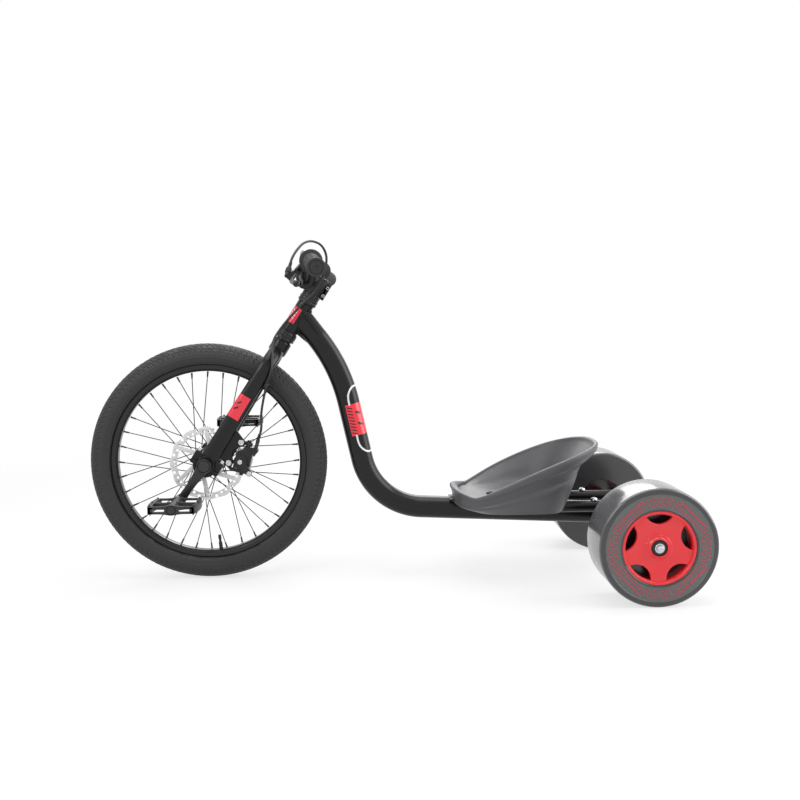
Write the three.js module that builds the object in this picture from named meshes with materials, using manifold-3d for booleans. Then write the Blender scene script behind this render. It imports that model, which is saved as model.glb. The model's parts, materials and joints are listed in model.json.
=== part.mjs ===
// A drift trike: a driven, spoked front wheel with cranks in its hub, a bent single-tube frame,
// a low bucket seat, and two wide hard-shelled rear wheels that slide sideways.
// Lengths are millimetres and angles are degrees. +X points to the rear, +Z points up, and the rider's
// left is -Y. While it is built, the origin lies where the front tyre meets the ground.
import * as THREE from 'three';
import { mergeVertices } from 'three/addons/utils/BufferGeometryUtils.js';
import Module from 'manifold-3d';

const wasm = await Module();
wasm.setup();

// Clearances and mesh settings
const gap = 0.3;            // between pieces that touch or seat in each other
const overrun = 2;          // how far a cutter runs past the face that it cuts
const weldDistance = 0.0005; // vertices closer than this are one vertex
const wheelFacets = 36;
const hubFacets = 18;
const roundFacets = 16;
const frameFacets = 16;
const boreFacets = 12;
const rollerFacets = 28;
const tubeFacets = 12;
const smallFacets = 10;
const boltFacets = 6;
const spokeFacets = 4;
const bladeFacets = 8;
const casingSteps = 8;      // round the outer wall of the tyre
const innerCasingSteps = 4;
const waveSteps = 4;        // for each wave of the rotor
const strapSteps = 4;
const holderSteps = 6;
const legBendSteps = 5;
const tubeBendSteps = 6;
const barBendSteps = 2;
const lensSteps = 5;
const shoulderSteps = 2;

// Whole trike
const wheelbase = 903;
const steerAngle = 57.7;    // steering axis above the horizontal

// Front wheel, a 20 inch wheel with a 406 mm bead seat
const tyreRadius = 255;
const tyreHalfWidth = 27;
const tyreWall = 4.5;
const tyreCrownWall = 7;
const tyreOuterReach = 128; // of the outer wall round its section, from the crown
const tyreInnerReach = 110;
const beadSeatRadius = 203;
const rimInnerRadius = 195.5;
const rimFlangeRadius = 210;
const rimHalfWidth = 13.5;
const rimBedHalfWidth = 8.5;
const rimFlangeWall = 2;
const spokeCount = 36;
const spokeCrossings = 3;
const spokeDiameter = 2.3;
const nippleDiameter = 4.6;
const nippleLength = 12;
const spokeRimOffset = 3;   // spoke end from the middle plane of the rim
const spokeLayerStep = 2;   // between the bends of the two families
const valveDiameter = 8;
const valveLength = 31;
const valveCapShare = 0.33;  // of the length
const valveAngle = -84;     // seen from the left, from straight rearward, up is positive

// Hub and rotor
const flangeRadius = 30;
const flangeHoleCircle = 26;
const flangeThickness = 3;
const flangeHalfSpacing = 21.5;
const hubBarrelRadius = 16;
const hubNoseRadius = 17;
const rotorSeatRadius = 24;
const rotorPlane = 37;      // middle of the rotor from the middle of the hub
const rotorThickness = 2;
const rotorRadius = 79.5;
const rotorWaveDepth = 3;
const rotorWaves = 12;
const rotorBandWidth = 15;
const rotorArms = 6;
const rotorArmWidth = 9;
const rotorArmSweep = 30;
const rotorHoleRadius = 2.6;
const rotorBoltCircle = 22;
const rotorBoltRadius = 4;
const rotorBoltHead = 2.6;
const hubEnd = 42;          // half length of the hub shell

// Spindle, cranks and pedals
const spindleRadius = 11;
const crankLength = 88;
const crankAngle = 54.5;    // left crank below the horizontal, towards the front
const crankThickness = 12;
const crankInnerFace = 71;
const crankBossRadius = 15.5;
const crankBossDepth = 17;
const crankEyeRadius = 11;
const crankWallOverSpindle = 3;
const pedalAxleRadius = 6.5;
const pedalInnerFace = 92;
const pedalWidth = 96;
const pedalLength = 104;
const pedalThickness = 25;
const pedalBarrelRadius = 12;
const pedalRailWidth = 13;
const pedalRailThickness = 19;
const pedalEndThickness = 12;
const pedalRibThickness = 7;
const pedalEndWall = 4;
const pedalPinRadius = 1.6;
const pedalPinHeight = 3;

// Fork and hub bearings
const forkLegCentre = 56;   // middle of each leg from the middle plane
const forkLegThickness = 22;
const forkLegTopWidth = 31;
const forkLegFootWidth = 38;
const forkArchHeight = 226; // where the legs start to bend inward, along the steering axis
const forkLegFoot = 16;
const crownRadius = 20;
const crownBottom = 276;
const crownTop = 307;
const steererRadius = 14.3;
const crownRaceRadius = 16.5;
const hubBearingRadius = 20;
const hubBearingHalfWidth = 9;
const holderRadius = 26.5;
const holderHalfWidth = 10;
const holderEarWidth = 13;
const holderEarHeight = 19;
const capEarHeight = 10;
const capBoltSpacing = 26.5;
const capBoltRadius = 3;
const capBoltHeadRadius = 5.2;
const capBoltHeadHeight = 7;

// Disc brake caliper on the left fork leg. Its places lie along the steering axis and behind it.
const tabBoltLow = 28.5;    // lower tab bolt along the steering axis
const tabBoltPitch = 51;
const tabBoltOffset = 39;   // tab bolts behind the steering axis
const tabThickness = 6;
const tabMargin = 8;
const tabScallop = 10;
const tabFace = 54;         // outer face of the tab from the middle plane
const tabBoltRadius = 3;
const tabBoltHeadRadius = 5.5;
const tabBoltHeadHeight = 5;
const adapterThickness = 6;
const adapterSpineWidth = 8;
const adapterArmHeight = 7;
const caliperBehind = 63;   // middle of the caliper
const caliperAlong = 54;
const caliperTilt = 17;     // of its long side from the steering axis
const caliperHubSide = 20;  // from the middle of the caliper towards the hub
const caliperRimSide = 14;
const caliperBridge = 9;
const caliperFoot = 24;     // from the middle of the caliper towards the ground
const caliperTop = 16;
const caliperCorner = 9;
const caliperEarTop = 25;
const caliperEarHalfWidth = 6.5;
const caliperOutboard = 16;
const caliperInboard = 6.8;
const postPitch = 61;
const postBoltRadius = 2.8;
const postWasherRadius = 4.4;
const postHeadHeight = 4;
const pistonBehind = 58.6;  // middle of the piston
const pistonAlong = 43.7;
const pistonHousingRadius = 14.5;
const pistonHousingDepth = 5;
const padCircle = 67;       // middle of the pads from the hub axis
const padThickness = 3;
const padWidth = 16;
const padHeight = 24;
const armLength = 31;
const armThickness = 4;
const armHubRadius = 10;
const armEndRadius = 6;
const armNutRadius = 5.5;
const armNutHeight = 2;
const armAngle = -21;       // brake arm at rest, from straight behind, towards the head is positive
const stopBehind = 15;      // cable stop from the middle of the piston
const stopAlong = 37.3;
const stopRadius = 6.3;
const stopRootRadius = 9;
const stopHeight = 8;
const bootRadius = 4.2;
const bootTipRadius = 1.7;
const bootAboveStop = 24;
const bootBelowStop = 12;
const innerWireRadius = 0.9;
const innerWireStart = 9.5; // from the middle of its clamp
const innerWireEnd = 29;    // its free end from the middle of the piston

// Headset and stem, by their places along the steering axis from the hub
const cupRadius = 21;
const cupPocketRadius = 18.4;
const cupPocketDepth = 11;
const cupHeight = 19;
const upperCupHeight = 14;
const headTubeBottom = 330;
const headTubeTop = 400;
const headTubeRadius = 18;
const headTubeBore = 15.4;
const bearingHeight = 9;
const headsetCoverRadius = 20;
const stemBottom = 424;
const stemHeight = 38;
const stemClampRadius = 20.5;
const stemNeckShare = 0.9;   // of the clamp's radius
const stemRearReach = 27;
const pinchLugWidth = 17;
const pinchSlot = 2;
const pinchBoltShares = [0.25, 0.75]; // places up the stem
const pinchBoltRadius = 3;
const pinchBoltHead = 4.5;
const pinchBoltHeadLength = 4;
const barForward = 29;      // bar ahead of the steering axis
const barAlong = 444;       // bar along the steering axis
const barClampHalfWidth = 23;
const barClampRadius = 18.5;
const faceplateGap = 2;
const faceplateBoltPitch = 28;
const faceplateBoltSpread = 32;
const faceplateLug = 5;
const topCapRadius = 17;
const topCapHeight = 4;
const topCapBoltRadius = 5;
const topCapBoltHeight = 3;

// Handlebar and grips
const barRadius = 11.1;
const barWidth = 741;
const barCentreHalf = 40;
const barKneeHalf = 100;
const barRise = 48;
const barKneeBack = 6;
const barSweepBack = 34.4;
const barDrop = 38.2;
const barBendRadius = 45;
const gripLength = 124;
const gripRadius = 16;
const gripFlangeRadius = 22.5;
const gripFlangeWidth = 5;
const gripEndWall = 4;
const gripEndRadius = 17.5;
const gripEndWidth = 9;

// Brake lever on the left of the bar, in its own frame: reach from the bar, outward along the bar, and up
const leverClampIn = 155.5; // lever clamp from the end of the bar, across the trike
const leverPitch = 44.3;    // lever below the horizontal, ahead of the bar
const leverClampWidth = 13;
const leverClampWall = 4.5;
const leverBracketThickness = 13;
const leverBracketReach = 57;
const leverBracketBack = 11;
const leverBracketFront = 3;
const leverPivotReach = 34;
const leverPivotOut = 6;
const leverPinRadius = 3;
const leverPinHead = 4.5;
const leverPinHeadHeight = 1.5;
const leverEyeRadius = 7;
const leverEyeThickness = 6;
const leverBladeWidth = 10;
const leverBladeThickness = 6;
const leverKneeReach = 54;
const leverKneeOut = 40;
const leverTipReach = 47;
const leverTipOut = 120;
const leverTipRadius = 6.5;
const barrelRadius = 5;
const barrelRootReach = 54.9;
const barrelRootIn = 7.4;
const barrelRootUp = 6.7;
const barrelTipReach = 39.4;
const barrelTipIn = 22.5;
const barrelTipUp = 13.6;

// Brake cable. It leaves the lever's barrel in line with it. Its route from there is a list of places: behind
// the hub, to the right, and above the ground.
const cableRadius = 2.5;
const cableFacets = 6;
const cableStep = 17;
const cableLead = 25;       // straight run out of the barrel
const cableRoute = [
  [209, -160, 702], [220, -140, 714], [233, -120, 719], [247, -100, 715], [256, -80, 706], [261, -62, 688],
    [255, -47, 655], [235, -38, 620], [205, -34, 590], [187, -28, 571],
  [166, -26, 548], [146, -36, 516], [145, -58, 482], [143, -67, 456], [132, -62, 424], [120, -64, 365],
];
const clipOuterRadius = 5;
const clipWidth = 6;
const clipBehind = 21;      // behind the steering axis
const clipOutward = 62;
const clipAlong = 212;      // along the steering axis from the hub

// Frame tubes
const mainTubeRadius = 24;
const mainTubeStart = 372;  // along the steering axis
const firstBendBehindTyre = 29.7;
const firstBendZ = 458.5;
const firstBendRadius = 360;
const secondBendShare = 0.36877; // of the way from the tyre to the seat's front
const secondBendZ = 152.7;
const secondBendRadius = 138;
const mainTubeRearZ = 128.7;
const mainTubeEndInset = 8;
const mainTubeHeadHalfWidth = 17;
const gussetThickness = 6;
const gussetDrop = 20;
const railRadius = 12.5;
const railHalfSpacing = 60;
const railStartInset = 138; // from the seat's front
const railHeight = 155.2;
const crossTubeRadius = 11;
const crossTubeInset = 164; // from the seat's front
const axleTubeRadius = 17;
const axleTubeHalfLength = 180;
const axlePlateThickness = 8;
const axlePlateLength = 46;
const axlePlateBack = 12;
const railBoltInset = 14;   // from the seat's rear
const railBoltRadius = 4;
const railBoltHeadRadius = 7.5;
const railBoltHeadHeight = 5.5;
const railBoltDepth = 14;

// Rear wheels
const rollerRadius = 117.3;
const rollerWidth = 115.6;
const rollerShoulder = 7;
const track = 480.8;
const rollerFaceInset = 2;  // core behind the outer face of the roller
const rollerInnerRadius = 52;
const coreRadius = 73;
const coreDepth = 38;
const coreWeb = 9;
const coreWebInset = 4;
const coreRimWall = 7;
const coreHubRadius = 25;
const coreHubFront = 3;     // hub in front of the web
const openingCount = 5;
const openingInnerRadius = 43;
const openingHalfAngle = 23;
const wheelBearingRadius = 16;
const wheelBearingWidth = 10;
const axleRadius = 6;
const axleNutRadius = 9.5;
const axleNutHeight = 7;
const axleEndReach = 3;

// Seat, a moulded bucket
const seatFrontShare = 0.5803; // of the wheelbase
const seatLength = 319;
const seatHalfWidth = 146;
const seatRimLow = 183;
const seatRimHigh = 302;
const seatRimSlope = 27.4;
const seatRimLowInset = 43; // from the seat's front, as the next places along it
const seatLipRise = 9;
const seatFloor = 174;
const seatFloorWall = 6;
const seatFloorInset = 140;
const seatFloorHalfLength = 68;
const seatFloorHalfWidth = 78;
const seatBase = 150;
const seatBaseInset = 137;
const seatBaseHalfLength = 99;
const seatBaseHalfWidth = 104;
const seatBaseWall = 8;
const seatRimRound = 5;
const seatPower = 2.5;      // the outline in plan: 2 is an ellipse, more is squarer
const seatFacets = 32;
// The bowl, from floor to rim: height, length and width shares of each ring.
const seatBowlShares = [[0.18, 0.62, 0.42], [0.6, 0.88, 0.71]];
// The outside, from rim to base: height share at the front and at the rear, length and width shares.
const seatSkirtShares = [[0.84, 0.84, 0.96, 0.93], [0.79, 0.79, 0.87, 0.62], [0.36, 0.76, 0.82, 0.54],
  [0.3, 0.7, 0.85, 0.64]];
const seatTubeGap = 0.6;
const mountFrontAhead = 3;  // of the seat's front
const mountRearInset = 104;
const mountHalfWidth = 31;
const mountBottom = 143;
const mountFrontLean = 34;
const frontBoltInset = 88;
const rearBoltInset = 176;
const seatBoltRadius = 4;
const seatBoltHeadRadius = 9;
const seatBoltHeadHeight = 4.5;
const seatBoltDepth = 24;

// Places that follow from the sizes above
const rightAngle = 90;
const fullTurn = 360;
const radians = THREE.MathUtils.degToRad;
const spokeRadius = spokeDiameter / 2;
const halfTrack = track / 2;
const seatFront = seatFrontShare * wheelbase;
const seatRear = seatFront + seatLength;
const seatMiddle = (seatFront + seatRear) / 2;
const seatHalfLength = seatLength / 2;
const seatRimLowX = seatFront + seatRimLowInset;
const seatFloorX = seatFront + seatFloorInset;
const seatBaseX = seatFront + seatBaseInset;
const mountFront = seatFront - mountFrontAhead;
const mountRear = seatFront + mountRearInset;
const frontBoltX = seatFront + frontBoltInset;
const rearBoltX = seatFront + rearBoltInset;
const railStart = seatFront + railStartInset;
const crossTubeX = seatFront + crossTubeInset;
const railBoltX = seatRear - railBoltInset;
const firstBendX = tyreRadius + firstBendBehindTyre;
const secondBendX = tyreRadius + secondBendShare * (seatFront - tyreRadius);
const steerDirection = new THREE.Vector3(Math.cos(radians(steerAngle)), 0, Math.sin(radians(steerAngle)));
const hubCentre = new THREE.Vector3(0, 0, tyreRadius);
const tabBolts = [tabBoltLow, tabBoltLow + tabBoltPitch];
const stemTop = stemBottom + stemHeight;
const lowerCupBottom = headTubeBottom - gap - cupHeight;
const upperCupTop = headTubeTop + gap + upperCupHeight;
const crownRaceTop = lowerCupBottom + cupPocketDepth - bearingHeight - 2 * gap;
const upperBearingBottom = upperCupTop - cupPocketDepth + gap;
const padBack = rotorPlane + rotorThickness / 2 + gap + padThickness + gap;
const armPlane = -(padBack + caliperOutboard + pistonHousingDepth + gap + armThickness / 2);
const railTop = railHeight + railRadius;
const wheelFace = halfTrack + rollerWidth / 2;
const coreHubRecess = rollerFaceInset + coreWebInset - coreHubFront;
const sides = [['left', -1], ['right', 1]];
const crankDirection = new THREE.Vector3(-Math.cos(radians(crankAngle)), 0, -Math.sin(radians(crankAngle)));

// A paint, metal, rubber or plastic of one piece.
function finish(color, roughness, metalness = 0) {
  return new THREE.MeshStandardMaterial({ color, roughness, metalness });
}

const blackPaint = () => finish(0x141414, 0.25);
const blackPlastic = () => finish(0x1c1c1c, 0.5);
const blackRubber = () => finish(0x232323, 0.85);
const blackAnodised = () => finish(0x191919, 0.35, 0.6);
const silverSteel = () => finish(0xb9bcbe, 0.3, 1);
const greyPlastic = () => finish(0x5f5e60, 0.45);
const darkGloss = () => finish(0x3b3b3d, 0.25);
const redPlastic = () => finish(0xe03a3a, 0.35);

// A geometry as a solid that can be joined and cut.
function solid(geometry) {
  const bare = geometry.index ? geometry.toNonIndexed() : geometry.clone();
  bare.deleteAttribute('normal');
  bare.deleteAttribute('uv');
  const merged = mergeVertices(bare, weldDistance);
  const corners = merged.index.array;
  const triVerts = [];
  for (let i = 0; i < corners.length; i += 3) {
    const [a, b, c] = [corners[i], corners[i + 1], corners[i + 2]];
    if (a !== b && b !== c && c !== a) triVerts.push(a, b, c);
  }
  const vertProperties = merged.attributes.position.array;
  return new wasm.Manifold(new wasm.Mesh({ numProp: 3, vertProperties,
    triVerts: new Uint32Array(triVerts) }));
}

// A solid as a geometry for a mesh.
function geometryOf(shape) {
  const mesh = shape.getMesh();
  const geometry = new THREE.BufferGeometry();
  geometry.setAttribute('position', new THREE.BufferAttribute(mesh.vertProperties, mesh.numProp));
  geometry.setIndex(new THREE.BufferAttribute(mesh.triVerts, 1));
  geometry.computeVertexNormals();
  return geometry;
}

function joined(...shapes) {
  return shapes.reduce((whole, shape) => whole.add(shape));
}

function cut(shape, ...cutters) {
  return cutters.reduce((whole, cutter) => whole.subtract(cutter), shape);
}

// Adds a named piece to a group.
function piece(group, name, shape, material) {
  const mesh = new THREE.Mesh(geometryOf(shape), material);
  mesh.name = name;
  group.add(mesh);
  return mesh;
}

// A block between two x, two y and two z.
function block([x0, x1], [y0, y1], [z0, z1]) {
  const geometry = new THREE.BoxGeometry(x1 - x0, y1 - y0, z1 - z0);
  return solid(geometry.translate((x0 + x1) / 2, (y0 + y1) / 2, (z0 + z1) / 2));
}

// A round bar from one point to another.
function rod(from, to, radius, facets = smallFacets) {
  const along = new THREE.Vector3().subVectors(to, from);
  const geometry = new THREE.CylinderGeometry(radius, radius, along.length(), facets);
  const turn = new THREE.Quaternion().setFromUnitVectors(new THREE.Vector3(0, 1, 0),
    along.clone().normalize());
  geometry.applyQuaternion(turn);
  geometry.translate(...new THREE.Vector3().addVectors(from, to).multiplyScalar(1 / 2).toArray());
  return solid(geometry);
}

function rodY(x, z, from, to, radius, facets = smallFacets) {
  return rod(new THREE.Vector3(x, from, z), new THREE.Vector3(x, to, z), radius, facets);
}

function rodZ(x, y, from, to, radius, facets = smallFacets) {
  return rod(new THREE.Vector3(x, y, from), new THREE.Vector3(x, y, to), radius, facets);
}

// A body of revolution about Y from an outline of [radius, y] points, closed on itself or on the axis.
function revolve(outline, facets) {
  const points = outline.map(([radius, y]) => new THREE.Vector2(radius, y));
  const closed = [...points, points[0]];
  if (THREE.ShapeUtils.area(points) < 0) closed.reverse();
  return solid(new THREE.LatheGeometry(closed, facets));
}

// The same about Z, from [radius, z] points.
function revolveZ(outline, facets) {
  return revolve(outline, facets).transform(matrix(new THREE.Matrix4().makeRotationX(radians(rightAngle))));
}

// A flat plate in XZ from an outline of [x, z] points, from one y to another.
function plate(outline, from, to) {
  const shape = new THREE.Shape(outline.map(([x, z]) => new THREE.Vector2(x, z)));
  const geometry = new THREE.ExtrudeGeometry(shape, { depth: to - from, bevelEnabled: false });
  geometry.rotateX(radians(rightAngle)).translate(0, to, 0);
  return solid(geometry);
}

// A skin over closed rings of points, with a flat cap on the first and the last ring.
function loft(rings) {
  const count = rings[0].length;
  const faces = [];
  for (let r = 0; r + 1 < rings.length; r++) {
    for (let i = 0; i < count; i++) {
      const j = (i + 1) % count;
      const [a, b] = [r * count + i, r * count + j];
      faces.push(a, b, b + count, a, b + count, a + count);
    }
  }
  const last = (rings.length - 1) * count;
  for (let i = 1; i + 1 < count; i++) faces.push(0, i + 1, i, last, last + i, last + i + 1);
  const geometry = new THREE.BufferGeometry().setFromPoints(rings.flat());
  geometry.setIndex(faces);
  return solid(geometry);
}

// Stations along straight runs that meet in round bends: each is a point and the direction there.
function bentPath(corners, bendRadii, bendSteps) {
  const stations = [];
  const way = (from, to) => new THREE.Vector3().subVectors(to, from).normalize();
  stations.push({ at: corners[0], along: way(corners[0], corners[1]) });
  for (let i = 1; i + 1 < corners.length; i++) {
    const into = way(corners[i - 1], corners[i]);
    const out = way(corners[i], corners[i + 1]);
    const turn = into.angleTo(out);
    const radius = bendRadii[i - 1];
    const reach = radius * Math.tan(turn / 2);
    const start = corners[i].clone().addScaledVector(into, -reach);
    const inward = out.clone().addScaledVector(into, -out.dot(into)).normalize();
    for (let s = 0; s <= bendSteps; s++) {
      const angle = (turn * s) / bendSteps;
      const at = start.clone().addScaledVector(into, radius * Math.sin(angle));
      at.addScaledVector(inward, radius * (1 - Math.cos(angle)));
      const along = into.clone().multiplyScalar(Math.cos(angle)).addScaledVector(inward, Math.sin(angle));
      stations.push({ at, along });
    }
  }
  const end = corners[corners.length - 1];
  stations.push({ at: end, along: way(corners[corners.length - 2], end) });
  return stations;
}

// A tube through stations. Its section is an ellipse: halfSide lies across `side`, halfUp the other way.
function pipe(stations, halfSide, halfUp, facets, firstSide = new THREE.Vector3(0, 1, 0)) {
  const side = firstSide.clone();
  const rings = stations.map(({ at, along }, s) => {
    side.addScaledVector(along, -side.dot(along)).normalize();
    const up = new THREE.Vector3().crossVectors(along, side);
    const [wide, tall] = [halfSide, halfUp].map((half) => (typeof half === 'function' ? half(s) : half));
    return Array.from({ length: facets }, (_, i) => {
      const angle = radians((fullTurn * (i + 1 / 2)) / facets);
      return at.clone().addScaledVector(side, wide * Math.cos(angle)).addScaledVector(up,
        tall * Math.sin(angle));
    });
  });
  return loft(rings);
}

// Stations at even steps along a smooth curve.
function stationsOn(curve, step) {
  const count = Math.round(curve.getLength() / step);
  return Array.from({ length: count + 1 }, (_, i) => {
    const t = i / count;
    return { at: curve.getPointAt(t), along: curve.getTangentAt(t) };
  });
}

// An outline round two circles on the X axis, the first at the origin and the second at a distance.
function strap(firstRadius, secondRadius, length, steps) {
  const lean = Math.acos((firstRadius - secondRadius) / length);
  const arc = (x, radius, from, to) => Array.from({ length: steps + 1 }, (_, i) => {
    const angle = from + ((to - from) * i) / steps;
    return [x + radius * Math.cos(angle), radius * Math.sin(angle)];
  });
  return [...arc(0, firstRadius, lean, 2 * Math.PI - lean), ...arc(length, secondRadius, -lean, lean)];
}

// An outline turned about the origin and moved.
function placed(outline, angle, x = 0, z = 0) {
  const [c, s] = [Math.cos(radians(angle)), Math.sin(radians(angle))];
  return outline.map(([u, v]) => [x + u * c - v * s, z + u * s + v * c]);
}

function matrix(matrix4) {
  return matrix4.elements.slice();
}

// A solid mirrored in the middle plane of the trike.
function mirrored(shape) {
  return shape.mirror([0, 1, 0]);
}

// The tyre: an open casing whose beads sit inside the rim.
function tyreSolid() {
  const sectionRadius = tyreHalfWidth;
  const sectionCentre = tyreRadius - sectionRadius;
  const casing = (radius, steps, thickness, reach) => Array.from({ length: steps + 1 }, (_, i) => {
    const angle = radians(reach - (2 * reach * i) / steps);
    const crown = thickness * Math.max(0, Math.cos(angle));
    return [sectionCentre + radius * Math.cos(angle) - crown, radius * Math.sin(angle)];
  });
  const beadOuter = rimHalfWidth - rimFlangeWall - gap;
  const beadInner = beadOuter - tyreWall;
  const beadBottom = beadSeatRadius + gap;
  const beadTop = rimFlangeRadius + gap;
  return revolve([
    ...casing(sectionRadius, casingSteps, 0, tyreOuterReach),
    [beadTop, -beadOuter], [beadBottom, -beadOuter], [beadBottom, -beadInner],
      [beadTop + tyreWall, -beadInner],
    ...casing(sectionRadius - tyreWall, innerCasingSteps, tyreCrownWall - tyreWall,
      tyreInnerReach).reverse(),
    [beadTop + tyreWall, beadInner], [beadBottom, beadInner], [beadBottom, beadOuter], [beadTop, beadOuter],
  ], wheelFacets);
}

// The rim: a box section with two flanges that hold the beads.
function rimSolid() {
  const half = [
    [rimInnerRadius, rimBedHalfWidth],
    [rimInnerRadius + rimHalfWidth - rimBedHalfWidth, rimHalfWidth],
    [rimFlangeRadius, rimHalfWidth],
    [rimFlangeRadius, rimHalfWidth - rimFlangeWall],
    [beadSeatRadius, rimHalfWidth - rimFlangeWall],
  ];
  const other = half.map(([radius, y]) => [radius, -y]).reverse();
  const ring = revolve([...half, ...other], wheelFacets);
  const valve = valvePoints(valveDiameter / 2 + gap);
  return cut(ring, rod(valve.foot, valve.seat, valve.radius, smallFacets));
}

function valvePoints(radius) {
  const angle = radians(valveAngle);
  const out = new THREE.Vector3(Math.cos(angle), 0, Math.sin(angle));
  const [tip, foot] = [rimInnerRadius - valveLength, rimInnerRadius - overrun];
  const seat = beadSeatRadius + overrun;
  return { tip: out.clone().multiplyScalar(tip), foot: out.clone().multiplyScalar(foot),
    seat: out.clone().multiplyScalar(seat), out, radius };
}

function valveSolid() {
  const { tip, out } = valvePoints(0);
  const stem = rod(tip, out.clone().multiplyScalar(beadSeatRadius), valveDiameter / 2);
  const capLength = valveLength * valveCapShare;
  const cap = rod(tip.clone().addScaledVector(out, -gap), tip.clone().addScaledVector(out, capLength),
    valveDiameter / 2 + gap, boltFacets);
  return joined(stem, cap);
}

// How far the straight part of a spoke stands off its flange, so that it clears the flange's edge.
function spokeStandOff() {
  const twist = radians((fullTurn * spokeCrossings) / (spokeCount / 2));
  const reach = Math.hypot(rimInnerRadius - flangeHoleCircle * Math.cos(twist),
    flangeHoleCircle * Math.sin(twist));
  const outwardShare = (rimInnerRadius * Math.cos(twist) - flangeHoleCircle) / reach;
  const edgeRun = (flangeRadius - flangeHoleCircle + spokeRadius) / outwardShare;
  return gap + spokeRadius + (edgeRun * flangeHalfSpacing) / reach;
}

// The spokes of one side, laced over three crossings. Each goes through a flange hole, bends, and ends in
// its nipple at the rim. One family bends further out, so the two pass near the hub and meet at the last
// crossing, as laced spokes do.
function spokesSolid() {
  const flangeFace = flangeHalfSpacing + flangeThickness / 2;
  const flangeInnerFace = flangeHalfSpacing - flangeThickness / 2;
  const perSide = spokeCount / 2;
  const pitch = fullTurn / perSide;
  const twist = pitch * spokeCrossings;
  const squareRadius = spokeRadius / Math.cos(Math.PI / spokeFacets);
  const rimEnd = rimInnerRadius - gap - spokeRadius;
  const spokes = Array.from({ length: perSide }, (_, i) => {
    const rimAngle = radians(pitch * i);
    const holeAngle = rimAngle + radians(i % 2 ? twist : -twist);
    const hole = (y) => new THREE.Vector3(flangeHoleCircle * Math.cos(holeAngle), y,
      flangeHoleCircle * Math.sin(holeAngle));
    const bend = hole(-(flangeFace + spokeStandOff() + (i % 2 ? spokeLayerStep : 0)));
    const end = new THREE.Vector3(rimEnd * Math.cos(rimAngle), -spokeRimOffset,
      rimEnd * Math.sin(rimAngle));
    const along = new THREE.Vector3().subVectors(end, bend).normalize();
    const nipple = end.clone().addScaledVector(along, -nippleLength);
    const pinEnd = hole(overrun - flangeInnerFace);
    const outward = new THREE.Vector3(0, -1, 0);
    const stations = [{ at: pinEnd, along: outward },
      { at: bend, along: outward.clone().add(along).normalize() },
      { at: nipple, along }, { at: nipple.clone().addScaledVector(along, nippleDiameter / 2), along },
        { at: end, along }];
    const halves = [spokeRadius, squareRadius, squareRadius, nippleDiameter / 2, nippleDiameter / 2];
    const half = (s) => halves[s];
    return pipe(stations, half, half, spokeFacets,
      new THREE.Vector3(Math.cos(holeAngle), 0, Math.sin(holeAngle)));
  });
  return joined(...spokes);
}

// The hub shell: a barrel between two drilled flanges, a seat for the rotor, and a bore for the spindle.
function hubShellSolid() {
  const bore = spindleRadius + gap;
  const face = flangeHalfSpacing + flangeThickness / 2;
  const inner = flangeHalfSpacing - flangeThickness / 2;
  const rotorFace = rotorPlane - rotorThickness / 2 - gap;
  const shell = revolve([
    [bore, -hubEnd], [hubNoseRadius, -hubEnd], [hubNoseRadius, -rotorFace], [rotorSeatRadius, -rotorFace],
    [rotorSeatRadius, -face], [flangeRadius, -face], [flangeRadius, -inner], [hubBarrelRadius, -inner],
    [hubBarrelRadius, inner], [flangeRadius, inner], [flangeRadius, face], [rotorSeatRadius, face],
    [hubNoseRadius, hubEnd], [bore, hubEnd],
  ], hubFacets);
  const holes = Array.from({ length: spokeCount }, (_, i) => {
    const angle = radians((fullTurn * i) / spokeCount);
    const side = i % 2 ? 1 : -1;
    const out = new THREE.Vector3(Math.cos(angle), 0, Math.sin(angle));
    const along = new THREE.Vector3(0, 1, 0);
    const [from, to] = [face + overrun, inner - overrun].map((y) => {
      return { at: out.clone().multiplyScalar(flangeHoleCircle).setY(side * y), along };
    });
    const half = spokeRadius + 2 * gap;
    return pipe(side < 0 ? [from, to] : [to, from], half, half, spokeFacets, out);
  });
  return cut(shell, joined(...holes));
}

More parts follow.
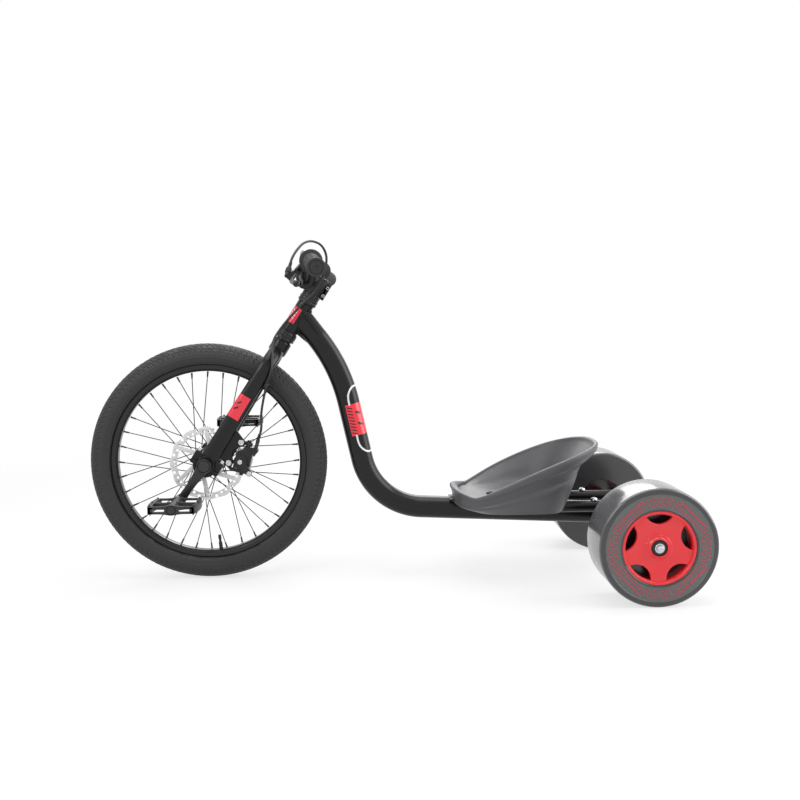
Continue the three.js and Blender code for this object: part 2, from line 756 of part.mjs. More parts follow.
// The brake rotor: a wavy, drilled band on arms, with its six bolts in it.
function rotorSolid() {
  const outlineSteps = rotorWaves * waveSteps;
  const outer = Array.from({ length: outlineSteps }, (_, i) => {
    const turn = i / outlineSteps;
    const radius = rotorRadius - rotorWaveDepth * (1 - Math.cos(2 * Math.PI * rotorWaves * turn)) / 2;
    return [radius * Math.cos(2 * Math.PI * turn), radius * Math.sin(2 * Math.PI * turn)];
  });
  const [near, far] = [-rotorPlane - rotorThickness / 2, -rotorPlane + rotorThickness / 2];
  const disc = plate(outer, near, far);
  const bandInner = rotorRadius - rotorBandWidth;
  const window = cut(rodY(0, 0, near - overrun, far + overrun, bandInner, wheelFacets / 2),
    rodY(0, 0, near - 2 * overrun, far + 2 * overrun, rotorBoltCircle + rotorBoltRadius + rotorThickness,
      wheelFacets / 2));
  const arms = Array.from({ length: rotorArms }, (_, i) => {
    const angle = (fullTurn * i) / rotorArms;
    const root = placed([[rotorBoltCircle, 0]], angle)[0];
    const tip = placed([[bandInner + overrun, 0]], angle + rotorArmSweep)[0];
    const length = Math.hypot(tip[0] - root[0], tip[1] - root[1]);
    const lean = THREE.MathUtils.radToDeg(Math.atan2(tip[1] - root[1], tip[0] - root[0]));
    const bar = [[0, -rotorArmWidth / 2], [length, -rotorArmWidth / 2], [length, rotorArmWidth / 2],
      [0, rotorArmWidth / 2]];
    return plate(placed(bar, lean, root[0], root[1]), near, far);
  });
  const holes = Array.from({ length: rotorWaves * 2 }, (_, i) => {
    const angle = radians((fullTurn * (i + 1 / 2)) / (rotorWaves * 2));
    const middle = rotorRadius - rotorWaveDepth - rotorBandWidth / 2 + (i % 2 ? rotorHoleRadius : 0);
    return rodY(middle * Math.cos(angle), middle * Math.sin(angle), near - overrun, far + overrun,
      rotorHoleRadius, spokeFacets);
  });
  const bolts = Array.from({ length: rotorArms }, (_, i) => {
    const angle = radians((fullTurn * i) / rotorArms);
    const [x, z] = [rotorBoltCircle * Math.cos(angle), rotorBoltCircle * Math.sin(angle)];
    return rodY(x, z, near - rotorBoltHead, far - gap, rotorBoltRadius, boltFacets);
  });
  const ring = cut(joined(cut(disc, window), ...arms), joined(...holes));
  const centre = rodY(0, 0, near - overrun - rotorBoltHead, far + overrun, hubNoseRadius + gap, hubFacets);
  return cut(joined(ring, ...bolts), centre);
}

// Everything that turns with the front wheel.
function buildFrontWheel(group) {
  piece(group, 'front_tyre', tyreSolid(), blackRubber());
  piece(group, 'front_rim', rimSolid(), blackAnodised());
  piece(group, 'valve_stem', valveSolid(), blackRubber());
  const left = spokesSolid();
  const halfPitch = new THREE.Matrix4().makeRotationY(radians(fullTurn / spokeCount));
  piece(group, 'spokes_left', left, blackAnodised());
  piece(group, 'spokes_right', mirrored(left).transform(matrix(halfPitch)), blackAnodised());
  piece(group, 'hub_shell', hubShellSolid(), blackAnodised());
  piece(group, 'brake_rotor', rotorSolid(), silverSteel());
}

// One crank with its boss and the pedal axle that is screwed into it, as the left one.
function crankSolid() {
  const outerFace = crankInnerFace + crankThickness;
  const bossFace = crankInnerFace + crankBossDepth;
  const arm = plate(placed(strap(crankBossRadius, crankEyeRadius, crankLength, strapSteps),
    2 * rightAngle + crankAngle), -outerFace, -crankInnerFace);
  const boss = rodY(0, 0, -bossFace, -crankInnerFace, crankBossRadius, roundFacets);
  const socket = rodY(0, 0, -bossFace + crankWallOverSpindle, 0, spindleRadius + gap, roundFacets);
  const eye = crankDirection.clone().multiplyScalar(crankLength);
  const axleEnd = pedalInnerFace + pedalWidth - pedalEndWall - gap;
  const axle = rodY(eye.x, eye.z, -axleEnd, -outerFace + overrun, pedalAxleRadius, smallFacets);
  const shoulder = rodY(eye.x, eye.z, -(pedalInnerFace - gap), -outerFace + overrun,
    pedalAxleRadius + pedalEndWall, smallFacets);
  return joined(cut(joined(arm, boss), socket), axle, shoulder);
}

// A platform pedal about its own axle: a barrel, two tread rails, two end plates and ribs, with pins.
function pedalSolid() {
  const [near, far] = [-pedalWidth / 2, pedalWidth / 2];
  const railX = (pedalLength - pedalRailWidth) / 2;
  const railHalf = pedalRailWidth / 2;
  const thick = [-pedalRailThickness / 2, pedalRailThickness / 2];
  const rail = (x) => block([x - railHalf, x + railHalf], [near, far], thick);
  const endPlate = (y, facets) => {
    const half = pedalLength / 2;
    const [low, tall] = [pedalRailThickness / 2, pedalThickness / 2];
    const outline = [[-half, -low], [0, -tall], [half, -low], [half, low], [0, tall], [-half, low]];
    return plate(outline, y - facets / 2, y + facets / 2);
  };
  const barrel = rodY(0, 0, near, far, pedalBarrelRadius, smallFacets);
  const body = joined(barrel, rail(-railX), rail(railX),
    endPlate(near + pedalEndThickness / 2, pedalEndThickness),
      endPlate(far - pedalEndThickness / 2, pedalEndThickness),
    endPlate(0, pedalRibThickness));
  const pins = [-1, 1].flatMap((x) => [-1, 1].map((y) => {
    const height = pedalRailThickness / 2 + pedalPinHeight;
    return rodZ(x * railX, y * (far - pedalEndThickness / 2), -height, height, pedalPinRadius, boltFacets);
  }));
  const boreRadius = pedalAxleRadius / Math.cos(Math.PI / smallFacets) + gap;
  const bore = rodY(0, 0, near + pedalEndWall, far + overrun, boreRadius, smallFacets);
  return cut(joined(body, ...pins), bore);
}

function buildCranks(group) {
  const spindleEnd = crankInnerFace + crankBossDepth - crankWallOverSpindle - gap;
  piece(group, 'crank_spindle', rodY(0, 0, -spindleEnd, spindleEnd, spindleRadius, roundFacets),
    silverSteel());
  const left = crankSolid();
  const half = new THREE.Matrix4().makeRotationY(Math.PI);
  piece(group, 'crank_left', left, blackPaint());
  piece(group, 'crank_right', mirrored(left).transform(matrix(half)), blackPaint());
  const pedalMiddle = pedalInnerFace + pedalWidth / 2;
  const pedalPlace = crankDirection.clone().multiplyScalar(crankLength);
  const leftPedal = piece(group, 'pedal_left', pedalSolid(), blackPlastic());
  leftPedal.position.copy(pedalPlace).setY(-pedalMiddle);
  const rightPedal = piece(group, 'pedal_right', mirrored(pedalSolid()), blackPlastic());
  rightPedal.position.copy(pedalPlace).negate().setY(pedalMiddle);
}

// The fork, in the frame of the steering axis: legs and arch in one bent tube, a crown, the steerer,
// the upper halves of the bearing holders, and the brake tab on the left leg.
function forkSolid() {
  const archTop = forkArchHeight + forkLegCentre;
  const corners = [[-forkLegCentre, forkLegFoot], [-forkLegCentre, archTop], [forkLegCentre, archTop],
    [forkLegCentre, forkLegFoot]].map(([y, z]) => new THREE.Vector3(0, y, z));
  const stations = bentPath(corners, [forkLegCentre, forkLegCentre], legBendSteps)
    .filter((station, i, all) => i === 0 || station.at.distanceTo(all[i - 1].at) > gap);
  const halfWidth = (s) => {
    const share = (stations[s].at.z - forkLegFoot) / (forkArchHeight - forkLegFoot);
    return THREE.MathUtils.lerp(forkLegFootWidth, forkLegTopWidth, Math.min(share, 1)) / 2;
  };
  const legs = pipe(stations, halfWidth, forkLegThickness / 2, tubeFacets, new THREE.Vector3(1, 0, 0));
  const crown = rodZ(0, 0, crownBottom, crownTop, crownRadius, roundFacets);
  const race = rodZ(0, 0, crownTop - overrun, crownRaceTop, crownRaceRadius, roundFacets);
  const steerer = rodZ(0, 0, crownTop - overrun, stemTop - overrun, steererRadius, roundFacets);
  const holders = [-1, 1].map((side) => {
    const middle = side * forkLegCentre;
    return plate(holderOutline(holderEarHeight), middle - holderHalfWidth, middle + holderHalfWidth);
  });
  const bores = [-1, 1].map((side) => {
    const middle = side * forkLegCentre;
    const half = holderHalfWidth + overrun;
    return rodY(0, 0, middle - half, middle + half, hubBearingRadius + gap, hubFacets);
  });
  const capBoltHoles = [-1, 1].flatMap((side) => [-1, 1].map((end) => rodZ(end * capBoltSpacing,
    side * forkLegCentre, -overrun, holderEarHeight + overrun, capBoltRadius + gap, boltFacets)));
  const tabHoles = tabBolts.map((height) => rodY(tabBoltOffset, height, -tabFace - overrun,
    -tabFace + tabThickness + overrun, tabBoltRadius + gap, boltFacets));
  return cut(joined(legs, crown, race, steerer, ...holders, tabSolid()), ...bores, ...capBoltHoles,
    ...tabHoles);
}

// The plate on the left leg that the brake adapter is bolted to, with an ear round each bolt.
function tabSolid() {
  const [low, high] = [tabBolts[0] - tabMargin, tabBolts[1] + tabMargin];
  const edge = tabBoltOffset + tabMargin;
  const inner = capBoltSpacing + capBoltHeadRadius + 2 * gap;
  const overHead = holderEarHeight + capBoltHeadHeight + 3 * gap;
  return plate([
    [0, overHead], [inner, overHead], [inner, low], [edge, low],
    [edge, tabBolts[0] + tabMargin], [edge - tabScallop, tabBolts[0] + 2 * tabMargin],
    [edge - tabScallop, tabBolts[1] - 2 * tabMargin], [edge, tabBolts[1] - tabMargin],
    [edge, high], [0, high + 2 * tabMargin],
  ], -tabFace, -tabFace + tabThickness);
}

// Half of a hub bearing holder, above its split: a half ring with two ears for the bolts.
function holderOutline(earHeight) {
  const ear = capBoltSpacing + holderEarWidth / 2;
  const start = Math.asin(earHeight / holderRadius);
  const arc = Array.from({ length: holderSteps + 1 }, (_, i) => {
    const angle = start + ((Math.PI - 2 * start) * i) / holderSteps;
    return [holderRadius * Math.cos(angle), holderRadius * Math.sin(angle)];
  });
  return [[ear, gap], [ear, earHeight], ...arc, [-ear, earHeight], [-ear, gap]];
}

// The cap under a hub bearing, with its two bolts, whose heads sit on the fork's ears.
function bearingCapSolid() {
  const outline = holderOutline(capEarHeight).map(([x, z]) => [x, -z]).reverse();
  const half = holderHalfWidth + overrun;
  const body = cut(plate(outline, -holderHalfWidth, holderHalfWidth),
    rodY(0, 0, -half, half, hubBearingRadius + gap, hubFacets));
  const headSeat = holderEarHeight + gap;
  const bolts = [-1, 1].map((end) => joined(
    rodZ(end * capBoltSpacing, 0, -capEarHeight / 2, headSeat + overrun, capBoltRadius, boltFacets),
    rodZ(end * capBoltSpacing, 0, headSeat, headSeat + capBoltHeadHeight, capBoltHeadRadius, boltFacets)));
  return joined(body, ...bolts);
}

function ringY(inner, outer, from, to, facets) {
  return revolve([[inner, from], [outer, from], [outer, to], [inner, to]], facets);
}

function ringZ(inner, outer, from, to, facets) {
  return revolveZ([[inner, from], [outer, from], [outer, to], [inner, to]], facets);
}

// The stem: a clamp round the steerer, a neck forward to the bar, and pinch lugs behind with their bolts.
function stemSolid() {
  const height = [stemBottom, stemTop];
  const neck = stemClampRadius * stemNeckShare;
  const past = stemHeight + overrun;
  const clamp = rodZ(0, 0, stemBottom, stemTop, stemClampRadius, roundFacets);
  const body = block([-barForward, 0], [-neck, neck], height);
  const lugs = block([0, stemRearReach], [-pinchLugWidth / 2, pinchLugWidth / 2], height);
  const barSeat = rodY(-barForward, barAlong, -barClampHalfWidth, barClampHalfWidth, barClampRadius,
    roundFacets);
  const slot = block([0, stemRearReach + overrun], [-pinchSlot / 2, pinchSlot / 2],
    [stemBottom - overrun, stemTop + overrun]);
  const bore = rodZ(0, 0, stemBottom - overrun, stemTop + overrun, steererRadius + gap, roundFacets);
  const front = block([-barForward - past, -barForward], [-past, past], [barAlong - past, barAlong + past]);
  const shape = joined(clamp, body, lugs, barSeat, faceplateLugs(-barForward, -barForward + faceplateLug));
  const x = stemRearReach - pinchBoltHead;
  const bolts = pinchBoltShares.map((share) => {
    const z = stemBottom + stemHeight * share;
    const half = pinchLugWidth / 2;
    return joined(rodY(x, z, -half - pinchBoltHeadLength, -half + overrun, pinchBoltHead, boltFacets),
      rodY(x, z, -half, half, pinchBoltRadius, boltFacets));
  });
  return joined(cut(shape, slot, bore, barBore(), front), ...bolts);
}

function barBore() {
  const half = barClampHalfWidth + overrun;
  return rodY(-barForward, barAlong, -half, half, barRadius + gap, roundFacets);
}

// The lugs above and below the bar that take the four faceplate bolts.
function faceplateLugs(from, to) {
  const half = faceplateBoltSpread / 2;
  const width = [-barClampHalfWidth, barClampHalfWidth];
  return joined(...[-1, 1].map((side) => {
    const middle = barAlong + side * half;
    return block([from, to], width, [middle - faceplateLug, middle + faceplateLug]);
  }));
}

// The front half of the bar clamp, with its four bolts in it.
function faceplateSolid() {
  const back = -barForward - faceplateGap;
  const past = barClampRadius + overrun;
  const across = barClampHalfWidth + overrun;
  const shell = rodY(-barForward, barAlong, -barClampHalfWidth, barClampHalfWidth, barClampRadius,
    roundFacets);
  const rear = block([back, back + 2 * past], [-across, across], [barAlong - past, barAlong + past]);
  const bolts = [-1, 1].flatMap((y) => [-1, 1].map((z) => {
    const side = (y * faceplateBoltPitch) / 2;
    const along = barAlong + (z * faceplateBoltSpread) / 2;
    const front = back - faceplateLug;
    const head = new THREE.Vector3(front - pinchBoltHeadLength, side, along);
    return rod(head, new THREE.Vector3(front + overrun, side, along), pinchBoltHead, boltFacets);
  }));
  return joined(cut(joined(shell, faceplateLugs(back - faceplateLug, back)), rear, barBore()), ...bolts);
}

// The pieces that turn about the steering axis, but for the handlebar's.
function buildFork(group) {
  piece(group, 'fork', forkSolid(), blackPaint());
  for (const [name, side] of sides) {
    piece(group, 'bearing_cap_' + name, bearingCapSolid(), blackPaint()).position.y = side * forkLegCentre;
    const bearing = ringY(spindleRadius + gap, hubBearingRadius, -hubBearingHalfWidth, hubBearingHalfWidth,
      hubFacets);
    piece(group, 'hub_bearing_' + name, bearing, silverSteel()).position.y = side * forkLegCentre;
  }
  for (const [name, from] of [['lower', crownRaceTop + gap], ['upper', upperBearingBottom]]) {
    const bearing = ringZ(steererRadius + gap, cupPocketRadius - gap, from, from + bearingHeight,
      roundFacets);
    piece(group, 'headset_bearing_' + name, bearing, silverSteel());
  }
  const cover = ringZ(steererRadius + gap, headsetCoverRadius, upperCupTop + gap, stemBottom - gap,
    roundFacets);
  piece(group, 'headset_cover', cover, blackAnodised());
  piece(group, 'stem', stemSolid(), blackAnodised());
  piece(group, 'stem_faceplate', faceplateSolid(), blackAnodised());
  const capTop = stemTop + gap + topCapHeight;
  const cap = joined(rodZ(0, 0, stemTop + gap, capTop, topCapRadius, roundFacets),
    rodZ(0, 0, capTop - overrun, capTop + topCapBoltHeight, topCapBoltRadius, boltFacets));
  piece(group, 'headset_top_cap', cap, blackAnodised());
}

// The two headset cups, pressed against the ends of the head tube.
function buildHeadsetCups(group) {
  const bore = headTubeBore;
  const lower = revolveZ([
    [cupPocketRadius, lowerCupBottom], [cupRadius, lowerCupBottom], [cupRadius, headTubeBottom - gap],
    [bore, headTubeBottom - gap], [bore, lowerCupBottom + cupPocketDepth],
      [cupPocketRadius, lowerCupBottom + cupPocketDepth],
  ], roundFacets);
  const upper = revolveZ([
    [cupPocketRadius, upperCupTop], [cupRadius, upperCupTop], [cupRadius, headTubeTop + gap],
    [bore, headTubeTop + gap], [bore, upperCupTop - cupPocketDepth],
      [cupPocketRadius, upperCupTop - cupPocketDepth],
  ], roundFacets);
  piece(group, 'headset_cup_lower', lower, blackAnodised());
  piece(group, 'headset_cup_upper', upper, blackAnodised());
}

// A place in the caliper's own frame, by its distances towards the rim and towards the head.
function onCaliper(outward, headward) {
  return placed([[outward, headward]], caliperTilt, caliperBehind, caliperAlong)[0];
}

function caliperOutline() {
  const [hub, rim, foot, top] = [-caliperHubSide, caliperRimSide, -caliperFoot, caliperTop];
  const ear = caliperEarHalfWidth;
  return [[hub, foot], [rim, foot], [rim, top], [ear, top + overrun], [ear, caliperEarTop],
    [-ear, caliperEarTop],
    [-ear, top], [hub + caliperCorner, top], [hub, top - caliperCorner]];
}

// The adapter between the fork's tab and the caliper: a spine on the tab and an arm round each post bolt.
function adapterSolid() {
  const outer = -tabFace + tabThickness + gap;
  const [left, right] = [tabBoltOffset - tabMargin, tabBoltOffset + tabMargin];
  const [low, high] = tabBolts;
  const near = (postPitch - adapterArmHeight) / 2;
  const far = (postPitch + adapterArmHeight) / 2;
  const end = caliperEarHalfWidth + overrun;
  const spine = [[left, low], [left + adapterSpineWidth, low], [left + adapterSpineWidth, high],
    [left, high]];
  const lowerArm = [[left, low + tabMargin], [left, low - tabMargin], onCaliper(-caliperFoot, -far),
    onCaliper(end, -far),
    onCaliper(end, -near), onCaliper(-caliperFoot, -near), [right, low + tabMargin / 2],
      [right, low + tabMargin]];
  const upperArm = [[left, high - tabMargin], [left, high + tabMargin], onCaliper(-caliperHubSide, far),
    onCaliper(end, far), onCaliper(end, near), onCaliper(-caliperEarHalfWidth, near),
      [right, high - tabMargin]];
  const plates = [spine, lowerArm.reverse(),
    upperArm.reverse()].map((outline) => plate(outline, outer, outer + adapterThickness));
  const tabHoles = tabBolts.map((height) => rodY(tabBoltOffset, height, outer - overrun,
    outer + adapterThickness + overrun, tabBoltRadius + gap, boltFacets));
  const middle = outer + adapterThickness / 2;
  const postHoles = [-1, 1].map((side) => postRod(side, near - overrun, far + overrun,
    postBoltRadius + gap, middle));
  return cut(joined(...plates), ...tabHoles, ...postHoles);
}

// A round piece on the line of the two post bolts, on one side of the caliper's middle.
function postRod(side, from, to, radius, y) {
  const [start, end] = [from, to].map((reach) => {
    const [x, z] = onCaliper(0, side * reach);
    return new THREE.Vector3(x, y, z);
  });
  return rod(start, end, radius, boltFacets);
}

// The caliper: a body that straddles the rotor, the piston housing, the cable stop and the post bolts.
function caliperSolid() {
  const slotHalf = rotorThickness / 2 + padThickness + 2 * gap;
  const outerWall = -rotorPlane - slotHalf - caliperOutboard;
  const body = plate(placed(caliperOutline(), caliperTilt, caliperBehind, caliperAlong), outerWall,
    -rotorPlane + slotHalf + caliperInboard);
  const reach = caliperHubSide + overrun;
  const height = caliperFoot + caliperEarTop;
  const slotOutline = [[-reach, -height], [caliperRimSide - caliperBridge, -height],
    [caliperRimSide - caliperBridge, height], [-reach, height]];
  const slot = plate(placed(slotOutline, caliperTilt, caliperBehind, caliperAlong), -rotorPlane - slotHalf,
    -rotorPlane + slotHalf);
  const housing = rodY(pistonBehind, pistonAlong, outerWall - pistonHousingDepth, outerWall + overrun,
    pistonHousingRadius, roundFacets);
  const adapterMiddle = -tabFace + tabThickness + gap + adapterThickness / 2;
  const armFar = (postPitch + adapterArmHeight) / 2;
  const armNear = (postPitch - adapterArmHeight) / 2;
  const posts = [[-1, caliperFoot], [1, caliperEarTop]].flatMap(([side, face]) => [
    postRod(side, face - overrun, armFar + gap + overrun, postBoltRadius, adapterMiddle),
    postRod(side, face - overrun, armNear - gap, postWasherRadius, adapterMiddle),
    postRod(side, armFar + gap, armFar + gap + postHeadHeight, postWasherRadius, adapterMiddle),
  ]);
  return joined(cut(body, slot), housing, stopSolid(outerWall), ...posts);
}

// The cable stop: a web along the body's face and a head that holds the boot.
function stopSolid(outerWall) {
  const [rootX, rootZ] = onCaliper(-overrun, caliperTop - stopRootRadius / 2);
  const [x, z] = [pistonBehind + stopBehind, pistonAlong + stopAlong];
  const length = Math.hypot(x - rootX, z - rootZ);
  const lean = THREE.MathUtils.radToDeg(Math.atan2(z - rootZ, x - rootX));
  const web = plate(placed(strap(stopRootRadius, stopRadius, length, strapSteps), lean, rootX, rootZ),
    outerWall, outerWall + stopHeight);
  const head = rodY(x, z, armPlane - stopRadius, outerWall + stopHeight, stopRadius, smallFacets);
  const half = stopRadius + overrun;
  return cut(joined(web, head), rod(wirePlace(-half), wirePlace(half), bootRadius + gap, smallFacets));
}

// A place on the line of the inner wire, by its distance above the cable stop.
function wirePlace(above) {
  const end = armEnd();
  const stop = new THREE.Vector3(pistonBehind + stopBehind, armPlane, pistonAlong + stopAlong);
  return stop.clone().addScaledVector(stop.clone().sub(end).normalize(), above);
}

function armEnd() {
  const angle = radians(armAngle);
  return new THREE.Vector3(pistonBehind + armLength * Math.cos(angle), armPlane,
    pistonAlong + armLength * Math.sin(angle));
}

// The brake arm: a strap on the piston's axis with a nut, and a clamp for the wire at its end.
function armSolid() {
  const outline = placed(strap(armHubRadius, armEndRadius, armLength, strapSteps), armAngle, pistonBehind,
    pistonAlong);
  const [outer, inner] = [armPlane - armThickness / 2, armPlane + armThickness / 2];
  const end = armEnd();
  return joined(plate(outline, outer, inner),
    rodY(pistonBehind, pistonAlong, outer - armNutHeight, outer + overrun, armNutRadius, boltFacets),
    rodY(end.x, end.z, outer - armNutHeight, outer + overrun, armEndRadius - overrun, boltFacets));
}

// The bare wire between the arm's clamp and the boot.
function innerWireSolid() {
  const end = armEnd();
  const along = wirePlace(0).sub(end).normalize();
  const start = end.clone().addScaledVector(along, innerWireStart);
  const fromPiston = end.clone().sub(new THREE.Vector3(pistonBehind, armPlane, pistonAlong));
  const middle = -fromPiston.dot(along);
  const reach = middle + Math.sqrt(Math.max(innerWireEnd ** 2 - fromPiston.lengthSq() + middle ** 2, gap));
  return rod(start, end.clone().addScaledVector(along, reach), innerWireRadius, boltFacets);
}

function padSolid(from) {
  const toHub = Math.hypot(pistonBehind, pistonAlong);
  const [x, z] = [(pistonBehind * padCircle) / toHub, (pistonAlong * padCircle) / toHub];
  const [halfWidth, halfHeight] = [padWidth / 2, padHeight / 2];
  const outline = [[-halfWidth, -halfHeight], [halfWidth, -halfHeight], [halfWidth, halfHeight],
    [-halfWidth, halfHeight]];
  return plate(placed(outline, caliperTilt, x, z), from, from + padThickness);
}

function buildBrake(group) {
  piece(group, 'caliper_adapter', adapterSolid(), blackPaint());
  piece(group, 'caliper_body', caliperSolid(), blackAnodised());
  tabBolts.forEach((height, i) => {
    const face = -tabFace - gap;
    const bolt = joined(rodY(tabBoltOffset, height, face - tabBoltHeadHeight, face, tabBoltHeadRadius,
      smallFacets),
      rodY(tabBoltOffset, height, face - overrun, -tabFace + tabThickness + adapterThickness,
        tabBoltRadius, boltFacets));
    piece(group, i ? 'adapter_bolt_upper' : 'adapter_bolt_lower', bolt, silverSteel());
  });
  piece(group, 'brake_pad_outer', padSolid(-rotorPlane - rotorThickness / 2 - gap - padThickness),
    silverSteel());
  piece(group, 'brake_pad_inner', padSolid(-rotorPlane + rotorThickness / 2 + gap), silverSteel());
  piece(group, 'caliper_arm', armSolid(), blackAnodised());
  piece(group, 'inner_wire', innerWireSolid(), silverSteel());
  piece(group, 'cable_boot', bootSolid(), blackRubber());
}

// The rubber boot, from above the cable stop to its narrow end below it.
function bootSolid() {
  const along = wirePlace(0).sub(wirePlace(bootAboveStop)).normalize();
  const stations = [bootAboveStop, -bootBelowStop / 2,
    -bootBelowStop].map((above) => ({ at: wirePlace(above), along }));
  const tip = stations.length - 1;
  const half = (s) => (s < tip ? bootRadius : bootTipRadius);
  return pipe(stations, half, half, smallFacets);
}

// The cable clip behind the left leg, round the cable.
function clipSolid(at, along) {
  const half = along.clone().multiplyScalar(clipWidth / 2);
  const past = along.clone().multiplyScalar(clipWidth);
  return cut(rod(at.clone().sub(half), at.clone().add(half), clipOuterRadius, smallFacets),
    rod(at.clone().sub(past), at.clone().add(past), cableRadius + 2 * gap, smallFacets));
}

// The bar, bent up from the stem and back down to the grips.
function barCorners() {
  const end = gripEnd();
  const knee = new THREE.Vector3(barKneeBack, barKneeHalf, barRise);
  const inset = (gripEndWall + gap) / end.distanceTo(knee);
  const half = [new THREE.Vector3(0, barCentreHalf, 0), knee, end.clone().lerp(knee, inset)];
  const other = half.map((point) => point.clone().setY(-point.y)).reverse();
  return [...other, ...half];
}

function gripEnd() {
  return new THREE.Vector3(barKneeBack + barSweepBack, barWidth / 2, barRise - barDrop);
}

// The end and the knee of the left half of the bar.
function leftHalf() {
  const end = gripEnd();
  return [end.setY(-end.y), new THREE.Vector3(barKneeBack, -barKneeHalf, barRise)];
}

// A frame on the left half of the bar: its Y runs outward along the bar.
function barFrame(origin) {
  const corners = barCorners();
  const outward = corners[0].clone().sub(corners[1]).normalize();
  const pitch = radians(leverPitch);
  const reach = new THREE.Vector3(-Math.cos(pitch), 0, -Math.sin(pitch));
  reach.addScaledVector(outward, -reach.dot(outward)).normalize();
  const up = new THREE.Vector3().crossVectors(reach, outward);
  return new THREE.Matrix4().makeBasis(reach, outward, up).setPosition(origin);
}

// The frame of the brake lever, at its clamp on the bar.
function leverFrame() {
  const [end, knee] = leftHalf();
  return barFrame(end.lerp(knee, leverClampIn / (barWidth / 2 - barKneeHalf)));
}

// The two ends of the cable barrel in the lever's frame.
function barrelPlaces() {
  return [new THREE.Vector3(barrelRootReach, -barrelRootIn, barrelRootUp),
    new THREE.Vector3(barrelTipReach, -barrelTipIn, barrelTipUp)];
}

function gripSolid() {
  const end = gripLength;
  return revolve([
    [barRadius + gap, 0], [gripFlangeRadius, 0], [gripFlangeRadius, gripFlangeWidth],
    [gripRadius, gripFlangeWidth + overrun], [gripRadius, end - gripEndWidth],
      [gripEndRadius, end - gripEndWidth + overrun],
    [gripEndRadius, end - overrun], [gripEndRadius - overrun, end], [0, end], [0, end - gripEndWall],
    [barRadius + gap, end - gripEndWall],
  ], tubeFacets);
}

// The lever's bracket: a clamp round the bar, an arm to the cable barrel, and a fork for the lever.
function leverBracketSolid() {
  const thick = leverBracketThickness / 2;
  const half = leverClampWidth / 2;
  const outer = barRadius + gap + leverClampWall;
  const reach = leverBracketReach;
  const [back, front] = [-leverBracketBack, -leverBracketFront];
  const eye = leverEyeRadius;
  const clamp = rodY(0, 0, -half, half, outer, roundFacets);
  const outline = [[barRadius, back], [reach, back], [reach, front], [leverPivotReach + eye, front],
    [leverPivotReach + eye, leverPivotOut], [leverPivotReach + eye / 2, leverPivotOut + eye],
    [leverPivotReach - eye / 2, leverPivotOut + eye], [barRadius, half]];
  const arm = solid(new THREE.ExtrudeGeometry(new THREE.Shape(outline.map(([x, y]) => new THREE.Vector2(x,
    y))),
    { depth: leverBracketThickness, bevelEnabled: false }).translate(0, 0, -thick));
  const slotHalf = leverEyeThickness / 2 + gap;
  const slot = block([leverPivotReach - eye - 2 * gap, reach],
    [leverPivotOut - eye - 2 * gap, leverPivotOut + 2 * eye],
    [-slotHalf, slotHalf]);
  const bore = rodY(0, 0, -half - overrun - leverBracketBack, half + overrun, barRadius + gap, roundFacets);
  const pinHole = rodZ(leverPivotReach, leverPivotOut, -thick - overrun, thick + overrun,
    leverPinRadius + gap, smallFacets);
  return cut(joined(clamp, arm, rod(...barrelPlaces(), barrelRadius, smallFacets)), bore, slot, pinHole);
}

// The lever: an eye on the pin and a bent blade that ends in a ball.
function leverSolid() {
  const half = leverBladeThickness / 2;
  const eye = rodZ(leverPivotReach, leverPivotOut, -leverEyeThickness / 2, leverEyeThickness / 2,
    leverEyeRadius, smallFacets);
  const corners = [[leverPivotReach, leverPivotOut], [leverKneeReach, leverKneeOut],
    [leverTipReach, leverTipOut]]
    .map(([x, y]) => new THREE.Vector3(x, y, 0));
  const blade = pipe(bentPath(corners, [leverKneeOut], strapSteps), half, leverBladeWidth / 2, bladeFacets,
    new THREE.Vector3(0, 0, 1));
  const tip = solid(new THREE.SphereGeometry(leverTipRadius, smallFacets, smallFacets / 2)
    .translate(leverTipReach, leverTipOut, 0));
  const hole = rodZ(leverPivotReach, leverPivotOut, -leverEyeThickness, leverEyeThickness,
    leverPinRadius + gap, smallFacets);
  return cut(joined(eye, blade, tip), hole);
}

function leverPinSolid() {
  const half = leverBracketThickness / 2;
  return joined(rodZ(leverPivotReach, leverPivotOut, -half, half + overrun, leverPinRadius, smallFacets),
    rodZ(leverPivotReach, leverPivotOut, half + gap, half + gap + leverPinHeadHeight, leverPinHead,
      smallFacets));
}

function buildHandlebar(group) {
  const bar = pipe(bentPath(barCorners(), [barBendRadius, barBendRadius, barBendRadius, barBendRadius],
    barBendSteps),
    barRadius, barRadius, tubeFacets, new THREE.Vector3(0, 0, 1));
  piece(group, 'handlebar', bar, blackPaint());
  const [leftEnd, leftKnee] = leftHalf();
  const inward = leftKnee.clone().sub(leftEnd).normalize();
  const grip = gripSolid().transform(matrix(barFrame(leftEnd.clone().addScaledVector(inward, gripLength))));
  piece(group, 'grip_left', grip, blackRubber());
  piece(group, 'grip_right', mirrored(grip), blackRubber());
  const frame = leverFrame();
  piece(group, 'lever_bracket', leverBracketSolid().transform(matrix(frame)), blackPlastic());
  piece(group, 'brake_lever', leverSolid().transform(matrix(frame)), blackPaint());
  piece(group, 'lever_pin', leverPinSolid().transform(matrix(frame)), silverSteel());
}

// The middle of the bar's clamp, from the hub.
function barCentre() {
  return steerPlace(-barForward, 0, barAlong);
}

// A place given behind the steering axis, to the right, and along the axis, from the hub.
function steerPlace(behind, right, along) {
  const rearDown = new THREE.Vector3(Math.sin(radians(steerAngle)), 0, -Math.cos(radians(steerAngle)));
  return rearDown.multiplyScalar(behind).addScaledVector(steerDirection, along).setY(right);
}

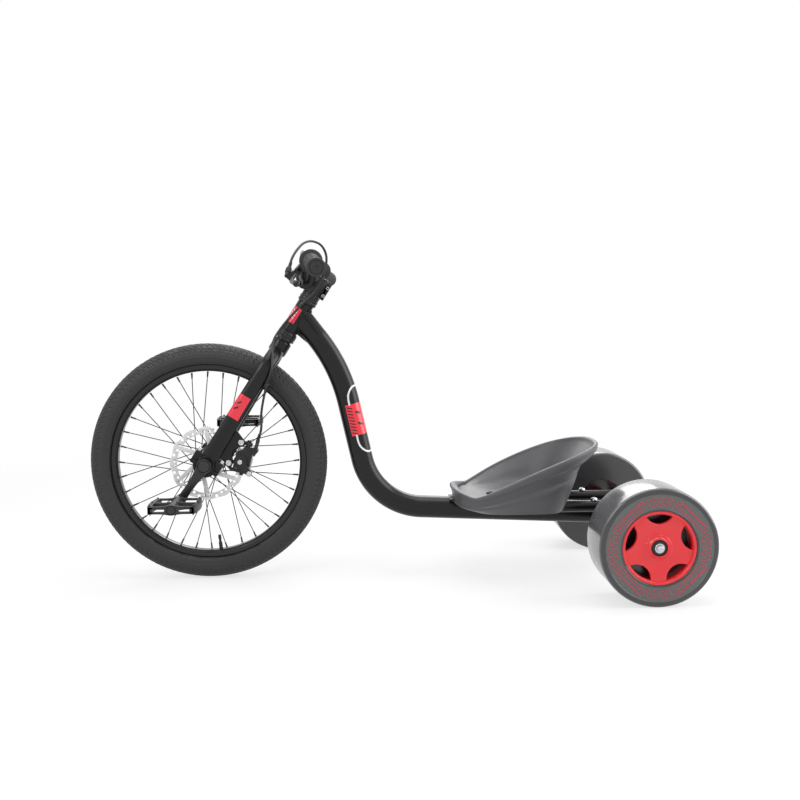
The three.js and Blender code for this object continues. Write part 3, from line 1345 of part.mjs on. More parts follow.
// The cable's route from the hub, out of the barrel and ending square on the boot.
function cablePlaces() {
  const [root, tip] = barrelPlaces().map((point) => point.applyMatrix4(leverFrame()).add(barCentre()));
  const out = tip.clone().sub(root).normalize();
  const places = [gap, cableLead].map((reach) => tip.clone().addScaledVector(out, reach));
  places.push(...cableRoute.map(([x, y, z]) => new THREE.Vector3(x, y, z).sub(hubCentre)));
  const boot = wirePlace(bootAboveStop + gap);
  const before = wirePlace(bootAboveStop + bootAboveStop);
  return [...places, ...[before, boot].map((point) => steerPlace(point.x, point.y, point.z))];
}

function buildCable(group) {
  const curve = new THREE.CatmullRomCurve3(cablePlaces(), false, 'centripetal');
  const stations = stationsOn(curve, cableStep);
  piece(group, 'brake_cable', pipe(stations, cableRadius, cableRadius, cableFacets), blackRubber());
  const clip = steerPlace(clipBehind, -clipOutward, clipAlong);
  const station = stations.reduce((best,
    next) => (next.at.distanceTo(clip) < best.at.distanceTo(clip) ? next : best));
  piece(group, 'cable_clip', clipSolid(station.at, station.along), blackPlastic());
}

// The welded frame, from the head tube to the axle tube.
function frameSolid() {
  const head = steerPlace(0, 0, mainTubeStart).add(hubCentre);
  const axle = new THREE.Vector3(wheelbase, 0, rollerRadius);
  const corners = [head, new THREE.Vector3(firstBendX, 0, firstBendZ),
    new THREE.Vector3(secondBendX, 0, secondBendZ),
    new THREE.Vector3(wheelbase - mainTubeEndInset, 0, mainTubeRearZ)];
  const stations = bentPath(corners, [firstBendRadius, secondBendRadius], tubeBendSteps);
  const halfWidth = (s) => (s ? mainTubeRadius : mainTubeHeadHalfWidth);
  const mainTube = pipe(stations, halfWidth, mainTubeRadius, frameFacets);
  const alongHead = (along) => steerPlace(0, 0, along).add(hubCentre);
  const headTube = rod(alongHead(headTubeBottom), alongHead(headTubeTop), headTubeRadius, roundFacets);
  const headBore = rod(alongHead(headTubeBottom - cupHeight), alongHead(headTubeTop + cupHeight),
    headTubeBore, roundFacets);
  const gusset = gussetSolid(alongHead(headTubeBottom), stations);
  const rails = [-railHalfSpacing,
    railHalfSpacing].map((y) => rod(new THREE.Vector3(railStart, y, railHeight),
    new THREE.Vector3(wheelbase, y, railHeight), railRadius, tubeFacets));
  const crossTube = rodY(crossTubeX, railHeight - railRadius / 2, -railHalfSpacing, railHalfSpacing,
    crossTubeRadius);
  const plates = [-railHalfSpacing, railHalfSpacing].map((y) => plate([
    [wheelbase - axlePlateLength, railHeight], [wheelbase - axlePlateLength, railHeight - railRadius],
    [axle.x - axlePlateBack, axle.z], [axle.x + axlePlateBack, axle.z],
      [axle.x + axlePlateBack, railHeight],
  ].reverse(), y - axlePlateThickness / 2, y + axlePlateThickness / 2));
  const axleTube = rodY(axle.x, axle.z, -axleTubeHalfLength, axleTubeHalfLength, axleTubeRadius,
    roundFacets);
  const past = axleTubeHalfLength + overrun;
  const axleBore = rodY(axle.x, axle.z, -past, past, axleRadius + gap, boreFacets);
  const holes = [
    ...seatBoltPlaces().map(([x, y]) => rodZ(x, y, seatFloor - seatBoltDepth - gap, seatFloor,
      seatBoltRadius + gap, smallFacets)),
    ...[-railHalfSpacing, railHalfSpacing].map((y) => rodZ(railBoltX, y, railTop - railBoltDepth - gap,
      railTop + overrun,
      railBoltRadius + gap, smallFacets)),
  ];
  return cut(joined(mainTube, headTube, gusset, ...rails, crossTube, ...plates, axleTube), headBore,
    axleBore, ...holes);
}

// The plate in the corner under the main tube and behind the head tube.
function gussetSolid(headFoot, stations) {
  const tube = stations[1].at;
  const lower = headFoot.clone().addScaledVector(steerDirection, gussetThickness);
  const onHead = lower.clone().addScaledVector(steerDirection, gussetDrop);
  const down = new THREE.Vector3().crossVectors(new THREE.Vector3(0, 1, 0), stations[1].along).normalize();
  const onTube = tube.clone().addScaledVector(down, mainTubeRadius - overrun);
  const outline = [[lower.x, lower.z], [onTube.x, onTube.z], [tube.x, tube.z], [onHead.x, onHead.z]];
  const area = THREE.ShapeUtils.area(outline.map(([x, z]) => new THREE.Vector2(x, z)));
  return plate(area < 0 ? outline.reverse() : outline, -gussetThickness / 2, gussetThickness / 2);
}

function seatBoltPlaces() {
  return [[frontBoltX, 0], [rearBoltX, -railHalfSpacing], [rearBoltX, railHalfSpacing]];
}

// The rim's height over a place along the seat.
function seatRim(x) {
  const slope = seatRimLow + Math.tan(radians(seatRimSlope)) * (x - seatRimLowX);
  const lip = (seatLipRise * Math.max(0, seatRimLowX - x)) / (seatRimLowX - seatFront);
  return THREE.MathUtils.clamp(slope, seatRimLow, seatRimHigh) + lip;
}

// A ring of the seat: a squarish oval whose points take their heights from their places along the seat.
function seatRing(centreX, halfLength, halfWidth, height) {
  return Array.from({ length: seatFacets }, (_, i) => {
    const angle = -radians((fullTurn * i) / seatFacets);
    const round = (value) => Math.sign(value) * Math.abs(value) ** (2 / seatPower);
    const x = centreX + halfLength * round(Math.cos(angle));
    return new THREE.Vector3(x, halfWidth * round(Math.sin(angle)), height(x));
  });
}

// The bucket: one skin from the floor up the bowl, over the rolled rim, down the outside, and up into the
// hollow under the floor.
function seatSolid() {
  const { lerp } = THREE.MathUtils;
  const inset = 2 * seatRimRound;
  const bowl = seatBowlShares.map(([up, long, wide]) => seatRing(lerp(seatFloorX, seatMiddle, long),
    lerp(seatFloorHalfLength, seatHalfLength - inset, long),
      lerp(seatFloorHalfWidth, seatHalfWidth - inset, wide),
    (x) => lerp(seatFloor, seatRim(x), up)));
  const skirt = seatSkirtShares.map(([front, rear, long, wide]) => seatRing(lerp(seatBaseX, seatMiddle,
    long),
    lerp(seatBaseHalfLength, seatHalfLength, long), lerp(seatBaseHalfWidth, seatHalfWidth, wide),
    (x) => lerp(seatBase, seatRim(x), lerp(front, rear, (x - seatFront) / (seatRear - seatFront)))));
  const rimRing = (back, drop) => seatRing(seatMiddle, seatHalfLength - back, seatHalfWidth - back,
    (x) => seatRim(x) - drop);
  const baseRing = (wall, z) => seatRing(seatBaseX, seatBaseHalfLength - wall, seatBaseHalfWidth - wall,
    () => z);
  return loft([
    seatRing(seatFloorX, seatFloorHalfLength, seatFloorHalfWidth, () => seatFloor),
    ...bowl, rimRing(inset, seatRimRound), rimRing(seatRimRound, 0), rimRing(0, seatRimRound), ...skirt,
    baseRing(0, seatBase), baseRing(seatBaseWall, seatBase),
      baseRing(seatBaseWall, seatFloor - seatFloorWall),
  ]);
}

// The straight rear run of the main tube with a clearance, to cut what straddles it.
function tubeCutter(clearance) {
  const [from, to] = [new THREE.Vector3(secondBendX, 0, secondBendZ),
    new THREE.Vector3(wheelbase, 0, mainTubeRearZ)];
  const along = to.clone().sub(from).normalize();
  const radius = mainTubeRadius + clearance;
  return pipe([{ at: from, along }, { at: to, along }], radius, radius, frameFacets);
}

// What passes through the seat's skirt: the main tube, the rails, the cross tube and the front mount.
function seatShellSolid() {
  const tube = tubeCutter(seatTubeGap);
  const rails = [-railHalfSpacing,
    railHalfSpacing].map((y) => rod(new THREE.Vector3(railStart - overrun, y, railHeight),
    new THREE.Vector3(wheelbase, y, railHeight), railRadius + gap, tubeFacets));
  const half = mountHalfWidth + gap;
  const mount = block([seatFront - overrun, mountRear + gap], [-half, half],
    [mountBottom, seatFloor - seatFloorWall]);
  const holes = seatBoltPlaces().map(([x, y]) => rodZ(x, y, seatBase, seatFloor + overrun,
    seatBoltRadius + gap, smallFacets));
  return cut(seatSolid(), tube, ...rails, mount, ...holes);
}

// The saddle under the front of the seat, which straddles the main tube.
function mountSolid() {
  const top = seatFloor - seatFloorWall - gap;
  const body = plate([[mountFront, top], [mountFront + mountFrontLean, mountBottom],
    [mountRear, mountBottom], [mountRear, top]],
    -mountHalfWidth, mountHalfWidth);
  const tube = tubeCutter(gap);
  const hole = rodZ(frontBoltX, 0, mountBottom, seatFloor, seatBoltRadius + gap, smallFacets);
  return cut(body, tube, hole);
}

function boltSolid(radius, depth, headRadius, headHeight) {
  return joined(rodZ(0, 0, -depth, overrun, radius, boltFacets),
    rodZ(0, 0, gap, gap + headHeight, headRadius, smallFacets));
}

function buildFrame(group) {
  piece(group, 'main_frame', frameSolid(), blackPaint());
  piece(group, 'seat_shell', seatShellSolid(), greyPlastic());
  piece(group, 'seat_front_mount', mountSolid(), blackPlastic());
  const names = ['seat_bolt_front', 'seat_bolt_rear_left', 'seat_bolt_rear_right'];
  seatBoltPlaces().forEach(([x, y], i) => {
    const bolt = boltSolid(seatBoltRadius, seatBoltDepth, seatBoltHeadRadius, seatBoltHeadHeight);
    piece(group, names[i], bolt, silverSteel()).position.set(x, y, seatFloor);
  });
  for (const [name, side] of sides) {
    const bolt = boltSolid(railBoltRadius, railBoltDepth, railBoltHeadRadius, railBoltHeadHeight);
    piece(group, 'rail_bolt_' + name, bolt, silverSteel()).position.set(railBoltX, side * railHalfSpacing,
      railTop);
  }
  const nutFace = wheelFace - coreHubRecess + gap;
  const axle = new THREE.Vector3(wheelbase, 0, rollerRadius);
  const axleEnd = nutFace + axleNutHeight + axleEndReach;
  piece(group, 'rear_axle', rodY(axle.x, axle.z, -axleEnd, axleEnd, axleRadius, boreFacets), silverSteel());
  const nut = cut(rodY(0, 0, -nutFace - axleNutHeight, -nutFace, axleNutRadius, boltFacets),
    rodY(0, 0, -nutFace - axleNutHeight - overrun, -nutFace + overrun, axleRadius + gap, boreFacets));
  piece(group, 'axle_nut_left', nut, silverSteel()).position.copy(axle);
  piece(group, 'axle_nut_right', mirrored(nut), silverSteel()).position.copy(axle);
}

// The hard sleeve of a rear wheel, with a step inside for the core. Its outer face looks towards -Y.
function rollerSolid() {
  const outer = -wheelFace;
  const inner = outer + rollerWidth;
  const step = outer + rollerFaceInset + coreDepth + gap;
  const shoulder = (y, way) => Array.from({ length: shoulderSteps + 1 }, (_, i) => {
    const angle = radians((rightAngle * i) / shoulderSteps);
    const radius = rollerRadius - rollerShoulder * (1 - Math.sin(angle));
    return [radius, y + way * rollerShoulder * (1 - Math.cos(angle))];
  });
  return revolve([[coreRadius + gap, outer], ...shoulder(outer, 1), ...shoulder(inner, -1).reverse(),
    [rollerInnerRadius, inner], [rollerInnerRadius, step], [coreRadius + gap, step]], rollerFacets);
}

// The lens of an opening in the core: an arc along the rim and a flatter arc towards the hub.
function openingOutline(turn) {
  const radius = coreRadius - coreRimWall;
  const half = radians(openingHalfAngle);
  const [c, s] = [radius * Math.cos(half), radius * Math.sin(half)];
  const centre = (c * c + s * s - openingInnerRadius ** 2) / (2 * (c - openingInnerRadius));
  const bow = centre - openingInnerRadius;
  const bowHalf = Math.asin(s / bow);
  const outer = Array.from({ length: lensSteps }, (_, i) => {
    const angle = -half + (2 * half * i) / lensSteps;
    return [radius * Math.cos(angle), radius * Math.sin(angle)];
  });
  const inner = Array.from({ length: lensSteps }, (_, i) => {
    const angle = Math.PI - bowHalf + (2 * bowHalf * i) / lensSteps;
    return [centre + bow * Math.cos(angle), bow * Math.sin(angle)];
  });
  return placed([...outer, ...inner], turn);
}

// The moulded core of a rear wheel: a rim ring, a web with lens openings, and a hub that seats the bearing.
function coreSolid() {
  const face = -wheelFace + rollerFaceInset;
  const webFace = face + coreWebInset;
  const hubFace = webFace - coreHubFront;
  const hubEnd = -axleTubeHalfLength - gap;
  const bearingSeat = hubFace + wheelBearingWidth + gap;
  const ring = ringY(coreRadius - coreRimWall, coreRadius, face, face + coreDepth, rollerFacets);
  const web = rodY(0, 0, webFace, webFace + coreWeb, coreRadius - coreRimWall / 2, rollerFacets);
  const hub = rodY(0, 0, hubFace, hubEnd, coreHubRadius, hubFacets);
  const openings = Array.from({ length: openingCount }, (_, i) => plate(
    openingOutline(rightAngle + (fullTurn * i) / openingCount), webFace - overrun,
      webFace + coreWeb + overrun));
  const pocket = rodY(0, 0, hubFace - overrun, bearingSeat, wheelBearingRadius + gap, hubFacets);
  const bore = rodY(0, 0, hubFace - overrun, hubEnd + overrun, axleRadius + gap, boreFacets);
  return cut(joined(ring, cut(web, ...openings), hub), pocket, bore);
}

function buildRearWheels(group) {
  for (const [name, side] of sides) {
    const flip = (shape) => (side < 0 ? shape : mirrored(shape));
    const hubFace = -wheelFace + coreHubRecess;
    const bearing = ringY(axleRadius + gap, wheelBearingRadius, hubFace, hubFace + wheelBearingWidth,
      hubFacets);
    const pieces = [['rear_sleeve_', rollerSolid(), darkGloss()], ['rear_core_', coreSolid(), redPlastic()],
      ['rear_bearing_', bearing, silverSteel()]];
    for (const [start, shape, material] of pieces) {
      piece(group, start + name, flip(shape), material).position.set(wheelbase, 0, rollerRadius);
    }
  }
}

const trike = new THREE.Group();
trike.position.x = -(wheelbase + rollerRadius - tyreRadius) / 2;
const hub = new THREE.Group();
hub.position.copy(hubCentre);
const steering = new THREE.Group();
steering.rotation.y = radians(rightAngle - steerAngle);
const bar = new THREE.Group();
bar.position.copy(barCentre());
const root = new THREE.Group();
root.add(trike);
trike.add(hub);
hub.add(steering, bar);
buildFrame(trike);
buildRearWheels(trike);
buildFrontWheel(hub);
buildCranks(hub);
buildFork(steering);
buildBrake(steering);
buildHandlebar(bar);
buildCable(hub);
const cups = new THREE.Group();
cups.position.copy(hubCentre);
cups.rotation.copy(steering.rotation);
trike.add(cups);
buildHeadsetCups(cups);

export default root;
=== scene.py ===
# %% [markdown]
# This script dresses a drift trike: a pedalled front wheel, one bent frame tube, a low bucket seat and two
# hard rear sleeves that slide sideways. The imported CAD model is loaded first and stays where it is. Each
# step then adds a finer surface over one of its parts, or gives a part a better material.

# %% Load the frame
import json
import bmesh
import bpy
import numpy as np
from mathutils import Matrix

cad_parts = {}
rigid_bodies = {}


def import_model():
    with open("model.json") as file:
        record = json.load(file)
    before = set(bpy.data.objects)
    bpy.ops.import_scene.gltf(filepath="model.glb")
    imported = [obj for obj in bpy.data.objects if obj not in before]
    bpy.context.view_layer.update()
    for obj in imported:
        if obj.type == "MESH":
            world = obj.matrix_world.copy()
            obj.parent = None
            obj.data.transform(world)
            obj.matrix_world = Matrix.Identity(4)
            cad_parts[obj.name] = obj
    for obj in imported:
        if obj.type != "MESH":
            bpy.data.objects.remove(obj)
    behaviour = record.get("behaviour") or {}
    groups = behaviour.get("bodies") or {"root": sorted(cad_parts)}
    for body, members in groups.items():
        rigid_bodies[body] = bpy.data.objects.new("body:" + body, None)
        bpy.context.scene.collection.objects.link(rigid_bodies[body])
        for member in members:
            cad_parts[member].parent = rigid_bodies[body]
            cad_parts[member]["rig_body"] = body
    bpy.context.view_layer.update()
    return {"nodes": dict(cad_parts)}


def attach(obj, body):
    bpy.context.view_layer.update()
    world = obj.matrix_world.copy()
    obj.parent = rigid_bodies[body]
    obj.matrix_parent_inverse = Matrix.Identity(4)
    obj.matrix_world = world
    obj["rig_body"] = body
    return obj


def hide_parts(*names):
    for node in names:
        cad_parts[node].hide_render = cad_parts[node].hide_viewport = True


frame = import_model()
nodes = frame["nodes"]

# %% [markdown]
# The photograph was matched by least squares: the wheels stand on the floor and the front tyre is 510 mm
# across, which gives the place of the camera, its direction and its lens. The same numbers go in here, so
# each piece can be compared with the photograph where it stands.

# %% Camera
MM = 0.001
PICTURE = 800
FOCAL_PIXELS = 1012.503
SENSOR = 36.0
FRONT_SHIFT = -382.65  # the front wheel's contact with the floor, in millimetres along the trike
CAMERA_PLACE = np.array([333.387 + FRONT_SHIFT, -2194.295, 581.294])
CAMERA_YAW, CAMERA_PITCH, CAMERA_ROLL = 0.037, 0.09, 0.007  # radians: right, down and a slight lean

scene = bpy.context.scene
camera_data = bpy.data.cameras.new("photo_view")
camera_data.sensor_width = SENSOR
camera_data.lens = FOCAL_PIXELS * SENSOR / PICTURE
camera = bpy.data.objects.new("photo_view", camera_data)
scene.collection.objects.link(camera)
sin_yaw, cos_yaw = np.sin(CAMERA_YAW), np.cos(CAMERA_YAW)
ahead = np.array([sin_yaw * np.cos(CAMERA_PITCH), cos_yaw * np.cos(CAMERA_PITCH), -np.sin(CAMERA_PITCH)])
level = np.array([cos_yaw, -sin_yaw, 0.0])
down = np.cross(ahead, level)
right = np.cos(CAMERA_ROLL) * level + np.sin(CAMERA_ROLL) * down
up = np.sin(CAMERA_ROLL) * level - np.cos(CAMERA_ROLL) * down
turn = np.eye(4)
turn[:3, :3] = np.array([right, up, -ahead]).T
turn[:3, 3] = CAMERA_PLACE * MM
camera.matrix_world = Matrix(turn.tolist())
scene.camera = camera
scene.view_settings.view_transform = "Standard"
print("lens", round(camera_data.lens, 2), "mm")

# %% [markdown]
# All new pieces are meshes made from arrays, because Blender takes a whole array at once, and a loop over
# its points would be slow. A skin is a piece's points and the corners of its faces. The finishes are made
# of shader nodes, and one helper makes a node with its settings and its inputs.

# %% Meshes from arrays
def new_mesh(name, points, corners, counts):
    """A mesh from points in millimetres, the corners of all faces in one row, and the corners of each."""
    mesh = bpy.data.meshes.new(name)
    mesh.vertices.add(len(points))
    mesh.vertices.foreach_set("co", (np.asarray(points, np.float32) * MM).ravel())
    mesh.loops.add(len(corners))
    mesh.loops.foreach_set("vertex_index", np.asarray(corners, np.int32))
    mesh.polygons.add(len(counts))
    starts = np.concatenate([[0], np.cumsum(counts)[:-1]])
    mesh.polygons.foreach_set("loop_start", starts.astype(np.int32))
    mesh.update(calc_edges=True)
    return mesh


def sheet(grid, wrap_rows=False, wrap_cols=False):
    """A grid of points [rows, columns, 3] as a skin of quads. A direction that closes on itself wraps."""
    rows, cols = grid.shape[:2]
    i, j = np.meshgrid(np.arange(rows - (not wrap_rows)), np.arange(cols - (not wrap_cols)),
        indexing="ij")
    below, beside = (i + 1) % rows, (j + 1) % cols
    quads = np.stack([i * cols + j, i * cols + beside, below * cols + beside, below * cols + j], -1)
    return grid.reshape(-1, 3), quads.ravel(), np.full(i.size, 4)


def placed(name, data):
    """A new object in the scene, at the origin."""
    made = bpy.data.objects.new(name, data)
    scene.collection.objects.link(made)
    return made


# %% Shader nodes
def node(tree, kind, inputs=None, **settings):
    """A shader node. An input, by name or place, is a number, a colour, a socket or another node, whose
    first output is then taken."""
    made = tree.nodes.new("ShaderNode" + kind)
    for name, value in settings.items():
        setattr(made, name, value)
    for place, value in (inputs or {}).items():
        value = value.outputs[0] if isinstance(value, bpy.types.Node) else value
        if isinstance(value, bpy.types.NodeSocket):
            tree.links.new(value, made.inputs[place])
        else:
            made.inputs[place].default_value = value
    return made


def shader(name):
    """A new material and its tree, with no node in it yet."""
    made = bpy.data.materials.new(name)
    made.use_nodes = True
    made.node_tree.nodes.clear()
    return made, made.node_tree


def any_ray(tree, *kinds):
    """1 where the light ray is of one of the kinds, 0 elsewhere."""
    rays = node(tree, "LightPath").outputs
    seen = rays[kinds[0]]
    for kind in kinds[1:]:
        seen = node(tree, "Math", {0: seen, 1: rays[kind]}, operation="MAXIMUM")
    return seen


# %% [markdown]
# A product picture on white needs a floor that keeps a soft shadow and fades into the white around it. The
# floor is one wide flat sheet. Its material shows the camera mostly its own pale colour and partly the
# light that falls on it, so the shadow is gentle. Further from the trike it shows its own colour only.

# %% Floor
FLOOR_HALF, FLOOR_GREY = 9000.0, 0.9
FLOOR_OWN_SHARE, FADE_FROM, FADE_TO = 0.7, 1.1, 2.4
edges = [-FLOOR_HALF, FLOOR_HALF]
floor_mesh = new_mesh("studio_floor", *sheet(np.stack(np.meshgrid(edges, edges, [0.0]), -1)[:, :, 0]))
floor = placed("studio_floor", floor_mesh)
floor_material, tree = shader("studio_white")
away = node(tree, "VectorMath", {0: node(tree, "TexCoord").outputs["Object"]}, operation="LENGTH")
fade = node(tree, "MapRange", {"Value": away.outputs["Value"], "From Min": FADE_FROM, "From Max": FADE_TO,
                               "To Min": FLOOR_OWN_SHARE}, interpolation_type="SMOOTHSTEP")
share = node(tree, "Math", {0: any_ray(tree, "Is Camera Ray", "Is Glossy Ray"), 1: fade},
    operation="MULTIPLY")
lit = node(tree, "BsdfDiffuse", {"Color": (FLOOR_GREY, FLOOR_GREY, FLOOR_GREY, 1)})
floor_mix = node(tree, "MixShader", {0: share, 1: lit, 2: node(tree, "Emission")})
node(tree, "OutputMaterial", {"Surface": floor_mix})
floor_mesh.materials.append(floor_material)
print("floor", 2 * FLOOR_HALF * MM, "m wide")

# %% [markdown]
# Gloss black shows what surrounds it more than its own colour. Large soft lamps give the long pale bands
# along the tubes: one high on the left, one over the top, one from the rear end, and one from behind.

# %% Lights
def soft_lamp(name, place, target, size, watts):
    """A square area lamp at a place in millimetres, turned so that it faces a target."""
    data = bpy.data.lights.new(name, "AREA")
    data.size, data.energy = size * MM, watts
    back = np.array(place, float) - np.array(target, float)
    back /= np.linalg.norm(back)
    side = np.cross([0.0, 0.0, 1.0], back)
    side /= np.linalg.norm(side)
    pose = np.eye(4)
    pose[:3, :3] = np.array([side, np.cross(back, side), back]).T
    pose[:3, 3] = np.array(place) * MM
    placed(name, data).matrix_world = Matrix(pose.tolist())


MIDDLE = (0.0, 0.0, 300.0)
soft_lamp("key_left", (-1700.0, -1500.0, 1900.0), MIDDLE, 1500.0, 26.0)
soft_lamp("top", (100.0, -100.0, 2400.0), MIDDLE, 1900.0, 26.0)
soft_lamp("side_right", (2150.0, -350.0, 1200.0), MIDDLE, 1900.0, 42.0)
soft_lamp("rim_back", (300.0, 2100.0, 1700.0), MIDDLE, 1800.0, 30.0)

WORLD_SOFT = 0.36
world = bpy.data.worlds.new("white_room")
scene.world = world
world.use_nodes = True
tree = world.node_tree
seen = any_ray(tree, "Is Camera Ray", "Is Transmission Ray", "Is Glossy Ray")
level = node(tree, "MapRange", {"Value": seen, "To Min": WORLD_SOFT})
background = tree.nodes["Background"]
background.inputs["Color"].default_value = (1, 1, 1, 1)
tree.links.new(level.outputs["Result"], background.inputs["Strength"])
print("world", WORLD_SOFT)

# %% [markdown]
# Every new piece is a skin over points that come from a formula. Three formulas make nearly all of them: a
# profile turned about an axis, an oval section carried along a path, and a flat outline with round edges.
# A piece may be several closed skins, as a welded part is. Their doubles are merged, which closes the
# poles, and then each skin is turned to face outwards.

# %% Skins from formulas
def unit(ways):
    """Each direction made 1 long."""
    return ways / np.linalg.norm(ways, axis=-1, keepdims=True)


def full_turn(count):
    """Even angles once round, without the last, which is the first."""
    return np.arange(count) * 2 * np.pi / count


def oval(angle, power=2.0):
    """The sides of an oval, |cos|^(2/power) and |sin|^(2/power) with their signs. Power 2 is round."""
    return [np.sign(v) * np.abs(v) ** (2 / power) for v in (np.cos(angle), np.sin(angle))]


def on_circle(angle, radius=1.0):
    """Places [u, v] on a circle at given angles."""
    return radius * np.stack([np.cos(angle), np.sin(angle)], -1)


def about(radius, angle, height):
    """Places round the Z axis, from radii, angles and heights of any shapes that fit together."""
    return np.stack(np.broadcast_arrays(radius * np.cos(angle), radius * np.sin(angle), height), -1)


def wheeled(radius, angle, height):
    """The same round an axis across the trike: the angle runs from X to Z, and the height is Y."""
    return about(radius, angle, height)[..., [0, 2, 1]]


def ringed(grid, closed=False):
    """A skin over rings [rings, around, 3]. Unless they close on each other, both ends are drawn in."""
    if not closed:
        ends = [np.broadcast_to(grid[i].mean(0), grid[i].shape)[None] for i in (0, -1)]
        grid = np.concatenate([ends[0], grid, ends[1]])
    return sheet(grid, wrap_rows=closed, wrap_cols=True)


def axis_frame(axis):
    """Two directions across an axis, and the axis: the columns of a turn that takes Z to it."""
    axis = unit(np.asarray(axis, float))
    helper = np.array([0.0, 0.0, 1.0]) if abs(axis[2]) < 0.9 else np.array([1.0, 0.0, 0.0])
    across = unit(np.cross(helper, axis))
    return np.stack([across, np.cross(axis, across), axis], 1)


def turned(profile, at, axis, steps=96, closed=False, sides=None):
    """A profile of [radius, height] points turned about an axis through a place. Where sides gives a number
    for a point, its ring is a polygon of that many sides: radius / cos(angle to the middle of its side)."""
    profile = np.asarray(profile, float)
    angle = full_turn(steps)
    radius = np.broadcast_to(profile[:, :1], (len(profile), steps)).copy()
    for row, count in (sides or {}).items():
        sector = 2 * np.pi / count
        radius[row] *= np.cos(sector / 2) / np.cos((angle % sector) - sector / 2)
    return ringed(about(radius, angle, profile[:, 1:]) @ axis_frame(axis).T + np.asarray(at, float),
        closed)


def eased(profile, size, steps=3, closed=True):
    """A profile whose corners are cut round: each becomes a curve (1-t)^2 a + 2t(1-t) p + t^2 b, from a
    point a of its near side to a point b of its far side."""
    p = np.asarray(profile, float)
    n = len(p)
    t = np.linspace(0, 1, steps + 1)[:, None]
    out = []
    for i in range(n):
        if not closed and i in (0, n - 1):
            out.append(p[i][None])
            continue
        ways = [p[i - 1] - p[i], p[(i + 1) % n] - p[i]]
        cut = min([size] + [np.linalg.norm(v) * 0.45 for v in ways])
        a, b = [p[i] + v / np.linalg.norm(v) * cut for v in ways]
        out.append((1 - t) ** 2 * a + 2 * t * (1 - t) * p[i] + t ** 2 * b)
    return np.concatenate(out)


def rod(radius, low, high, edge):
    """The profile of a solid round bar between two heights."""
    return eased([[0, low], [radius, low], [radius, high], [0, high]], edge, closed=False)


def tube(inner, outer, low, high, edge):
    """The profile of a ring between two heights; it is turned as a closed one."""
    return eased([[inner, low], [outer, low], [outer, high], [inner, high]], edge)


def carried(path, wide, tall=None, first_side=(0.0, 1.0, 0.0), around=32, power=2.0):
    """An oval section carried along a path of points. Its side direction is passed on from point to point
    without twist. wide and tall are half sizes, one number or one for each point; power 2 is an ellipse."""
    path = np.asarray(path, float)
    along = unit(np.gradient(path, axis=0))
    side = np.empty_like(path)
    last = np.asarray(first_side, float)
    for i, way in enumerate(along):
        last = unit(last - way * last.dot(way))
        side[i] = last
    up = np.cross(along, side)
    wide = np.broadcast_to(np.asarray(wide, float), (len(path),))[:, None, None]
    tall = wide if tall is None else np.broadcast_to(np.asarray(tall, float), (len(path),))[:, None, None]
    cos, sin = [part[None, :, None] for part in oval(full_turn(around), power)]
    return ringed(path[:, None] + side[:, None] * wide * cos + up[:, None] * tall * sin)


def bent(corners, radii, steps=16, spacing=12.0):
    """Straight runs between corners that meet in circular bends, as points about evenly apart."""
    corners = [np.asarray(c, float) for c in corners]
    points = [corners[0]]
    for before, corner, after, radius in zip(corners, corners[1:], corners[2:], radii):
        into, out = unit(corner - before), unit(after - corner)
        turn = np.arccos(np.clip(into.dot(out), -1, 1))
        start = corner - into * radius * np.tan(turn / 2)
        inward = unit(out - into * out.dot(into))
        angle = np.linspace(0, turn, steps + 1)[:, None]
        points += list(start + into * radius * np.sin(angle) + inward * radius * (1 - np.cos(angle)))
    points.append(corners[-1])
    filled = [points[0]]
    for point in points[1:]:
        count = max(1, int(np.ceil(np.linalg.norm(point - filled[-1]) / spacing)))
        filled += list(filled[-1] + (point - filled[-1]) * np.linspace(0, 1, count + 1)[1:, None])
    return np.array(filled)


def cubic(values, slope, k, u, h=1.0):
    """A smooth curve's values at a share u of its stretch k, whose length is h: the cubic with the given
    values and slopes at both ends of the stretch."""
    return ((1 + 2 * u) * (1 - u) ** 2 * values[k] + u * (1 - u) ** 2 * h * slope[k]
            + u ** 2 * (3 - 2 * u) * values[k + 1] + u ** 2 * (u - 1) * h * slope[k + 1])


def smooth_through(places, step=2.0):
    """A smooth curve through places: a cubic on each stretch, with slopes from the neighbours' chords."""
    chords = np.linalg.norm(np.diff(places, axis=0), axis=1)
    knots = np.concatenate([[0], np.cumsum(chords ** 0.5)])
    slope = np.gradient(places, knots, axis=0)
    length = chords.sum()
    t = np.linspace(0, knots[-1], int(length / step))
    k = np.clip(np.searchsorted(knots, t, side="right") - 1, 0, len(places) - 2)
    h = (knots[k + 1] - knots[k])[:, None]
    return cubic(places, slope, k, (t - knots[k])[:, None] / h, h)


def read_mesh(mesh):
    """The points, corners and counts of a mesh that is then removed."""
    points, corners = np.empty(len(mesh.vertices) * 3), np.empty(len(mesh.loops), int)
    counts = np.empty(len(mesh.polygons), int)
    mesh.vertices.foreach_get("co", points)
    mesh.loops.foreach_get("vertex_index", corners)
    mesh.polygons.foreach_get("loop_total", counts)
    bpy.data.meshes.remove(mesh)
    return points.reshape(-1, 3), corners, counts


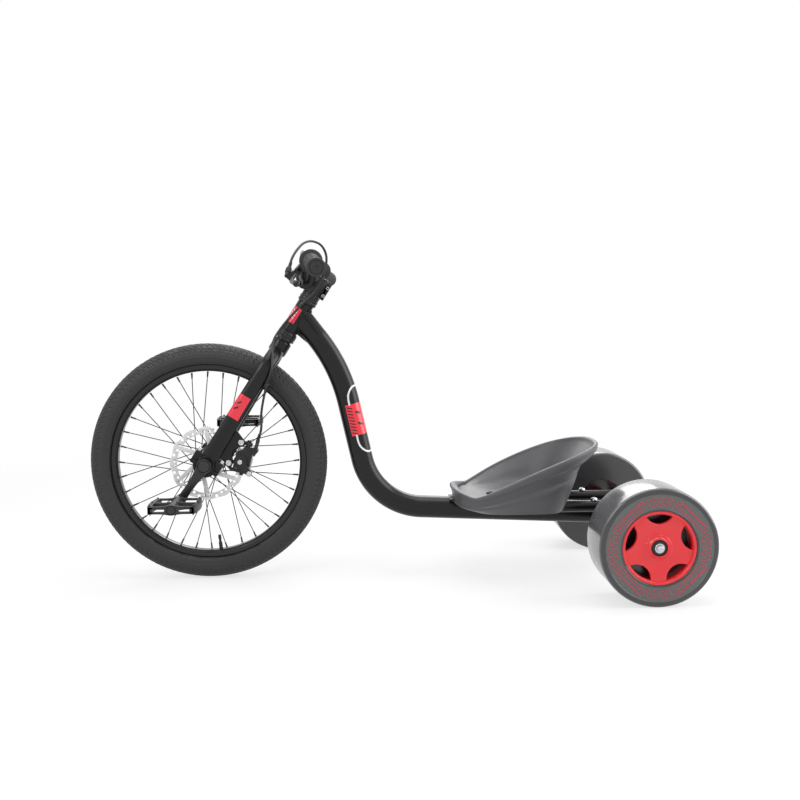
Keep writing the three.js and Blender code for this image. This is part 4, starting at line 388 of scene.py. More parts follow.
def flat(outlines, low, high, place=None, edge=0.6, edge_steps=2):
    """A plate from outlines of [u, v] points, the first round the others, between two heights, with rounded
    edges. place takes [u, v, height] to the trike; without it, u is X and v is Z, and height is Y."""
    curve = bpy.data.curves.new("outline", "CURVE")
    curve.dimensions, curve.fill_mode = "2D", "BOTH"
    curve.extrude = (high - low) / 2 - edge
    curve.bevel_depth, curve.bevel_resolution, curve.offset = edge, edge_steps, -edge
    for outline in outlines:
        spline = curve.splines.new("POLY")
        spline.points.add(len(outline) - 1)
        flat_points = np.zeros((len(outline), 4))
        flat_points[:, :2] = outline
        spline.points.foreach_set("co", flat_points.ravel())
        spline.use_cyclic_u = True
    holder = bpy.data.objects.new("outline", curve)
    points, corners, counts = read_mesh(bpy.data.meshes.new_from_object(holder))
    points = points + [0, 0, (low + high) / 2]
    bpy.data.objects.remove(holder)
    bpy.data.curves.remove(curve)
    return (place(points) if place else points[:, [0, 2, 1]]), corners, counts


def moved(skin, change):
    """A skin whose points went through a function."""
    return change(skin[0]), skin[1], skin[2]


# %% Pieces
MERGE = 2e-6  # metres
SIDES = (("left", -1), ("right", 1))


def reworked(mesh, *steps, dist=MERGE, start=None):
    """Merges a mesh's doubles, or another's that it starts from, and takes them through some steps."""
    work = bmesh.new()
    work.from_mesh(start or mesh)
    bmesh.ops.remove_doubles(work, verts=work.verts, dist=dist)
    for step in steps:
        step(work)
    work.to_mesh(mesh)
    work.free()


def drop_slivers(work):
    """Takes out edges and faces with no size."""
    bmesh.ops.dissolve_degenerate(work, edges=work.edges, dist=MERGE)


def face_out(work):
    """Turns every closed skin's faces outwards."""
    bmesh.ops.recalc_face_normals(work, faces=work.faces)


def join_flats(work):
    """Joins triangles that lie in one plane."""
    bmesh.ops.dissolve_limit(work, angle_limit=np.radians(1.0), verts=work.verts, edges=work.edges)


def shown(name, mesh, body, material, stands_for):
    """Puts a mesh in the scene as a smooth-shaded piece on its body. It stands for a CAD node: the one that
    is named, or else the one with its own name, if there is one."""
    stands_for = stands_for or (name if name in nodes else None)
    mesh.polygons.foreach_set("use_smooth", np.ones(len(mesh.polygons), bool))
    mesh.materials.append(material)
    made = placed(name, mesh)
    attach(made, body)
    if stands_for:
        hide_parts(stands_for)
    print(f"{name}: {len(mesh.polygons)} faces on {body}")
    return made


def piece(name, skins, body, slot, material, stands_for=None, crease=38):
    """Joins skins into one piece, merges doubles, turns its faces outwards and puts it on its body."""
    skins = skins if isinstance(skins, list) else [skins]
    starts = np.cumsum([0] + [len(s[0]) for s in skins[:-1]])
    points = np.concatenate([s[0] for s in skins])
    corners = np.concatenate([s[1] + start for s, start in zip(skins, starts)])
    mesh = new_mesh(name, points, corners, np.concatenate([s[2] for s in skins]))
    reworked(mesh, drop_slivers, face_out)
    made = shown(name, mesh, body, material, stands_for)
    mesh.set_sharp_from_angle(angle=np.radians(crease))
    return made


def rounded_copy(name, slot, material, edge=0.6, crease=32):
    """A CAD node whose shape is right, with its flat faces joined up again and its edges rounded."""
    source = nodes[name]
    mesh = bpy.data.meshes.new(name)
    reworked(mesh, join_flats, dist=5 * MERGE, start=source.data)
    made = shown(name, mesh, source["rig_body"], material, name)
    round_edges = made.modifiers.new("edges", "BEVEL")
    round_edges.width, round_edges.segments = edge * MM, 2
    round_edges.limit_method, round_edges.angle_limit = "ANGLE", np.radians(crease)
    round_edges.harden_normals = True


# %% [markdown]
# The steering axis leans back 57.7 degrees above the floor and goes through the front hub. Places on the
# fork, stem and caliper are given behind the axis, to the right and along it; this turns them to the trike.

# %% Places on the steering
STEER_ANGLE = np.radians(57.7)
HUB = np.array([FRONT_SHIFT, 0.0, 255.0])
ALONG = np.array([np.cos(STEER_ANGLE), 0.0, np.sin(STEER_ANGLE)])
BEHIND = np.array([np.sin(STEER_ANGLE), 0.0, -np.cos(STEER_ANGLE)])
ACROSS = np.array([0.0, 1.0, 0.0])


def steered(points):
    """Places [behind, right, along] from the hub, on the leaning steering axis, as trike places."""
    points = np.asarray(points, float)
    return HUB + points[..., :1] * BEHIND + points[..., 1:2] * ACROSS + points[..., 2:] * ALONG


def steered_plate(points):
    """The same for a flat outline of [behind, along] points with its height across the trike."""
    return steered(points[..., [0, 2, 1]])


print("bar clamp at", np.round(steered([-29.0, 0.0, 444.0]), 1))

# %% [markdown]
# The finishes share four effects, each a node group that gives only a mask or a height: a fine grain, a
# slow change of tone over the surface, worn edges, and dust that settles on what looks up. A group is built
# once, and each material places it with its own values. All of them read Object coordinates, in metres.

# %% Shared effects
def effect(name, inputs, outputs):
    """An empty shader node group with named float inputs, a Place vector input, and named outputs."""
    group = bpy.data.node_groups.new(name, "ShaderNodeTree")
    group.interface.new_socket("Place", in_out="INPUT", socket_type="NodeSocketVector")
    for socket, value in inputs.items():
        group.interface.new_socket(socket, in_out="INPUT",
            socket_type="NodeSocketFloat").default_value = value
    for socket in outputs:
        group.interface.new_socket(socket, in_out="OUTPUT", socket_type="NodeSocketFloat")
    return group, group.nodes.new("NodeGroupInput"), group.nodes.new("NodeGroupOutput")


def mathed(tree, operation, *values):
    """A Math node over sockets or numbers; gives its output."""
    return node(tree, "Math", dict(enumerate(values)), operation=operation).outputs[0]


def noise(tree, place, scale, detail=3.0, roughness=0.5):
    """A Noise texture at a place, with a scale that is a number or a socket; gives its factor."""
    values = {"Vector": place, "Scale": scale, "Detail": detail, "Roughness": roughness}
    return node(tree, "TexNoise", values).outputs["Fac"]


def ranged(tree, value, low, high):
    """A smooth step from 0 at low to 1 at high."""
    values = {"Value": value, "From Min": low, "From Max": high}
    return node(tree, "MapRange", values, interpolation_type="SMOOTHSTEP").outputs["Result"]


grain, grain_in, grain_out = effect("fine_grain", {"Scale": 900.0}, ["Height"])
coarse = noise(grain, grain_in.outputs["Place"], grain_in.outputs["Scale"], 2.0)
grain.links.new(ranged(grain, coarse, 0.3, 0.7), grain_out.inputs["Height"])

tone, tone_in, tone_out = effect("slow_tone", {"Scale": 6.0, "Amount": 0.5}, ["Shift"])
slow = noise(tone, tone_in.outputs["Place"], tone_in.outputs["Scale"], 4.0, 0.6)
shift = mathed(tone, "MULTIPLY", mathed(tone, "SUBTRACT", slow, 0.5), tone_in.outputs["Amount"])
tone.links.new(shift, tone_out.inputs["Shift"])

wear, wear_in, wear_out = effect("edge_wear", {"Amount": 0.6}, ["Mask"])
soft_edge = node(wear, "Bevel", {"Radius": 1.1 * MM}, samples=4)
true_face = node(wear, "NewGeometry").outputs["Normal"]
lean = node(wear, "VectorMath", {0: soft_edge, 1: true_face}, operation="DOT_PRODUCT").outputs["Value"]
patchy = ranged(wear, noise(wear, wear_in.outputs["Place"], 160.0, 5.0, 0.7), 0.45, 0.62)
worn = mathed(wear, "MULTIPLY", ranged(wear, lean, 0.985, 0.9), patchy)
wear.links.new(mathed(wear, "MULTIPLY", worn, wear_in.outputs["Amount"]), wear_out.inputs["Mask"])

dust, dust_in, dust_out = effect("settled_dust", {"Amount": 0.3}, ["Mask"])
facing = node(dust, "SeparateXYZ", {0: node(dust, "NewGeometry").outputs["Normal"]}).outputs["Z"]
motes = ranged(dust, noise(dust, dust_in.outputs["Place"], 70.0, 6.0, 0.75), 0.42, 0.75)
settled = mathed(dust, "MULTIPLY", ranged(dust, facing, 0.35, 1.0), motes)
dust.links.new(mathed(dust, "MULTIPLY", settled, dust_in.outputs["Amount"]), dust_out.inputs["Mask"])
print("effects", [g.name for g in bpy.data.node_groups])

# %% [markdown]
# One recipe serves nearly all finishes. The Principled shader stands in the material itself with its plain
# numbers on its own sockets. Only what changes over the surface comes through links: the colour, darkened
# or lightened by the slow tone, worn edges and dust; the roughness; and the bump from the grain.

# %% A finish from the shared effects
def linear(*shades):
    """Screen shades 0 to 255 as linear light: ((s + 0.055) / 1.055) ^ 2.4 above the dark end."""
    s = np.array(shades, float) / 255
    return tuple(np.where(s <= 0.04045, s / 12.92, ((s + 0.055) / 1.055) ** 2.4)) + (1.0,)


def put(tree, group, place, **values):
    """Places an effect group with its own values; gives its output."""
    return node(tree, "Group", {"Place": place, **values}, node_tree=group).outputs[0]


def mixed(tree, factor, first, second):
    """A colour mix; factor and colours are sockets or constants. Places 6 and 7 take the colours."""
    return node(tree, "Mix", {0: factor, 6: first, 7: second}, data_type="RGBA").outputs[2]


LIGHTEN, LIGHTEN_BLACK, DARKEN, DUST_COLOUR = 1.35, 0.004, 0.72, linear(176, 172, 165)


def finish(name, colour, rough, metallic=0.0, coat=0.0, grain_scale=900.0, grain_depth=0.00002,
           tone_amount=0.25, tone_scale=9.0, worn_colour=None, worn_amount=0.0, dust_amount=0.12,
           specular=0.5, pattern=None, coat_rough=0.05, rough_shift=0.3):
    """A finish. pattern, if given, takes (tree, place, colour) and gives a new colour socket."""
    made, tree = shader(name)
    place = node(tree, "TexCoord").outputs["Object"]
    shift = put(tree, tone, place, Scale=tone_scale, Amount=tone_amount)
    light = tuple(min(1.0, LIGHTEN * c + LIGHTEN_BLACK) for c in colour[:3]) + (1.0,)
    dark = tuple(DARKEN * c for c in colour[:3]) + (1.0,)
    hue = mixed(tree, mathed(tree, "ADD", shift, 0.5), dark, light)
    if pattern:
        hue = pattern(tree, place, hue)
    if worn_amount:
        hue = mixed(tree, put(tree, wear, place, Amount=worn_amount), hue, worn_colour)
    if dust_amount:
        hue = mixed(tree, put(tree, dust, place, Amount=dust_amount), hue, DUST_COLOUR)
    height = put(tree, grain, place, Scale=grain_scale)
    principled = node(tree, "BsdfPrincipled", {
        "Base Color": hue, "Roughness": mathed(tree, "MULTIPLY_ADD", shift, rough_shift, rough),
        "Normal": node(tree, "Bump", {"Height": height, "Distance": grain_depth}), "Metallic": metallic,
        "Specular IOR Level": specular, "Coat Weight": coat, "Coat Roughness": coat_rough})
    node(tree, "OutputMaterial", {"Surface": principled})
    return made


BARE_STEEL = linear(196, 197, 199)
gloss_paint = finish("gloss_black_paint", linear(12, 12, 13), 0.27, coat=0.12, grain_scale=420.0,
    grain_depth=0.00001, worn_colour=linear(86, 86, 88), worn_amount=0.3, dust_amount=0.04, specular=0.25)
satin_alloy = finish("satin_black_alloy", linear(27, 27, 29), 0.38, metallic=0.35, grain_scale=1500.0,
                     worn_colour=linear(120, 120, 122), worn_amount=0.4)
bright_steel = finish("bright_steel", BARE_STEEL, 0.24, metallic=1.0, grain_scale=2400.0,
    grain_depth=0.000006, worn_colour=linear(228, 228, 230), worn_amount=0.3, dust_amount=0.0)
tyre_rubber = finish("tyre_rubber", linear(34, 34, 35), 0.62, grain_scale=1300.0, grain_depth=0.00006,
                     tone_amount=0.5, worn_colour=linear(74, 73, 72), worn_amount=0.35, dust_amount=0.3)
grip_rubber = finish("grip_rubber", linear(40, 40, 42), 0.7, grain_scale=1600.0, grain_depth=0.00005)
cable_skin = finish("cable_skin", linear(22, 22, 23), 0.4, grain_scale=1800.0, dust_amount=0.08)
pedal_plastic = finish("pedal_plastic", linear(27, 27, 28), 0.45, grain_scale=1500.0, grain_depth=0.00004,
                       worn_colour=linear(92, 92, 94), worn_amount=0.4)
seat_plastic = finish("seat_plastic", linear(74, 74, 77), 0.42, grain_scale=1100.0, grain_depth=0.00005,
    tone_amount=0.45, tone_scale=7.0, worn_colour=linear(128, 128, 132), worn_amount=0.3)
black_bolt = finish("black_bolt", linear(44, 44, 46), 0.3, metallic=0.8,
    worn_colour=linear(150, 150, 150), worn_amount=0.5, dust_amount=0.0)
crank_black = finish("crank_black", linear(20, 20, 21), 0.3, metallic=0.1, coat=0.2, grain_scale=1400.0,
                     worn_colour=linear(110, 110, 112), worn_amount=0.3, dust_amount=0.0)
cap_plastic = finish("cap_plastic", linear(32, 32, 34), 0.35, grain_scale=1500.0, dust_amount=0.05)
pad_stuff = finish("brake_pad", linear(58, 55, 52), 0.85, grain_scale=2200.0, grain_depth=0.00006)
PAINT, SATIN = ("black_paint", gloss_paint), ("black_paint", satin_alloy)
STEEL, DULL_STEEL = ("silver_steel", bright_steel), ("silver_steel", black_bolt)
ALLOY, RUBBER = ("black_alloy", satin_alloy), ("rubber", grip_rubber)
print("finishes", len(bpy.data.materials))

# %% [markdown]
# The front tyre is a 52 mm casing with low tread blocks and nearly smooth sides. A plain ring would look
# like a toy, so the outer half of the section is pushed in by 1.5 mm wherever a groove of the tread runs.
# The blocks come from one formula over two parameters: the way round the wheel, and the way over the crown.

# %% Front tyre
AROUND_TYRE, BLOCKS = 1008, 126
TYRE_MIDDLE, SECTION, TREAD_DEPTH = 228.0, 27.0, 1.5
TREAD_ROWS = ((0.0, 4.6, 0.0), (10.6, 4.4, 0.5), (21.0, 4.6, 0.0), (30.6, 3.4, 0.5))  # middle, half, shift
SIDE_LINES = ((44.0, 0.5), (47.5, 0.35), (54.0, 0.4))  # distance from the crown's middle, depth
# The beads and the inner wall, as radius and distance across, from one side of the casing to the other.
INSIDE = np.array([
    [210.3, 11.2], [203.4, 11.2], [203.4, 6.8], [214.0, 6.8], [220.0, 20.6], [238.0, 19.0], [247.5, 0.0],
    [238.0, -19.0], [220.0, -20.6], [214.0, -6.8], [203.4, -6.8], [203.4, -11.2], [210.3, -11.2]])


def plateau(value, half, soft):
    """1 inside half, 0 beyond half + soft, and a straight slope between."""
    return np.clip((half + soft - np.abs(value)) / soft, 0, 1)


def tread_height(turn, over):
    """Height of the tread from 0, groove, to 1, block. over is the distance from the crown's middle in mm;
    each row is a band of it, cut into blocks by a square wave of the turn that leans with the distance."""
    height = np.zeros(np.broadcast_shapes(turn.shape, over.shape))
    for middle, half, shift in TREAD_ROWS:
        away = np.abs(over) - middle
        wave = (turn * BLOCKS + shift + np.abs(over) * 0.035) % 1.0 - 0.5
        height = np.maximum(height, plateau(away, half, 0.7) * plateau(wave, 0.36, 0.08))
    return height


def tyre_grid():
    """Rings round the section: the outer casing at a radius of 27 mm with its tread, a bead on each side
    that reaches into the rim, and an inner wall; each point then turned about the wheel's axle."""
    reach = np.radians(128.0)
    phi = np.linspace(-reach, reach, 61)[:, None]
    turn = (np.arange(AROUND_TYRE) / AROUND_TYRE)[None, :]
    over = SECTION * phi
    depth = TREAD_DEPTH * (1 - tread_height(turn, over)) * plateau(over, 34.0, 2.0)
    for line, deep in SIDE_LINES:
        depth = depth - deep * plateau(np.abs(over) - line, 0.35, 0.5)
    radius = SECTION - depth
    r_out, y_out = TYRE_MIDDLE + radius * np.cos(phi), radius * np.sin(phi)
    rows = [np.concatenate([outside, np.broadcast_to(INSIDE[:, k:k + 1], (len(INSIDE), AROUND_TYRE))])
            for k, outside in ((0, np.minimum(r_out, TYRE_MIDDLE + SECTION)), (1, y_out))]
    return HUB + wheeled(rows[0], 2 * np.pi * turn, rows[1])


piece("tyre", sheet(tyre_grid(), True, True), "front_wheel", "tyre", tyre_rubber, "front_tyre", crease=30)

# %% [markdown]
# The rim is a box section with two flanges. Its corners are eased, because a sharp corner never catches the
# thin pale line of light that a real one shows. The valve stands on the inside near the bottom.

# %% Rim and valve
RIM_HALF = [[195.5, 8.5], [200.5, 13.5], [210.0, 13.5], [210.0, 11.5], [203.0, 11.5]]
rim_profile = RIM_HALF + [[r, -y] for r, y in RIM_HALF[::-1]]
rim_metal = finish("rim_black", linear(24, 24, 26), 0.3, metallic=0.5, coat=0.3, grain_scale=1500.0,
                   worn_colour=linear(150, 150, 152), worn_amount=0.5)
piece("rim", turned(eased(rim_profile, 0.9), HUB, ACROSS, 216, closed=True), "front_wheel", "black_alloy",
      rim_metal, "front_rim")

valve_out = wheeled(1.0, np.radians(-84.0), 0.0)
valve = eased([[0, 164.5], [2.9, 164.5], [3.3, 166.5], [3.3, 173.5], [2.7, 174.0], [2.7, 180.0],
    [3.9, 181.0], [4.0, 196.0], [0, 196.0]], 0.5, closed=False)
piece("valve", turned(valve, HUB, valve_out, 24), "front_wheel", "silver_steel", grip_rubber,
    "valve_stem")

# %% [markdown]
# Each side has 18 spokes laced over three crossings. A spoke starts in its flange hole, bends, runs to its
# nipple and ends at the rim. All of them are worked out together: an array of spokes, stations and points
# round each station, so there is no loop over the spokes.

# %% Spokes
SPOKES, CROSSINGS, WIRE, NIPPLE = 18, 3, 0.98, 2.2
HOLE_CIRCLE, FLANGE_FACE, BEND_AT, LAYER, HEAD_SIDE = 26.0, 23.0, 3.25, 2.0, 17.5
RIM_END, RIM_SIDE, BEND_EASE = 194.05, 3.0, 1.6


def spoke_grid(side, half_pitch):
    """Rings of 8 points on each of 9 stations of each spoke [spokes, stations, 8, 3]. Even spokes lean one
    way round and odd ones the other, and the odd ones bend 2 mm further out, so the two families cross."""
    pitch = 2 * np.pi / SPOKES
    i = np.arange(SPOKES)
    at_rim = pitch * i + half_pitch
    at_hub = at_rim + np.where(i % 2, 1, -1) * pitch * CROSSINGS

    depth = -(FLANGE_FACE + BEND_AT) - LAYER * (i % 2)
    bend, head = wheeled(HOLE_CIRCLE, at_hub, depth), wheeled(HOLE_CIRCLE, at_hub, -HEAD_SIDE)
    end = wheeled(RIM_END, at_rim, -RIM_SIDE)
    way = unit(end - bend)
    before, after = bend + ACROSS * BEND_EASE, bend + way * BEND_EASE
    nipple = [end - way * back for back in (12.2, 12.0, 3.4, 3.0, 0.0)]
    stations = np.stack([head, before, bend * 0.5 + 0.25 * (before + after), after, *nipple], 1)
    radii = np.array([WIRE, WIRE, WIRE, WIRE, WIRE, 1.7, 1.9, NIPPLE, NIPPLE])
    along = unit(np.gradient(stations, axis=1))
    across = unit(np.cross(along, wheeled(1.0, at_hub, 0.0)[:, None]))
    third = np.cross(along, across)
    angle = full_turn(8)
    cos, sin = [part[:, None] for part in (np.cos(angle), np.sin(angle))]
    ring = across[:, :, None] * cos + third[:, :, None] * sin
    grid = stations[:, :, None] + ring * radii[None, :, None, None]
    return HUB + grid * [1.0, -side, 1.0]


SPOKE_SIDES = (("left", -1, 0.0), ("right", 1, np.radians(-10.0)))  # the right side is half a hole further
spoke_metal = finish("spoke_black", linear(54, 54, 56), 0.28, metallic=0.6, dust_amount=0.0)
for side_name, side, half_pitch in SPOKE_SIDES:
    grids = spoke_grid(side, half_pitch)
    piece("spokes_" + side_name, [ringed(g) for g in grids], "front_wheel", "black_alloy", spoke_metal)

# %% [markdown]
# The hub is a turned shell with two flanges. The disc beside it is stamped: a wavy band with small holes,
# held by six swept arms. It is drawn as a flat outline with its windows and holes cut out, given a thin
# rounded edge, and bolted on with six button screws.

# %% Hub shell
hub_profile = eased([[11.3, -42.0], [17.0, -42.0], [17.0, -35.7], [24.0, -35.7], [24.0, -23.0],
    [30.0, -23.0], [30.0, -20.0], [19.0, -19.0], [16.0, -13.0], [16.0, 13.0], [19.0, 19.0], [30.0, 20.0],
    [30.0, 23.0], [24.0, 23.0], [17.0, 42.0], [11.3, 42.0]], 1.0)
spoke_heads = []
for _, side, half_pitch in SPOKE_SIDES:
    for a in half_pitch + full_turn(SPOKES):
        spot = HUB + wheeled(HOLE_CIRCLE, a, side * 18.2)
        spoke_heads.append(turned([[1.2, 0.0], [2.0, 0.4], [2.0, 1.3], [1.2, 1.7]], spot, (0, side, 0),
            10))
piece("hub", [turned(hub_profile, HUB, ACROSS, 96, closed=True)] + spoke_heads, "front_wheel", *ALLOY,
    "hub_shell")

# %% Brake disc
DISC_RADIUS, WAVES, WAVE, BAND_IN, DISC_Y, DISC_HALF = 79.5, 12, 3.0, 64.5, -37.0, 1.0
SCREW_CIRCLE, ARM_TIP, ARM_HALF, WINDOW_IN = 22.0, 66.5, 4.5, 28.5
DISC_HOLES = ((3.1, 68.6), (3.3, 72.9), (2.7, 69.4))  # radius and distance from the middle, in turn


def circle(radius, count, x=0.0, z=0.0):
    """A round outline of count points."""
    return on_circle(full_turn(count), radius) + [x, z]


def meets_circle(point, way, radius):
    """Where a line leaves a circle about the middle: |point + t way| = radius, for the larger t."""
    b, c = point.dot(way), point.dot(point) - radius ** 2
    return point + way * (-b + np.sqrt(b * b - c))


def disc_window(i):
    """The gap between two swept arms, from the middle ring to the band, with its corners cut round."""
    edges = []
    for arm, side in ((i, 1), (i + 1, -1)):
        a = arm * np.pi / 3
        root, tip = on_circle(a, SCREW_CIRCLE), on_circle(a + np.pi / 6, ARM_TIP)
        way = unit(tip - root)
        shifted = root + side * ARM_HALF * np.array([-way[1], way[0]])
        edges.append([meets_circle(shifted, way, r) for r in (WINDOW_IN, BAND_IN)])

    def arc(start, end, radius):
        a, b = np.arctan2(start[1], start[0]), np.arctan2(end[1], end[0])
        b += 2 * np.pi * ((b - a < -np.pi) * 1.0 - (b - a > np.pi) * 1.0)
        return on_circle(np.linspace(a, b, 14), radius)

    return np.concatenate([arc(edges[0][1], edges[1][1], BAND_IN),
        arc(edges[1][0], edges[0][0], WINDOW_IN)])


angle = full_turn(576)
wavy = (DISC_RADIUS - WAVE * (1 - np.cos(WAVES * angle)) / 2)[:, None] * on_circle(angle)
disc_holes = []
for i, a in enumerate(full_turn(WAVES * 3) + np.pi / (WAVES * 3)):
    hole, out = DISC_HOLES[i % 3]
    disc_holes.append(circle(hole, 18, *on_circle(a, out)))
disc_outlines = [wavy, circle(17.4, 48)] + [disc_window(i) for i in range(6)] + disc_holes
disc_skin = moved(flat(disc_outlines, DISC_Y - DISC_HALF, DISC_Y + DISC_HALF, edge=0.25, edge_steps=1),
                  lambda p: p + HUB)


def button_screw(at, axis, radius, height, socket=0.5, steps=30):
    """A domed screw head with a six-sided socket; heights run outward along the axis from its seat."""
    deep = socket * radius
    profile = [[radius * 0.98, 0.0], [radius, height * 0.2], [radius * 0.9, height * 0.65],
        [radius * 0.72, height * 0.93], [deep * 1.12, height], [deep, height * 0.96],
        [deep, height * 0.35], [0.0, height * 0.3]]
    return turned(profile, at, axis, steps, sides={5: 6, 6: 6})


disc_screws = [button_screw(HUB + wheeled(SCREW_CIRCLE, a, DISC_Y - DISC_HALF), (0, -1, 0), 4.0, 2.5)
               for a in full_turn(6)]


def brushed(tree, place, hue):
    """Fine rings about the wheel's axle, as a disc is ground: noise read at the distance from it."""
    away = node(tree, "VectorMath", {0: place, 1: tuple(HUB * MM)}, operation="SUBTRACT")
    flat_part = node(tree, "VectorMath", {0: away, 1: (1.0, 0.0, 1.0)}, operation="MULTIPLY")
    distance = node(tree, "VectorMath", {0: flat_part}, operation="LENGTH").outputs["Value"]
    rings = noise(tree, node(tree, "CombineXYZ", {0: distance}).outputs[0], 2600.0, 2.0)
    return mixed(tree, rings, hue, linear(186, 188, 190))


disc_steel = finish("ground_steel", linear(232, 233, 234), 0.38, metallic=0.7, grain_scale=2400.0,
    pattern=brushed, dust_amount=0.0)
piece("disc", [disc_skin] + disc_screws, "front_wheel", "silver_steel", disc_steel, "brake_rotor")

# %% [markdown]
# The rear wheels are hard plastic sleeves on moulded red cores. The sleeve is one closed profile turned
# about the axle. Its side has a matt grey ring inside a glossy black edge, with thin crimson outlines as a
# plain pattern. The ring depends only on the distance from the axle, so a formula in the material does it.

# %% Rear wheel sleeves
AXLE = np.array([903.0 + FRONT_SHIFT, 0.0, 117.3])
SLEEVE_OUT, SLEEVE_IN, SLEEVE_RADIUS, SHOULDER, CORE_RADIUS = 298.2, 182.6, 117.3, 7.0, 73.0
SLEEVE_BORE, SLEEVE_STEP, HUB_RADIUS = 52.0, 257.9, 25.0
RING_IN, RING_OUT = 76.5, 105.5


def from_axle(tree, place):
    """The distance from the rear axle in metres, from Object coordinates."""
    split = node(tree, "SeparateXYZ", {0: place}).outputs
    x, z = [mathed(tree, "SUBTRACT", split[name], float(AXLE[k] * MM))
        for name, k in (("X", 0), ("Z", 2))]
    square = mathed(tree, "MULTIPLY_ADD", x, x, mathed(tree, "MULTIPLY", z, z))
    return mathed(tree, "SQRT", square), split["Y"]


def side_ring(tree, place, hue):
    """Grey between two distances from the axle on the outer face, the given colour elsewhere."""
    away, y = from_axle(tree, place)
    outward = ranged(tree, mathed(tree, "ABSOLUTE", y), (SLEEVE_OUT - 0.9) * MM, (SLEEVE_OUT - 0.5) * MM)
    inside = ranged(tree, away, (RING_OUT + 0.4) * MM, RING_OUT * MM)
    beyond = ranged(tree, away, RING_IN * MM, (RING_IN + 0.4) * MM)
    mask = mathed(tree, "MULTIPLY", mathed(tree, "MULTIPLY", inside, beyond), outward)
    # Lighter grey over the running face and the outer part of its rounded shoulders, all round the wheel.
    outer_band_lighter = ranged(tree, away, (SLEEVE_RADIUS - 4.0) * MM, (SLEEVE_RADIUS - 0.5) * MM)
    hue = mixed(tree, outer_band_lighter, hue, linear(90, 90, 93))
    return mixed(tree, mask, hue, linear(82, 88, 85))


sleeve_plastic = finish("sleeve_plastic", linear(46, 46, 48), 0.2, grain_scale=300.0, grain_depth=0.00002,
    tone_amount=0.3, tone_scale=5.0, pattern=side_ring, specular=0.6, coat=0.3, coat_rough=0.12,
    dust_amount=0.1)
crimson_ink = finish("crimson_ink", linear(196, 42, 76), 0.4, dust_amount=0.05)
bend = np.linspace(0, np.pi / 2, 7)
outer_edge = np.stack([SLEEVE_RADIUS - SHOULDER * (1 - np.sin(bend)),
    SLEEVE_OUT - SHOULDER * (1 - np.cos(bend))], 1)
inner_edge = np.stack([SLEEVE_RADIUS - SHOULDER * (1 - np.cos(bend)),
    SLEEVE_IN + SHOULDER * (1 - np.sin(bend))], 1)
sleeve_profile = np.concatenate([[[CORE_RADIUS + 0.3, SLEEVE_OUT - 1.2],
    [CORE_RADIUS + 1.3, SLEEVE_OUT - 0.3], [CORE_RADIUS + 2.2, SLEEVE_OUT], [RING_IN, SLEEVE_OUT],
    [RING_IN + 0.5, SLEEVE_OUT - 0.4], [RING_OUT - 0.5, SLEEVE_OUT - 0.4], [RING_OUT, SLEEVE_OUT]],
    outer_edge, inner_edge, [[SLEEVE_BORE + 2.0, SLEEVE_IN], [SLEEVE_BORE, SLEEVE_IN + 2.0],
    [SLEEVE_BORE, SLEEVE_STEP - 4.0], [HUB_RADIUS + 0.6, SLEEVE_STEP - 4.0],
    [HUB_RADIUS + 0.6, SLEEVE_STEP], [CORE_RADIUS + 0.3, SLEEVE_STEP]]])


def polar(radius, angle, height, side):
    """Places at a distance and angle round the rear axle, with a height out along it."""
    return AXLE + wheeled(radius, angle, side * height)


def band_outline(start, end, low, high, line, side, lean=0.0):
    """The outline of a curved band round the wheel, drawn as a thin raised line with round corners. It runs
    in (angle, radius) as a rounded rectangle; the line is an inner and an outer copy of it joined by rings.
    lean slants it by that much along for each step outwards."""
    middle = (low + high) / 2
    half_along, half_up = (end - start) * middle / 2, (high - low) / 2
    corner = min(half_up * 0.8, half_along * 0.8)
    turn = full_turn(96)
    u = np.sign(np.cos(turn)) * (half_along - corner) + corner * np.cos(turn)
    v = np.sign(np.sin(turn)) * (half_up - corner) + corner * np.sin(turn)
    path = np.stack([u, v], 1)
    way = unit(np.roll(path, -1, 0) - np.roll(path, 1, 0))
    normal = np.stack([way[:, 1], -way[:, 0]], 1)
    rings = []
    for out, height in ((-1, 0.0), (-1, 0.7), (1, 0.7), (1, 0.0)):
        p = path + normal * out * line / 2
        turned_by = (start + end) / 2 + (p[:, 0] + lean * p[:, 1]) / middle
        rings.append(polar(middle + p[:, 1], turned_by, SLEEVE_OUT - 0.7 + height, side))
    return sheet(np.stack(rings, 1), wrap_rows=True, wrap_cols=True)


def sleeve_art(side):
    """Plain outlined bands: four long ones, and four short slanted bars in each gap between them."""
    bands = []
    for i in range(4):
        at = np.radians(45 + 90 * i)
        for half, low, high in ((0.44, 84.0, 99.5), (0.37, 88.0, 95.5)):
            bands.append(band_outline(at - half, at + half, low, high, 1.2, side))
        for step in (-1.5, -0.5, 0.5, 1.5):
            middle = at + np.radians(45) + 0.15 * step
            bands.append(band_outline(middle - 0.045, middle + 0.045, 83.0, 100.0, 1.2, side, 0.45))
    return bands


for side_name, side in SIDES:
    body, out = "rear_wheel_" + side_name, (0, side, 0)
    piece("sleeve_" + side_name, turned(sleeve_profile, AXLE, out, 200, closed=True), body,
        "sleeve_plastic", sleeve_plastic, "rear_sleeve_" + side_name)
    piece("sleeve_outlines_" + side_name, sleeve_art(side), body, "sleeve_plastic", crimson_ink)

# %% [markdown]
# The core has a rim ring with a rounded lip, a web that is dished towards the hub, and five lens openings.
# The web is first made flat, as a round outline with the openings and the bearing's hole in it. It is then
# cut fine, and its points are pushed in by the dish's formula.

# %% Rear wheel cores
CORE_FACE, WEB_FACE, WEB_THICK, BEARING_RADIUS = 296.2, 292.2, 9.0, 16.3
OPENINGS, LENS_OUT, LENS_IN, LENS_HALF = 5, 65.5, 46.5, np.radians(22.5)


